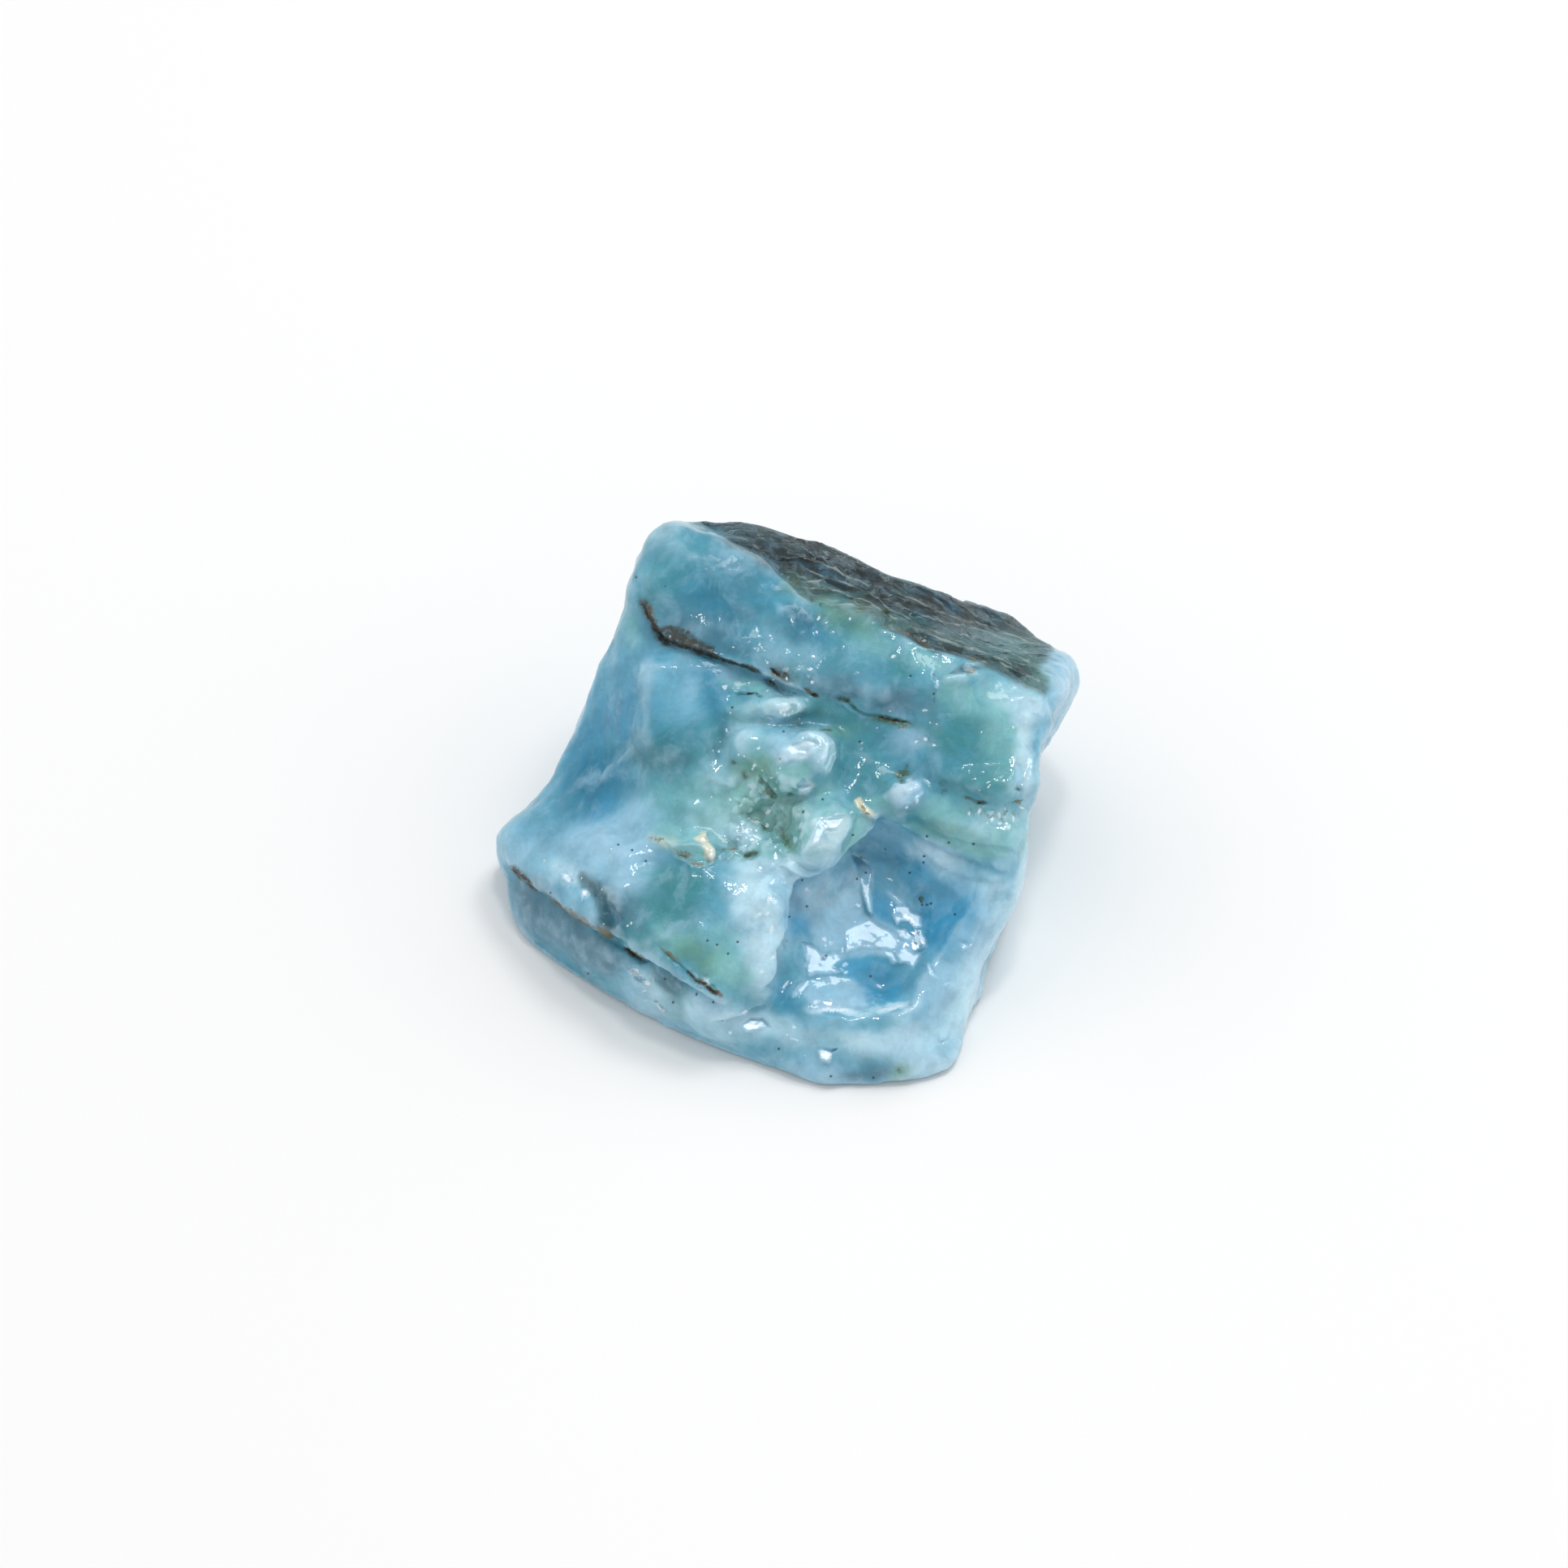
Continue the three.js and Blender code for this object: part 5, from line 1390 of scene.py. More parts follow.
OLIVE_PITS = patches(
    (-3.8, 2.9, 0.28, 0.2, -30), (-2.95, 2.1, 0.3, 0.4, 30), (-1.8, 1.5, 0.3, 0.14, -40),
    (-0.9, 0.55, 0.5, 0.2, -40), (0.4, 0.65, 0.34, 0.2, 30), (1.3, -0.6, 0.16, 0.12),
    (-1.5, -1.7, 0.4, 0.4, 40), (-0.2, -2.2, 0.26, 0.7, 10), (0.1, -2.9, 0.2, 0.5, 20),
    (-2.7, -3.8, 0.5, 0.26, 10, 3), (-2.2, -3.6, 0.3, 0.16, 10), (8.6, 2.2, 0.8, 0.22, 20),
    (8.7, 2.5, 0.7, 0.18, 70), (8.3, 1.9, 0.7, 0.16, -40), (8.9, 2.2, 0.8, 0.12, -20),
    (11.5, 1.4, 0.4, 0.22, -20), (11.6, 0.8, 0.3, 0.2), (13.2, 0.4, 0.4, 0.18, -10),
    (14.3, 0.05, 0.6, 0.18, -6), (16.8, 0.1, 0.6, 0.16, 10), (17.0, 1.0, 0.2, 0.16),
    (4.2, 7.6, 0.7, 0.24, -6), (5.0, 7.0, 0.4, 0.2, -50), (7.4, 6.1, 1.6, 0.3, -10),
    (8.6, 5.8, 0.7, 0.26, -10), (3.0, 5.4, 0.5, 0.2, -6), (-3.0, 8.0, 0.8, 0.12, 4),
    (-1.9, 7.9, 0.4, 0.14, -20), (-1.0, 8.8, 0.7, 0.16, -35), (0.2, 8.2, 0.8, 0.14, -22),
    (5.6, -3.9, 0.5, 0.16, 6), (-7.6, -3.9, 0.5, 0.2, -20), (5.4, 14.3, 0.4, 0.3, 30),
    (7.3, 14.0, 0.4, 0.3, -30), (-13.0, -9.6, 0.5, 0.2, -40), (-10.9, -11.2, 0.9, 0.26, -28),
    (8.4, -19.5, 0.4, 0.3), (9.9, -7.0, 0.18, 0.3),
)

RUSTY = patches(
    (-16.6, -7.3, 1.4, 0.18, -36), (-14.6, -8.6, 1.4, 0.3, -32), (-13.2, -9.4, 0.6, 0.3, -40),
    (-10.9, -11.1, 1.1, 0.26, -28), (-8.4, -11.0, 1.0, 0.18, -36), (-6.3, -12.9, 1.4, 0.26, -36),
    (-5.0, -13.8, 0.6, 0.24, -30), (-7.5, -3.6, 1.0, 0.3, -24), (-9.4, -2.6, 0.7, 0.24),
    (-6.6, -4.4, 1.4, 0.12, -4), (-6.0, -2.5, 0.4, 0.12, -20), (-4.0, -3.3, 0.7, 0.14, -4),
    (-1.3, 0.9, 0.4, 0.2, -40), (-0.8, -1.8, 0.14, 0.5, -6), (-2.2, -1.3, 0.3, 0.14),
    (-8.7, 11.9, 1.0, 0.34, -10), (-9.9, 13.8, 0.45, 1.0, 24), (-7.0, 11.6, 1.0, 0.4, -18),
    (-3.2, 10.1, 1.4, 0.14, -20), (1.8, 8.2, 0.7, 0.22, -28), (3.1, 5.35, 0.5, 0.14, -6),
    (5.6, -0.3, 0.4, 0.14, -50), (5.9, -0.7, 0.4, 0.14, -20), (10.0, 11.6, 0.8, 0.16, -22),
    (13.5, 9.6, 0.4, 0.2), (13.8, 10.5, 1.2, 0.08, -20), (8.4, 12.5, 1.6, 0.1, -18),
    (0.7, 16.2, 1.0, 0.12, -26), (13.6, 0.3, 0.7, 0.16, -10), (17.0, 0.0, 0.5, 0.16), (8.4, -20.4, 0.3, 0.16),
    (8.5, 5.5, 0.4, 0.12), (-0.4, 3.3, 0.14, 0.14), (0.6, 3.2, 0.1, 0.1),
)

GRIME = patches(
    (-10.2, 14.3, 0.4, 0.9, 24), (-9.6, 13.0, 0.3, 0.7, 28), (-8.5, 12.1, 1.1, 0.7, -8, 3),
    (-7.8, 12.25, 1.2, 0.6, -20, 3), (-7.4, 12.0, 0.9, 0.5, -20), (-5.8, 11.3, 0.9, 0.4, -16),
    (-0.2, 9.4, 0.7, 0.3, -30), (-6.8, 11.4, 1.0, 0.35, -18), (-5.2, 10.75, 0.9, 0.2, -14),
    (-3.6, 10.2, 1.4, 0.16, -18), (-2.3, 9.8, 0.6, 0.2, -24), (-0.6, 9.5, 0.5, 0.16, -35),
    (-1.1, 8.9, 0.5, 0.16, -35), (2.2, 7.9, 0.35, 0.2, -28, 3), (4.2, 7.55, 0.5, 0.16, -6),
    (7.8, 6.1, 1.4, 0.14, -10), (-2.6, 8.0, 0.8, 0.1, -4), (2.9, 5.35, 0.4, 0.12),
    (-19.6, -4.9, 0.7, 0.3, -38, 3), (-18.8, -5.8, 0.9, 0.24, -42), (-11.2, -10.9, 0.9, 0.24, -28),
    (-7.0, -12.4, 0.4, 0.14, -30), (-6.2, -13.0, 0.6, 0.2, -34, 3), (-5.3, -13.6, 0.6, 0.24, -34, 3),
    (-2.75, -3.8, 0.26, 0.16, 0, 3), (8.5, 2.1, 0.3, 0.14, 20, 3), (14.2, 0.05, 0.4, 0.08, -6),
    (9.8, 11.7, 0.7, 0.16, -22), (11.8, 11.05, 0.5, 0.1, -22), (16.9, 9.4, 0.3, 0.16, -30),
    (7.35, 13.95, 0.3, 0.2, -40), (1.9, 14.85, 0.26, 0.16, -30), (2.6, 14.5, 0.22, 0.12, -20),
)

SPECKS = (
    # single dark grains
    (9.75, -6.95), (9.9, -7.15), (10.3, -7.4), (10.6, -7.3), (9.95, -7.4), (12.35, -8.1), (2.75, -11.3),
    (2.95, -11.1), (7.3, -3.3), (6.85, -3.8), (7.95, -4.0), (9.05, -5.05), (5.85, -5.05), (10.05, -4.3),
    (10.1, -3.85), (6.2, -12.6), (11.9, -2.85), (13.7, -2.95), (10.3, -2.4), (1.2, -5.6), (1.55, -7.5),
    (0.25, -8.25), (0.1, -10.1), (5.2, -5.5), (-5.7, -10.0), (-4.2, -10.95), (-5.0, -10.3), (-8.2, -14.5),
    (-6.5, -13.9), (-5.3, -14.5), (-3.5, -10.1), (-13.8, -6.75), (-17.15, -6.5), (-8.8, -12.8), (-12.2, -3.0),
    (-11.2, -3.4), (-10.2, -4.2), (-0.15, 5.25), (1.3, -0.6), (4.9, -2.3), (2.7, 0.3), (-3.9, 7.0),
    (-10.9, 16.5), (6.4, -20.0), (3.3, -19.9), (-0.5, -17.9), (5.4, 4.5), (9.1, 9.3), (10.8, 9.4),
    (10.8, 8.0), (-14.4, -12.4),
)

WET = patches(
    # where the skin is polished enough to mirror the light
    (6.4, -10.2, 7.0, 6.4, 0, 6), (-0.6, 2.0, 4.4, 4.8, 0, 4), (14.6, -0.6, 3.2, 1.2, -5, 4),
    (17.2, 3.0, 0.9, 4.4, 0, 4), (2.0, -17.6, 4.0, 1.4, 0, 4), (-14.4, -6.4, 2.6, 1.6, -38, 4),
)

DRY = patches(
    # where the skin hardly shines
    (-14.4, 2.2, 1.8, 2.4, -30), (-12.9, -7.9, 0.8, 1.4, 20), (1.0, 13.0, 1.2, 1.0),
    (-6.6, 17.0, 3.0, 1.6, -30), (-1.6, 14.8, 1.8, 1.4, -30),
)

CRUMBLY = patches(
    (-1.6, 0.0, 3.2, 2.4, 0, 3), (0.2, -2.4, 1.4, 1.5, 0, 3), (-3.6, -3.4, 2.2, 0.9, 0, 3),
    (14.9, -0.8, 2.2, 0.8, -5, 3), (0.6, 9.4, 1.2, 0.6, -20), (0.2, 7.1, 1.0, 0.6, 0, 3),
    (8.6, 1.2, 1.0, 1.0, 0, 3), (-5.9, -12.9, 1.2, 0.5, -34, 3),
)

MATRIX_AREA = Outline(
    (
        (-6.6, 20.5), (-5.0, 19.8), (-4.2, 19.0), (-3.0, 18.4), (-1.8, 17.9), (-0.3, 16.6), (0.9, 15.4),
        (2.0, 14.9), (3.6, 15.2), (5.6, 14.2), (7.2, 12.9), (9.7, 11.9), (11.8, 11.0), (14.2, 10.3),
        (16.0, 9.3), (17.6, 8.5), (19.0, 7.9), (19.0, 8.9), (18.7, 9.8), (19.6, 11.3), (20.6, 12.0),
        (16.0, 15.4), (8.0, 20.0), (0.0, 24.0), (-8.0, 24.0),
    )
)


@dataclass
class Stone:
    """The larimar itself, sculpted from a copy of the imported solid."""

    name: str = "larimar"
    node: str = "larimar_stone"
    face: FaceFrame = field(default_factory=FaceFrame)
    seed: int = 11
    noise: Noise = field(init=False)
    skin: Skin = field(init=False)

    # the mesh
    voxel: float = 0.45  # mm between the corners of the mesh before it is cut finer
    melt: int = 7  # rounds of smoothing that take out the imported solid's facets
    settle: int = 4  # rounds of smoothing after the cuts
    facing: float = 0.2  # the broad face's side of the stone is cut finer from this lean on
    crack_room: float = 0.32  # mm beside a crack that are cut finer again
    strand_room: float = 0.14  # and beside a strand
    facet_room: float = 0.2  # and around a crisp facet
    grain_room: tuple[float, float, float] = (1.5, 0.35, 0.06)  # beads and grains: times, most, and more
    crisp_edge: float = 0.4  # a facet with a narrower border than this is crisp and shiny
    foot: Spot = (0.05, 0.7)  # mm above the ground where the sculpting starts and is full
    calm: int = 14  # rounds that even out the ways that the skin is pushed
    sculpted: Spot = (-0.35, 0.05)  # the skin is worked from this lean on, and fully from the second
    marked: Spot = (-0.3, 0.1)  # the same for its markings
    mark_calm: int = 12
    broad: int = 160  # rounds that even out the skin that the broad form stands out from
    close: int = 24  # and the close form

    # the broad shapes: sizes and spans in mm, most as a pair
    edge_wander: Spot = (0.2, 1.1)  # the wobble of every drawn edge
    lump_wander: Spot = (1.6, 70.0)  # how much wider the lumps' own wobble is, and its shift
    swell: float = 0.24  # the gentle unevenness
    swells: Weave = Weave(2.5)

    # the fine relief
    crack_wander: Weave = Weave(0.8)  # how the cracks' width changes
    ripple: float = 0.05
    ripples: Weave = Weave(1.0)
    olive_dip: float = 0.14  # how deep the olive pits lie
    pit_dip: float = 0.18  # and the dark hollows
    speck_dip: float = 0.06  # and the grains
    speck: float = 0.11  # reach of a dark grain
    crumb: Spot = (0.17, 0.62)  # crystals of the crumbly middle
    crumb_tilt: float = 1.8  # how much they lean
    crumb_gap: Spot = (0.05, 0.16)  # depth and width of the lines between them
    blister: Spot = (0.05, 1.9)  # bumps and pits scattered over the skin
    blister_reach: Spot = (0.14, 0.2)  # the least reach of one, and how much it varies
    blister_share: Spot = (0.12, 0.8)  # lots below are pits, and lots above are bumps
    break_off: Spot = (0.5, 6.5)  # the broken facets of the hidden sides
    glint: float = 1.3  # the glints' size against their listed reach
    proud: float = 0.04  # how far a glint's flake stands out, mm
    flake: float = 0.13  # it never lifts the skin further than this, mm

    # the matrix on the top
    matrix_out: Way = (0.273, 0.840, 0.469)  # it faces this way in the face frame
    fibre_way: float = -22.0  # degrees: its fibres run this way across the face
    fibre: Spot = (0.208, 1.1)
    fibre_run: Spot = (5.0, 1.6)  # span of the fibres along their way and out of the skin
    fibre_bend: float = 0.9  # how far they bend to the side
    fibre_bends: Weave = Weave(3.0)
    strand: float = 0.06  # how far a strand stands out
    matrix_soft: Spot = (-0.3, 0.5)  # mm inside its outline where it starts and is full
    matrix_edge: Weave = Weave(1.6, 3, 5.0)
    matrix_wobble: float = 0.35
    matrix_deep: Spot = (-17.0, -12.0)  # it fades out between these w
    matrix_deeps: Spot = (2.0, 4.0)  # how much that border changes

    # the colours
    bases: Weave = Weave(6.0, 3, 3.0)
    milks: Weave = Weave(5.0, 3, 13.0)
    teals: Weave = Weave(7.0, 2, 23.0)
    drifts: tuple[Weave, Weave] = (Weave(2.2, 4, 9.0, 0.55), Weave(2.2, 4, 31.0, 0.55))
    drift: float = 0.8  # how far the stains drift, mm
    iron: float = 1.4  # the matrix's own colour against its stains
    # painted reflection: how strongly the small mirror facets are painted with the pale haze tone
    plate: float = 4.0  # how hazy the small mirror facets are
    contrast: float = 1.2  # power that pulls the mixed tones apart
    gain: Way = (1.1, 1.09, 1.04)  # lifts the mixed tones
    matrix_gain: Way = (0.86, 0.79, 0.74)
    seam_clean: float = 0.08  # how dark a crack without grime is

    # the gloss
    dull: float = 0.55  # how wet the plain skin is
    wet: float = 0.5  # how much wetter the wet patches are
    wet_change: float = 0.35  # and how much that changes
    wets: Weave = Weave(1.2)

    def build(self) -> bpy.types.Object:
        """Makes the stone's mesh and sculpts it.

        Returns:
            The stone.
        """
        stone = self._fine_copy()
        self.noise = Noise(self.seed)
        self._cut(stone, self._facing_faces(stone))
        self._cut(stone, self._busy_faces(stone))
        self._smooth(stone, "settle", self.settle)
        self.skin = Skin(stone.data, self.face)
        self._sculpt()
        self._mark()
        self.skin.write()
        stone.data.polygons.foreach_set("use_smooth", [True] * len(stone.data.polygons))
        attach(stone, "root")
        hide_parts(self.node)
        return stone

    def _fine_copy(self) -> bpy.types.Object:
        """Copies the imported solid, closes its loose triangles up and meshes it finely.

        Returns:
            The copy, selected and active.
        """
        stone = bpy.data.objects.new(self.name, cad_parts[self.node].data.copy())
        stone.data.name = self.name
        stone.data.materials.clear()
        bpy.context.scene.collection.objects.link(stone)
        bpy.ops.object.select_all(action="DESELECT")
        stone.select_set(True)
        bpy.context.view_layer.objects.active = stone
        bpy.ops.object.mode_set(mode="EDIT")
        bpy.ops.mesh.select_all(action="SELECT")
        bpy.ops.mesh.remove_doubles(threshold=0.001 * MM)
        bpy.ops.object.mode_set(mode="OBJECT")
        fine = stone.modifiers.new("fine", "REMESH")
        fine.mode = "VOXEL"
        fine.voxel_size = self.voxel * MM
        bpy.ops.object.modifier_apply(modifier=fine.name)
        self._smooth(stone, "melt", self.melt)
        return stone

    def _smooth(self, stone: bpy.types.Object, name: str, rounds: int) -> None:
        """Smooths the whole mesh.

        Args:
            stone: the stone, active.
            name: the modifier's name.
            rounds: how many times.
        """
        melt = stone.modifiers.new(name, "SMOOTH")
        melt.factor = 0.5
        melt.iterations = rounds
        bpy.ops.object.modifier_apply(modifier=melt.name)

    def _cut(self, stone: bpy.types.Object, picked: Array) -> None:
        """Cuts the picked faces into four.

        Args:
            stone: the stone.
            picked: true for each face to cut.
        """
        bpy.ops.object.mode_set(mode="EDIT")
        bpy.ops.mesh.select_mode(type="FACE")
        bpy.ops.mesh.select_all(action="DESELECT")
        bpy.ops.object.mode_set(mode="OBJECT")
        stone.data.polygons.foreach_set("select", picked)
        bpy.ops.object.mode_set(mode="EDIT")
        bpy.ops.mesh.subdivide(number_cuts=1)
        bpy.ops.object.mode_set(mode="OBJECT")

    def _faces(self, stone: bpy.types.Object) -> tuple[Array, Array]:
        """Reads where the mesh's faces lie.

        Args:
            stone: the stone.

        Returns:
            Each face's spot on the layout, and how far it faces along w.
        """
        count = len(stone.data.polygons)
        middles, ways = np.empty(count * 3), np.empty(count * 3)
        stone.data.polygons.foreach_get("center", middles)
        stone.data.polygons.foreach_get("normal", ways)
        facing = ways.reshape(count, 3) @ self.face.axes()[2]
        return self.face.spots(self.face.places(middles.reshape(count, 3))), facing

    def _facing_faces(self, stone: bpy.types.Object) -> Array:
        """The faces on the broad face's side."""
        return self._faces(stone)[1] > self.facing

    def _busy_faces(self, stone: bpy.types.Object) -> Array:
        """Picks the faces that carry cracks, small facets, beads, grains or fibres.

        Args:
            stone: the stone.

        Returns:
            True for each such face.
        """
        spots, facing = self._faces(stone)
        busy = np.zeros(len(spots), dtype=bool)
        lines = [(crack.route, self.crack_room) for crack in CRACKS]
        lines += [(strand.route, self.strand_room) for strand in STRANDS]
        for line, room in lines:
            busy |= np.abs(line.follow(spots)[0]) < room
        for facet in FACETS:
            if facet.edge < self.crisp_edge:
                busy |= facet.outline.inside(spots) > -self.facet_room
        for patch in (*GLINTS, *self._grains()):
            away = np.linalg.norm(spots - np.array(patch.at), axis=1)
            times, most, more = self.grain_room
            busy |= away < times * min(max(patch.reach), most) + more
        return busy & (facing > self.facing)

    def _grains(self) -> tuple[Patch, ...]:
        """The single dark grains, as patches."""
        return tuple(Patch(at, (self.speck, self.speck)) for at in SPECKS)

    def _wandered(self, spots: Array, places: Array) -> Array:
        """Moves spots about a little, so that edges drawn on them run unevenly.

        Args:
            spots: one u and v per row.
            places: where they are in the noise.

        Returns:
            The moved spots.
        """
        size, span = self.edge_wander
        across, up = Weave(span, 3), Weave(span, 3, 41.0)
        shift = np.stack([across.over(self.noise, places), up.over(self.noise, places)], axis=1)
        return spots + size * shift

    def fibre_ways(self) -> tuple[Way, Way]:
        """Works out how the matrix's fibres lie.

        Returns:
            The way along them, and the way across them in the skin.
        """
        turn = math.radians(self.fibre_way)
        along = (math.cos(turn), math.sin(turn), 0.0)
        return along, tuple(np.cross(self.matrix_out, along))

    def _sculpt(self) -> None:
        """Works the swellings, ledges, facets, cracks and fine relief into the skin."""
        skin, noise = self.skin, self.noise
        rest = skin.places.copy()
        spots = self.face.spots(rest)
        drawn = self._wandered(spots, rest)
        normals = skin.spread(skin.normals(), self.calm)
        normals /= np.linalg.norm(normals, axis=1, keepdims=True)
        shown = smooth_step(normals[:, 2], *self.sculpted)
        ground = smooth_step(self.face.points(rest)[:, 2] / MM, *self.foot)

        broad = sum(mound.height * mound.shape.weight(spots) for mound in MOUNDS)
        broad = broad + sum(ledge.rise(drawn) for ledge in LEDGES)
        loose = self._wandered(drawn, rest / self.lump_wander[0] + self.lump_wander[1])
        broad = broad + sum(lump.rise(loose) for lump in LUMPS)
        broad = broad * shown + self.swell * self.swells.over(noise, rest)
        skin.push(normals, broad * ground)
        for facet in FACETS:
            skin.places[:, 2] += ground * facet.rise(spots, drawn, skin.places[:, 2], shown)
        matrix = self._matrix(rest, spots)
        relief = shown * self._fine_relief(rest, spots, drawn, matrix)
        relief += (1.0 - shown) * self._breaks(rest) + matrix * self._fibres(rest)
        relief += self.ripple * self.ripples.over(noise, rest)
        skin.push(normals, relief * ground)
        for patch in GLINTS:
            skin.places[:, 2] += self._glint(patch, spots, skin.places[:, 2]) * shown
        self._keep_in_box()

    def _glint(self, patch: Patch, spots: Array, heights: Array) -> Array:
        """Turns a small patch of skin so that it mirrors the light.

        Args:
            patch: the place and its reach.
            spots: one u and v per row.
            heights: the skin's w there.

        Returns:
            How far each spot moves along w, mm.
        """
        moved = np.zeros(len(spots))
        away = spots - np.array(patch.at)
        near = np.hypot(away[:, 0], away[:, 1]) < 2.4 * self.glint * max(patch.reach)
        reach = (self.glint * patch.reach[0], self.glint * patch.reach[1])
        weight = replace(patch, reach=reach, crisp=5.0).weight(spots[near])
        if weight.sum() <= 0.0:
            return moved
        level = np.average(heights[near], weights=weight) + self.proud
        rise = level + away[near] @ np.array(GLINT) - heights[near]
        moved[near] = weight * np.clip(rise, 0.0, self.flake)
        return moved

    def _fine_relief(self, rest: Array, spots: Array, drawn: Array, matrix: Array) -> Array:
        """Works out the cracks, pits, beads, crystals and strands of the seen side.

        Args:
            rest: the skin before any work.
            spots: its place on the layout.
            drawn: the same, wobbled.
            matrix: 1 where the matrix is.

        Returns:
            One height per corner, mm.
        """
        wander = self._wander(rest)
        relief = sum(crack.swell(drawn) - crack.depth * crack.opening(drawn, wander) for crack in CRACKS)
        relief -= self.olive_dip * cover(OLIVE_PITS, drawn)
        relief -= self.pit_dip * cover(PITS, drawn)
        relief -= self.speck_dip * cover(self._grains(), spots)

        size, span = self.crumb
        near, after, way, lots = self.noise.cells(rest / span)
        facet = np.einsum("ij,ij->i", way, lots - 0.5) * self.crumb_tilt + (lots[:, 0] - 0.5)
        gap = self.crumb_gap[0] * (1.0 - smooth_step(after - near, 0.0, self.crumb_gap[1]))
        relief += cover(CRUMBLY, spots) * (size * facet - gap)
        relief += self._blisters(rest) * (1.0 - 0.8 * matrix)
        return relief + matrix * self.strand * cover(STRANDS, drawn)

    def _wander(self, places: Array) -> Array:
        """How wide the cracks run at each place, 0 to 1."""
        return 0.5 + 0.5 * self.crack_wander.over(self.noise, places)

    def _breaks(self, places: Array) -> Array:
        """Works out the broken facets of the hidden sides.

        Args:
            places: one place per row, mm.

        Returns:
            One height per place, mm.
        """
        size, span = self.break_off
        near, after, way, lots = self.noise.cells(places / span + 3.0)
        broken = np.einsum("ij,ij->i", way, lots - 0.5) * 2.0 + 0.6 * (lots[:, 0] - 0.5)
        return size * broken * (0.3 + 0.7 * smooth_step(after - near, 0.0, 0.12))

    def _fibres(self, places: Array) -> Array:
        """Works out the relief of the matrix's fibres.

        Args:
            places: one place per row, mm.

        Returns:
            One height per place, mm.
        """
        along, across = (np.array(way) for way in self.fibre_ways())
        out = np.array(self.matrix_out)
        runs = np.stack([places @ along, places @ across, places @ out], axis=1)
        runs[:, 1] += self.fibre_bend * self.fibre_bends.over(self.noise, places)
        spans = np.array([self.fibre_run[0], self.fibre[1], self.fibre_run[1]])
        return self.fibre[0] * self.noise.layered(runs / spans, 3, 0.6)

    def _keep_in_box(self) -> None:
        """Holds the skin above the ground."""
        points = self.face.points(self.skin.places)
        points[:, 2] = np.maximum(points[:, 2], 0.0)
        self.skin.places = self.face.places(points)

    def _blisters(self, places: Array) -> Array:
        """Works out small rounded bumps and pits scattered over the skin.

        Args:
            places: one place per row, mm.

        Returns:
            One height per place, mm.
        """
        size, span = self.blister
        near, _, _, lots = self.noise.cells(places / span + 7.0)
        reach = self.blister_reach[0] + self.blister_reach[1] * lots[:, 1]
        pits, bumps = self.blister_share
        height = np.where(lots[:, 0] > bumps, size, np.where(lots[:, 0] < pits, -size, 0.0))
        return height * np.exp(-((near / reach) ** 2))

    def _matrix(self, places: Array, spots: Array) -> Array:
        """Finds the dark fibrous matrix that covers the top.

        Args:
            places: one place per row, mm.
            spots: the same on the layout.

        Returns:
            1 where the matrix is, else 0.
        """
        wobble = self.matrix_wobble * self.matrix_edge.over(self.noise, places)
        size, span = self.matrix_deeps
        depth = places[:, 2] + size * self.noise.at(places / span)
        inside = MATRIX_AREA.inside(spots) + wobble
        return smooth_step(inside, *self.matrix_soft) * smooth_step(depth, *self.matrix_deep)

    def _mark(self) -> None:
        """Stores the colours and masks that the finish reads."""
        skin, places = self.skin, self.skin.places
        normals = skin.normals()
        shown = smooth_step(skin.spread(normals, self.mark_calm)[:, 2], *self.marked)
        spots = self.face.spots(places)
        drawn = self._wandered(spots, places)
        matrix = self._matrix(places, spots)
        skin.keep("tone", self._tones(places, spots, drawn, shown, matrix))

        grime = cover(GRIME, drawn) * shown
        wander = self._wander(places) + 0.6
        dark = sum(crack.opening(drawn, wander) for crack in CRACKS) * shown
        dark *= self.seam_clean + (1.0 - self.seam_clean) * grime
        olive = np.clip(total(OLIVE_PITS, drawn) * shown, 0.0, 1.0)
        rust = np.clip(total(RUSTY, drawn) * shown, 0.0, 1.0)
        skin.keep("seams", np.stack([dark, olive, rust], axis=1))
        strands = cover(STRANDS, drawn) * shown
        specks = cover(self._grains(), spots) * shown
        skin.keep("marks", np.stack([grime, strands, specks], axis=1))

        broad = np.einsum("ij,ij->i", places - skin.spread(places, self.broad), normals)
        close = np.einsum("ij,ij->i", places - skin.spread(places, self.close), normals)
        skin.keep("form", np.stack([broad, close, matrix], axis=1))
        skin.keep("polish", self._polish(places, spots, drawn) * (1.0 - matrix))
        skin.keep("crumbly", cover(CRUMBLY, drawn) * shown)
        skin.keep("behind", 1.0 - shown)
        # painted highlight: where the finish paints the glints white
        skin.keep("glints", cover(GLINTS, drawn) * shown)

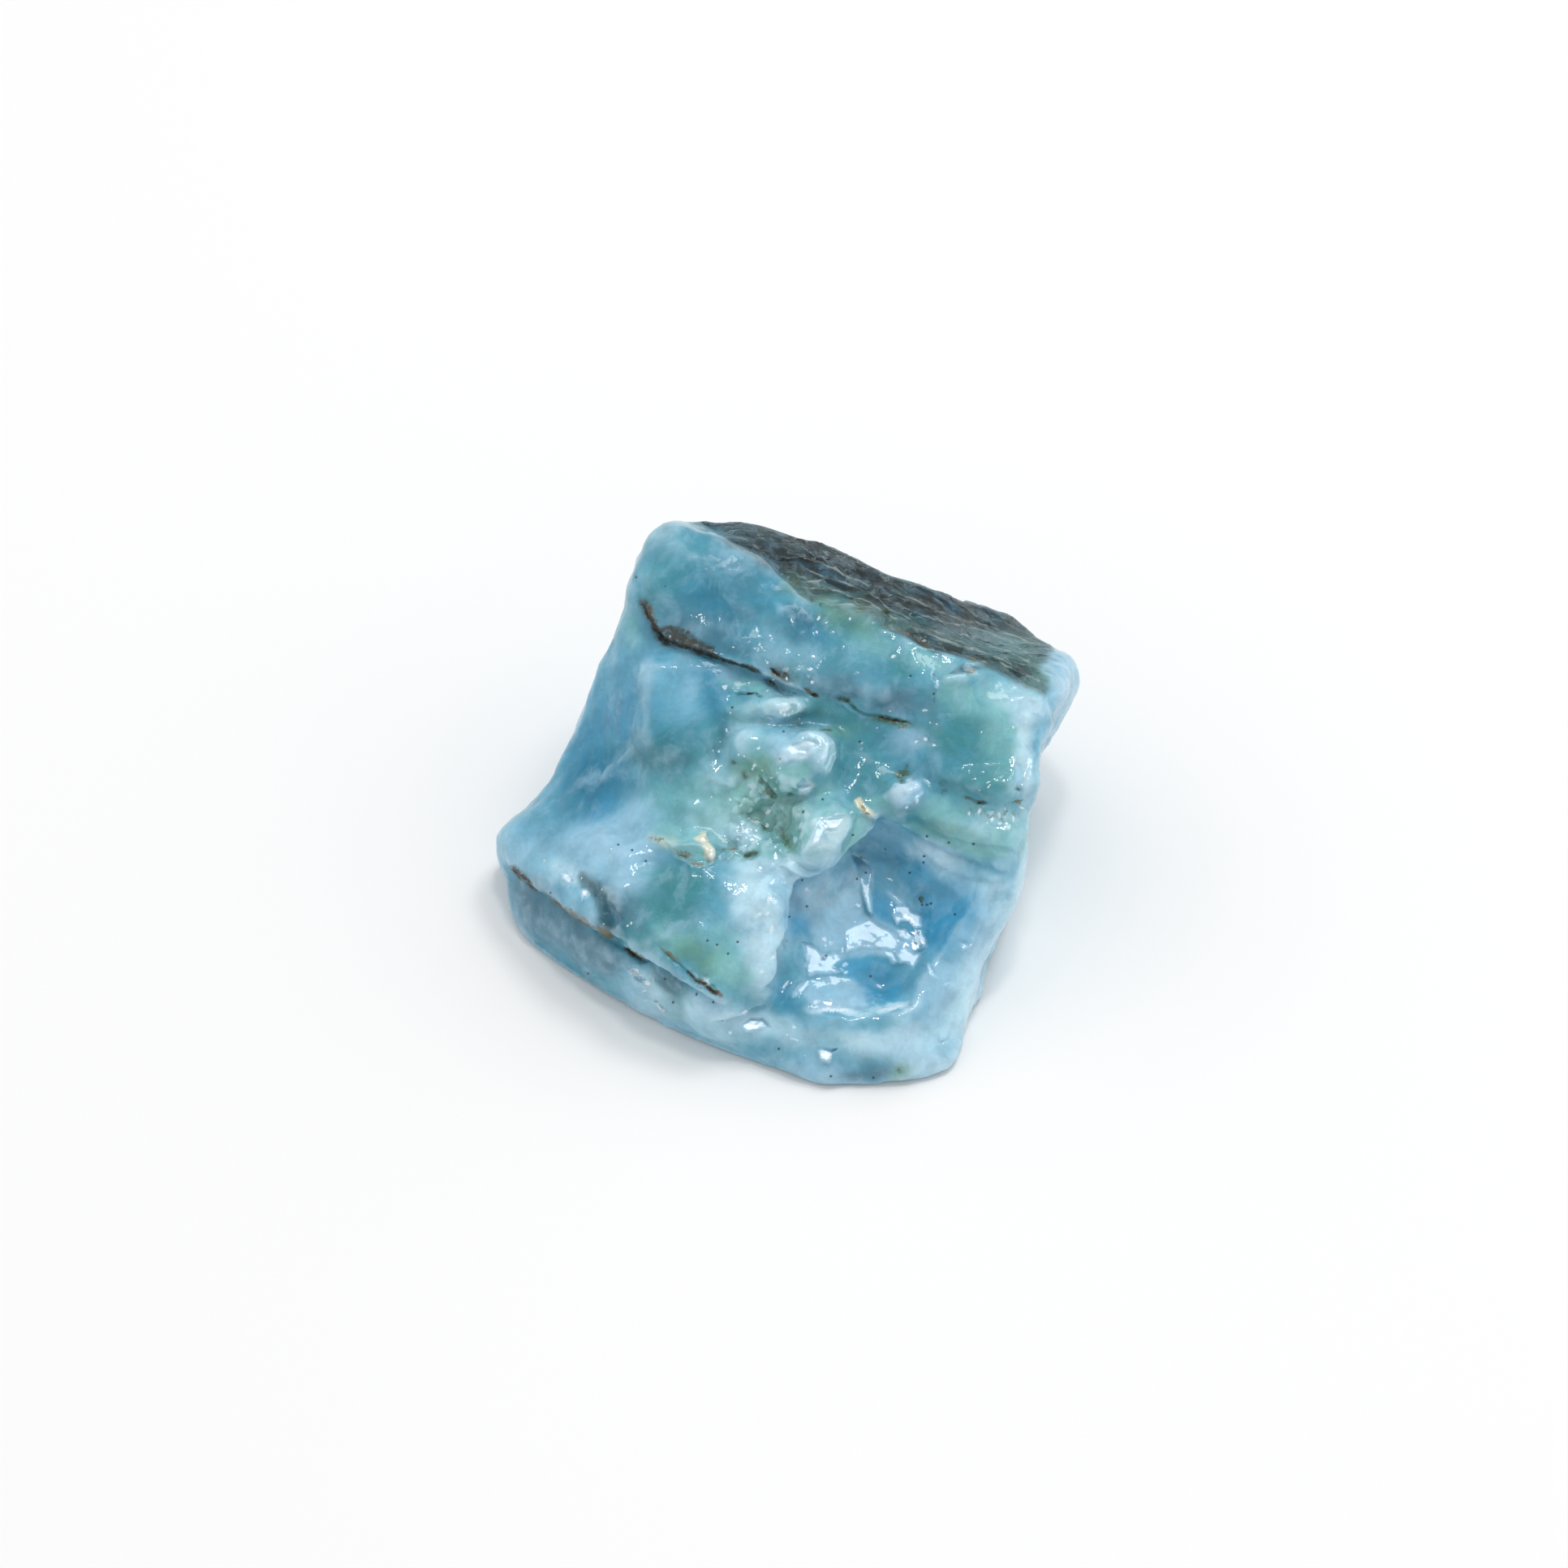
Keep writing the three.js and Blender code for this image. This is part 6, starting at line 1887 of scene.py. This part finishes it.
    def _tones(self, places: Array, spots: Array, drawn: Array, shown: Array, matrix: Array) -> Array:
        """Mixes the stone's tones over its skin.

        Args:
            places: one place per row, mm.
            spots: the same on the layout.
            drawn: the spots, wobbled.
            shown: 1 where the skin faces the layout, else 0.
            matrix: 1 where the matrix is.

        Returns:
            One colour per place.
        """
        noise = self.noise
        ways = np.stack([drift.over(noise, places) for drift in self.drifts], axis=1)
        drifted = spots + self.drift * ways
        base = self.bases.over(noise, places)
        plain = {
            Tone.SKY: 0.12 + 0.2 * np.clip(-base, 0, 1),
            Tone.LAGOON: 0.3 + 0.5 * np.clip(base, 0, 1),
            Tone.HAZE: 0.4 * np.clip(self.milks.over(noise, places), 0, 1),
            Tone.TEAL: 0.4 * np.clip(self.teals.over(noise, places), 0, 1),
        }
        weights = {tone: weight * (1.0 - matrix) for tone, weight in plain.items()}
        weights[Tone.IRON] = self.iron * matrix
        for item in STAINS:
            at = drawn if isinstance(item.shape, Area) else drifted
            added = shown * item.strength * item.shape.weight(at)
            weights[item.tone] = weights.get(item.tone, 0.0) + added
        # painted reflection: the small mirror facets get the pale haze tone laid over them
        mirrors = [facet.outline for facet in FACETS if facet.lean is GLINT]
        plates = sum(smooth_step(mirror.inside(drawn), -0.06, 0.08) for mirror in mirrors)
        weights[Tone.HAZE] = weights[Tone.HAZE] + self.plate * np.clip(plates, 0.0, 1.0) * shown
        colour = sum(weight[:, None] * np.array(tone.value) for tone, weight in weights.items())
        colour /= sum(weights.values())[:, None]
        gain = np.array(self.gain) * (1.0 - matrix[:, None] * (1.0 - np.array(self.matrix_gain)))
        return gain * colour**self.contrast

    def _polish(self, places: Array, spots: Array, drawn: Array) -> Array:
        """Works out how wet the skin looks.

        Args:
            places: one place per row, mm.
            spots: the same on the layout.
            drawn: the spots, wobbled.

        Returns:
            1 on crisp facets and beads, less on the dull plates.
        """
        crisp = [facet.outline for facet in FACETS if facet.edge < self.crisp_edge]
        facets = sum(face.inside(drawn) > -0.1 for face in crisp)
        wet = total(WET, spots) * (self.wet + self.wet_change * self.wets.over(self.noise, places))
        dull = self.dull * (1.0 - total(DRY, spots))
        return np.clip(dull + wet + facets + total(GLINTS, spots), 0.0, 1.0)


class Nodes:
    """Builds a material's node tree, one step at a time."""

    def __init__(self, name: str) -> None:
        """Starts a material with its Principled shader.

        Args:
            name: the material's name.
        """
        self.material = bpy.data.materials.new(name)
        self.material.use_nodes = True
        self.tree = self.material.node_tree
        self.shader = self.tree.nodes["Principled BSDF"]

    def put(self, socket: Socket, value: Feed) -> None:
        """Links a socket, or writes a plain value into it.

        Args:
            socket: an input.
            value: an output to link, or a number, vector or colour.
        """
        if isinstance(value, Socket):
            self.tree.links.new(value, socket)
        elif isinstance(value, tuple) and socket.type == "RGBA":
            socket.default_value = (*value, 1.0)
        else:
            socket.default_value = value

    def new(self, kind: str, feeds: dict[str | int, Feed], **options: str) -> bpy.types.Node:
        """Adds a node.

        Args:
            kind: its type, without the usual beginning.
            feeds: what goes into its inputs, by name or number. None leaves one as it is.
            options: its own settings.

        Returns:
            The node.
        """
        node = self.tree.nodes.new("ShaderNode" + kind)
        for option, choice in options.items():
            setattr(node, option, choice)
        for key, value in feeds.items():
            if value is not None:
                self.put(node.inputs[key], value)
        return node

    def attribute(self, name: str) -> Socket:
        """Reads a row of three stored on the mesh."""
        return self.new("Attribute", {}, attribute_name=name).outputs["Vector"]

    def number(self, name: str) -> Socket:
        """Reads a number stored on the mesh."""
        return self.new("Attribute", {}, attribute_name=name).outputs["Fac"]

    def parts(self, vector: Feed) -> tuple[Socket, ...]:
        """Splits a vector into its three parts."""
        return tuple(self.new("SeparateXYZ", {0: vector}).outputs)

    def join(self, x: Feed, y: Feed, z: Feed) -> Socket:
        """Makes a vector of three numbers."""
        return self.new("CombineXYZ", {0: x, 1: y, 2: z}).outputs[0]

    def face_places(self, face: FaceFrame) -> Socket:
        """Turns the object's own coordinates into the face frame's.

        Args:
            face: the frame.

        Returns:
            Its u, v and w, in mm.
        """
        feeds = {
            "Vector": self.new("TexCoord", {}).outputs["Object"],
            "Location": tuple(-face.axes() @ np.array(face.origin)),
            "Rotation": (-math.radians(face.lean), 0.0, 0.0),
            "Scale": (1.0 / MM,) * 3,
        }
        return self.new("Mapping", feeds).outputs[0]

    def vector(self, operation: str, a: Feed, b: Feed = None, scale: Feed = None) -> Socket:
        """Does vector maths.

        Args:
            operation: what it does.
            a: the first vector.
            b: the second one, where it takes two.
            scale: a number, where it takes one.

        Returns:
            The vector, or the number that a dot product gives.
        """
        node = self.new("VectorMath", {0: a, 1: b, "Scale": scale}, operation=operation)
        return node.outputs["Value" if operation == "DOT_PRODUCT" else "Vector"]

    def noise(
        self, place: Feed, span: float, detail: float = 3.0, rough: float = 0.5, twist: float = 0.0
    ) -> Socket:
        """Makes layered noise.

        Args:
            place: where, in mm.
            span: how wide its widest features are, mm.
            detail: how many finer layers it has.
            rough: how strong each layer is against the one before.
            twist: how much it is bent.

        Returns:
            The noise, 0 to 1.
        """
        feeds = {"Vector": place, "Scale": 1.0 / span, "Detail": detail}
        return self.new("TexNoise", {**feeds, "Roughness": rough, "Distortion": twist}).outputs["Fac"]

    def shaken(self, place: Socket, span: float, detail: float, reach: float) -> Socket:
        """Moves places about by noise.

        Args:
            place: where, in mm.
            span: how wide the noise's features are, mm.
            detail: how many finer layers it has.
            reach: how far it moves them.

        Returns:
            The moved places.
        """
        noise = self.new("TexNoise", {"Vector": place, "Scale": 1.0 / span, "Detail": detail})
        way = self.vector("SUBTRACT", noise.outputs["Color"], (0.5, 0.5, 0.5))
        return self.vector("ADD", place, self.vector("SCALE", way, scale=reach))

    def cells(self, place: Feed, span: float) -> tuple[Socket, Socket]:
        """Splits space into cells about one span across.

        Args:
            place: where, in mm.
            span: how wide they are, mm.

        Returns:
            The distance to the nearest seed, and the cell's own number.
        """
        node = self.new("TexVoronoi", {"Vector": place, "Scale": 1.0 / span})
        return node.outputs["Distance"], self.parts(node.outputs["Color"])[0]

    def maths(self, operation: str, a: Feed, b: Feed = None, c: Feed = None) -> Socket:
        """Does maths with up to three numbers."""
        return self.new("Math", {0: a, 1: b, 2: c}, operation=operation).outputs[0]

    def times(self, a: Feed, b: Feed) -> Socket:
        """Multiplies two numbers."""
        return self.maths("MULTIPLY", a, b)

    def fit(self, value: Feed, low: float, high: float, start: float = 0.0, end: float = 1.0) -> Socket:
        """Carries a range softly to another one, and holds it outside.

        Args:
            value: the number.
            low: it gives start here.
            high: it gives end here.
            start: the first result.
            end: the last result.

        Returns:
            The carried number.
        """
        feeds = {"Value": value, "From Min": low, "From Max": high, "To Min": start, "To Max": end}
        return self.new("MapRange", feeds, interpolation_type="SMOOTHSTEP").outputs["Result"]

    def wash(self, colour: Feed, *washes: tuple[Feed, Enum]) -> Feed:
        """Lays washes over a colour, one after the other.

        Args:
            colour: what is under them.
            washes: the share of each, and its colour.

        Returns:
            The washed colour.
        """
        for share, over in washes:
            colour = self.new("Mix", {"Factor": share, 6: colour, 7: over.value}, data_type="RGBA").outputs[2]
        return colour

    def bump(self, height: Feed, depth: float, under: Feed = None) -> Socket:
        """Fine relief, depth in mm, over another normal."""
        feeds = {"Distance": depth * MM, "Height": height, "Normal": under}
        return self.new("Bump", feeds).outputs["Normal"]


@dataclass(frozen=True)
class Larimar:
    """The stone's one finish: milky blue pectolite with a wet, worn skin."""

    name: str = "larimar"
    cloud: float = 2.6  # span of the milky clouds, mm
    cloud_ways: tuple[Way, Way] = ((0.24, 0.64, 0.0), (0.94, -0.35, 0.0))  # they are drawn out so
    glow: float = 0.2  # how much light travels under the skin
    glow_way: Way = (0.5, 0.9, 1.1)
    glow_reach: float = 0.0009  # metres
    wet_roughness: float = 0.05
    gloss: float = 0.12  # the skin's own mirror strength under the wet coat
    bead: Spot = (1.5, 0.045)  # span and height of the small beads, mm
    wave: Spot = (1.0, 0.06)  # of the coat's waves
    pore: Spot = (0.3, 0.012)  # of the skin under the coat
    fibre: float = 0.05  # height of the matrix's fibres, mm
    dust: float = 2.2  # span between the scattered grains, mm

    def material(self, face: FaceFrame, stone: Stone) -> bpy.types.Material:
        """Builds the finish.

        Args:
            face: the frame that its patterns lie in.
            stone: gives the ways that the matrix's fibres run.

        Returns:
            The material.
        """
        n = Nodes(self.name)
        place = n.face_places(face)
        seams = n.parts(n.attribute("seams"))
        grime, strands, specks = n.parts(n.attribute("marks"))
        broad, close, matrix = n.parts(n.attribute("form"))

        colour = self._body(n, place, broad, close)
        colour, fibres = self._matrix(n, place, colour, matrix, strands, stone)
        colour = self._stains(n, place, colour, seams, grime, specks)
        n.put(n.shader.inputs["Base Color"], self._veins_and_painted_glints(n, place, colour))

        polish = n.number("polish")
        rough = n.fit(n.noise(place, 0.35, 4.0, 0.6), 0.3, 0.7, 0.3, 0.5)
        waves = n.times(n.noise(place, self.wave[0], 3.0, 0.55), n.fit(polish, 0.65, 1.0, 1.0, 0.35))
        waves = n.bump(self._beads(n, place, matrix), self.bead[1], n.bump(waves, self.wave[1]))
        pores = n.bump(n.noise(place, self.pore[0], 3.0, 0.6), self.pore[1], waves)
        feeds = {
            "Roughness": n.maths("MULTIPLY_ADD", matrix, 0.15, rough),
            "Specular IOR Level": self.gloss,
            "Coat Weight": n.times(polish, n.maths("MULTIPLY_ADD", seams[0], -0.8, 1.0)),
            "Coat Roughness": self.wet_roughness,
            "Coat Normal": waves,
            "Subsurface Weight": self.glow,
            "Subsurface Radius": self.glow_way,
            "Subsurface Scale": self.glow_reach,
            "Normal": n.bump(n.times(fibres, matrix), self.fibre, pores),
        }
        for key, value in feeds.items():
            n.put(n.shader.inputs[key], value)
        return n.material

    def _beads(self, n: Nodes, place: Socket, matrix: Socket) -> Socket:
        """Scatters small wet beads over the skin.

        Args:
            n: the material's nodes.
            place: where, in mm.
            matrix: 1 where the matrix is, which has none.

        Returns:
            Their height, 0 to 1.
        """
        distance, lot = n.cells(n.shaken(place, 0.4, 2.0, 0.3), self.bead[0])
        ratio = n.maths("DIVIDE", distance, n.fit(lot, 0.5, 1.0, 0.001, 0.16))
        dome = n.maths("MAXIMUM", n.maths("SUBTRACT", 1.0, n.times(ratio, ratio)), 0.0)
        return n.times(dome, n.maths("SUBTRACT", 1.0, matrix))

    def _body(self, n: Nodes, place: Socket, broad: Socket, close: Socket) -> Socket:
        """Lays blue and white clouds, painted light on ridges and painted shade in hollows over its tones.

        Args:
            n: the material's nodes.
            place: where, in mm.
            broad: how far the skin stands out from a wide stretch around it, mm.
            close: the same from a narrow stretch.

        Returns:
            The colour.
        """
        drifted = n.shaken(place, 3.0, 3.0, 2.4)
        cloud = n.noise(drifted, self.cloud, 4.0, 0.55)
        across, up = (n.vector("DOT_PRODUCT", drifted, way) for way in self.cloud_ways)
        runs = n.noise(n.join(across, up, n.parts(place)[2]), 1.6, 4.0, 0.6)
        green = n.noise(n.vector("ADD", place, (31.0, 7.0, 3.0)), 4.0, 4.0, 0.55)
        crumbly = n.number("crumbly")
        colour = n.wash(
            n.attribute("tone"),
            (n.fit(cloud, 0.52, 0.74, 0.0, 0.34), Tone.HAZE),
            (n.fit(cloud, 0.5, 0.28, 0.0, 0.36), Tone.DEEP),
            (n.fit(runs, 0.52, 0.72, 0.0, 0.26), Tone.HAZE),
            (n.fit(green, 0.54, 0.72, 0.0, 0.16), Tone.TEAL),
            # painted light and shade: paler where the skin stands out, deeper where it sinks
            (n.fit(broad, 0.1, 0.6, 0.0, 0.18), Tone.MILK),
            (n.fit(broad, -0.1, -0.6, 0.0, 0.25), Tone.DEEP),
            (n.fit(close, 0.02, 0.14, 0.0, 0.2), Tone.MILK),
            (n.fit(close, -0.02, -0.14, 0.0, 0.2), Tone.DEEP),
            # crumbly middle: green in the gaps, white on the crystals' tops;
            # partly their own colours, partly painted shade and painted light
            (n.times(crumbly, n.fit(close, 0.02, -0.08, 0.0, 0.35)), Grime.MOSS),
            (n.times(crumbly, n.fit(close, 0.02, 0.08, 0.0, 0.3)), Tone.WHITE),
        )
        shade = n.fit(n.noise(drifted, 1.4, 4.0, 0.6), 0.3, 0.7, 0.9, 1.08)
        grain = n.fit(n.noise(drifted, 0.4, 3.0, 0.7), 0.3, 0.7, 0.965, 1.035)
        return n.vector("SCALE", colour, scale=n.times(shade, grain))

    def _matrix(
        self, n: Nodes, place: Socket, colour: Socket, matrix: Socket, strands: Socket, stone: Stone
    ) -> tuple[Socket, Socket]:
        """Draws the dark fibrous matrix on the top.

        Args:
            n: the material's nodes.
            place: where, in mm.
            colour: what is under it.
            matrix: 1 where the matrix is.
            strands: 1 along its pale strands.
            stone: gives the ways that the fibres run.

        Returns:
            The colour, and the height of the fibres.
        """
        along, across = (n.vector("DOT_PRODUCT", place, way) for way in stone.fibre_ways())
        across = n.maths("MULTIPLY_ADD", n.noise(place, 2.4, 4.0, 0.55), 3.6, across)
        across = n.maths("MULTIPLY_ADD", n.noise(place, 0.7, 2.0, 0.55), 0.5, across)
        fibres = n.noise(n.join(n.times(along, 0.22), across, 0.0), 0.8, 6.0, 0.62, 0.4)
        fine = n.noise(n.join(n.times(along, 0.3), across, 0.0), 1.1, 3.0, 0.5)
        wave = n.maths("ABSOLUTE", n.maths("SUBTRACT", n.maths("FRACT", n.times(fine, 7.0)), 0.5))
        threads = n.times(matrix, n.fit(wave, 0.0, 0.16, 1.0, 0.0))
        patchy = n.fit(n.noise(place, 1.6, 3.0, 0.6), 0.4, 0.65, 0.0, 0.55)
        lines = n.times(matrix, n.fit(strands, 0.65, 1.0, 0.0, 0.6))
        colour = n.wash(
            colour,
            (n.times(matrix, 0.4), Grime.ASH),
            (n.times(matrix, n.fit(fibres, 0.48, 0.36, 0.0, 0.75)), Grime.COAL),
            (n.times(matrix, n.fit(fibres, 0.54, 0.7, 0.0, 0.45)), Grime.FIBRE),
            (n.times(threads, patchy), Grime.THREAD),
            (n.times(lines, n.fit(fibres, 0.42, 0.6, 0.25, 1.0)), Grime.STRAND),
        )
        return colour, fibres

    def _stains(
        self,
        n: Nodes,
        place: Socket,
        colour: Socket,
        seams: tuple[Socket, ...],
        grime: Socket,
        specks: Socket,
    ) -> Socket:
        """Draws brown seams, green pits, rusty edges and dark grains.

        Args:
            n: the material's nodes.
            place: where, in mm.
            colour: what is under them.
            seams: how much dark seam, olive pit and rust there is.
            grime: how much dirt lies beside the seams.
            specks: 1 on the single grains.

        Returns:
            The colour.
        """
        fray = n.fit(n.noise(place, 0.45, 5.0, 0.7), 0.3, 0.7)
        dark, olive, rust, halo = (
            n.times(mask, n.maths("ADD", fray, solid))
            for mask, solid in zip((*seams, grime), (0.45, 0.35, 0.2, 0.7))
        )
        distance, lot = n.cells(place, self.dust)
        dust = n.maths("LESS_THAN", distance, n.fit(lot, 0.8, 1.0, 0.0, 0.045))
        return n.wash(
            colour,
            (n.fit(olive, 0.15, 1.0, 0.0, 0.85), Grime.OLIVE),
            (n.fit(rust, 0.25, 0.75, 0.0, 0.8), Grime.RUST),
            (n.fit(halo, 0.15, 1.3, 0.0, 0.92), Grime.DIRT),
            (n.fit(dark, 0.22, 0.75, 0.0, 0.85), Grime.SEAM),
            (n.fit(specks, 0.25, 0.7, 0.0, 0.85), Grime.GRAIN),
            (n.times(dust, 0.7), Grime.DUST),
        )

    def _veins_and_painted_glints(self, n: Nodes, place: Socket, colour: Socket) -> Socket:
        """Draws veins on the hidden sides, and painted highlights, white, on the glints.

        Args:
            n: the material's nodes.
            place: where, in mm.
            colour: what is under them.

        Returns:
            The colour.
        """
        vein = n.maths("ABSOLUTE", n.maths("SUBTRACT", n.noise(place, 6.0, 5.0, 0.6), 0.5))
        broken = n.fit(n.noise(place, 2.0, 3.0), 0.46, 0.62, 0.0, 0.8)
        vein = n.times(n.fit(vein, 0.0, 0.009, 1.0, 0.0), broken)
        painted_glint = n.times(n.noise(place, 0.16, 2.0, 0.6), n.number("glints"))
        return n.wash(
            colour,
            (n.times(vein, n.number("behind")), Grime.VEIN),
            # painted highlight: white on the glints
            (n.fit(painted_glint, 0.26, 0.4, 0.0, 0.8), Tone.WHITE),
        )


@dataclass(frozen=True)
class Flag:
    """A dark card that keeps the surround from one direction."""

    way: Way
    spread: Spot  # how straight towards it the dimming starts, and where it is full
    dim: float  # the share of the light that it takes


@dataclass(frozen=True)
class Softbox:
    """A rectangular light that looks at the stone."""

    name: str
    bearing: float  # degrees from straight behind the stone, to the right
    height: float  # degrees above the floor
    size: Spot
    power: float  # watts
    far: float = 0.8

    def build(self) -> None:
        """Makes the light."""
        way = Vector(far_way(self.bearing, self.height))
        lamp = bpy.data.lights.new(self.name, "AREA")
        lamp.shape = "RECTANGLE"
        lamp.size, lamp.size_y = self.size
        lamp.energy = self.power
        holder = bpy.data.objects.new(self.name, lamp)
        holder.location = way * self.far
        holder.rotation_mode = "QUATERNION"
        holder.rotation_quaternion = (-way).to_track_quat("-Z", "Y")
        bpy.context.scene.collection.objects.link(holder)


@dataclass
class Studio:
    """The pale floor, the soft light and the camera."""

    lens: float = 132.2
    sensor: float = 36.0
    clip: Spot = (0.01, 20.0)
    sky: float = 1.0  # strength of the surround as light
    seen: float = 1.0  # and as the camera sees it
    white: tuple[float, ...] = (1.0, 1.0, 1.0, 1.0)
    flags: tuple[Flag, ...] = (
        Flag((0.0, -0.669, 0.743), (0.4, 0.95), 0.5),
        Flag((0.0, 0.985, 0.17), (0.75, 0.97), 0.75),
    )
    softboxes: tuple[Softbox, ...] = (
        Softbox("softbox", SOFTBOX_BEARING, SOFTBOX_HEIGHT, (0.26, 0.2), 1.25),
        Softbox("small softbox", 40.0, 84.0, (0.09, 0.09), 0.9),
    )
    floor_size: float = 3.0
    floor_white: tuple[float, ...] = (0.93, 0.93, 0.93, 1.0)

    def build(self, face: FaceFrame) -> None:
        """Makes the floor, the lights and the camera.

        Args:
            face: the face that the camera looks at.
        """
        self._floor()
        self._sky()
        for softbox in self.softboxes:
            softbox.build()
        self._camera(face)

    def _floor(self) -> None:
        """A wide matt white floor."""
        bpy.ops.object.select_all(action="DESELECT")
        bpy.ops.mesh.primitive_plane_add(size=self.floor_size)
        floor = bpy.context.object
        floor.name = "floor"
        n = Nodes("floor")
        n.shader.inputs["Base Color"].default_value = self.floor_white
        n.shader.inputs["Roughness"].default_value = 1.0
        n.shader.inputs["Specular IOR Level"].default_value = 0.0
        floor.data.materials.append(n.material)

    def _sky(self) -> None:
        """A white surround with dark cards in it."""
        world = bpy.data.worlds.new("studio")
        bpy.context.scene.world = world
        world.use_nodes = True
        tree = world.node_tree
        way = tree.nodes.new("ShaderNodeTexCoord").outputs["Generated"]
        light = tree.nodes["Background"]
        light.inputs["Color"].default_value = self.white
        strength = None
        for flag in self.flags:
            towards = tree.nodes.new("ShaderNodeVectorMath")
            towards.operation = "DOT_PRODUCT"
            towards.inputs[1].default_value = flag.way
            tree.links.new(way, towards.inputs[0])
            left = self._ramp(tree, towards.outputs["Value"], flag.spread, (1.0, 1.0 - flag.dim))
            times = tree.nodes.new("ShaderNodeMath")
            times.operation = "MULTIPLY"
            tree.links.new(left, times.inputs[0])
            if strength is None:
                times.inputs[1].default_value = self.sky
            else:
                tree.links.new(strength, times.inputs[1])
            strength = times.outputs[0]
        tree.links.new(strength, light.inputs["Strength"])
        backdrop = tree.nodes.new("ShaderNodeBackground")
        backdrop.inputs["Color"].default_value = self.white
        backdrop.inputs["Strength"].default_value = self.seen
        pick = tree.nodes.new("ShaderNodeMixShader")
        path = tree.nodes.new("ShaderNodeLightPath")
        tree.links.new(path.outputs["Is Camera Ray"], pick.inputs["Fac"])
        tree.links.new(light.outputs[0], pick.inputs[1])
        tree.links.new(backdrop.outputs[0], pick.inputs[2])
        tree.links.new(pick.outputs[0], tree.nodes["World Output"].inputs["Surface"])

    def _ramp(self, tree: bpy.types.NodeTree, value: Socket, start: Spot, end: Spot) -> Socket:
        """Carries a number softly from one range to another.

        Args:
            tree: the node tree.
            value: the number's socket.
            start: the range it comes from.
            end: the range it goes to.

        Returns:
            The result's socket.
        """
        node = tree.nodes.new("ShaderNodeMapRange")
        node.interpolation_type = "SMOOTHSTEP"
        tree.links.new(value, node.inputs["Value"])
        for name, number in zip(("From Min", "From Max", "To Min", "To Max"), (*start, *end)):
            node.inputs[name].default_value = number
        return node.outputs["Result"]

    def _camera(self, face: FaceFrame) -> None:
        """Puts the camera straight out from the broad face, at the sight point.

        Args:
            face: the face that it looks at.
        """
        foot = np.array([[*face.sight_foot, 0.0]])
        eye = np.array([[*face.sight_foot, face.sight]])
        aim, place = (Vector(face.points(spot)[0]) for spot in (foot, eye))
        lens = bpy.data.cameras.new("camera")
        lens.lens = self.lens
        lens.sensor_width = self.sensor
        lens.clip_start, lens.clip_end = self.clip
        camera = bpy.data.objects.new("camera", lens)
        camera.location = place
        camera.rotation_mode = "QUATERNION"
        camera.rotation_quaternion = (aim - place).to_track_quat("-Z", "Y")
        bpy.context.scene.collection.objects.link(camera)
        bpy.context.scene.camera = camera


def main() -> None:
    """Builds the stone and the studio, and reports each piece."""
    logging.basicConfig(level=logging.INFO, format="%(name)s: %(message)s")
    bpy.context.scene.view_settings.view_transform = "Standard"
    stone = Stone()
    piece = stone.build()
    piece.data.materials.append(Larimar().material(stone.face, stone))
    triangles = len(piece.data.loops) - 2 * len(piece.data.polygons)
    LOG.info("%s: %d corners, %d triangles", piece.name, len(piece.data.vertices), triangles)
    Studio().build(stone.face)
    LOG.info("studio: floor, sky, softbox and camera")


if __name__ == "__main__":
    main()
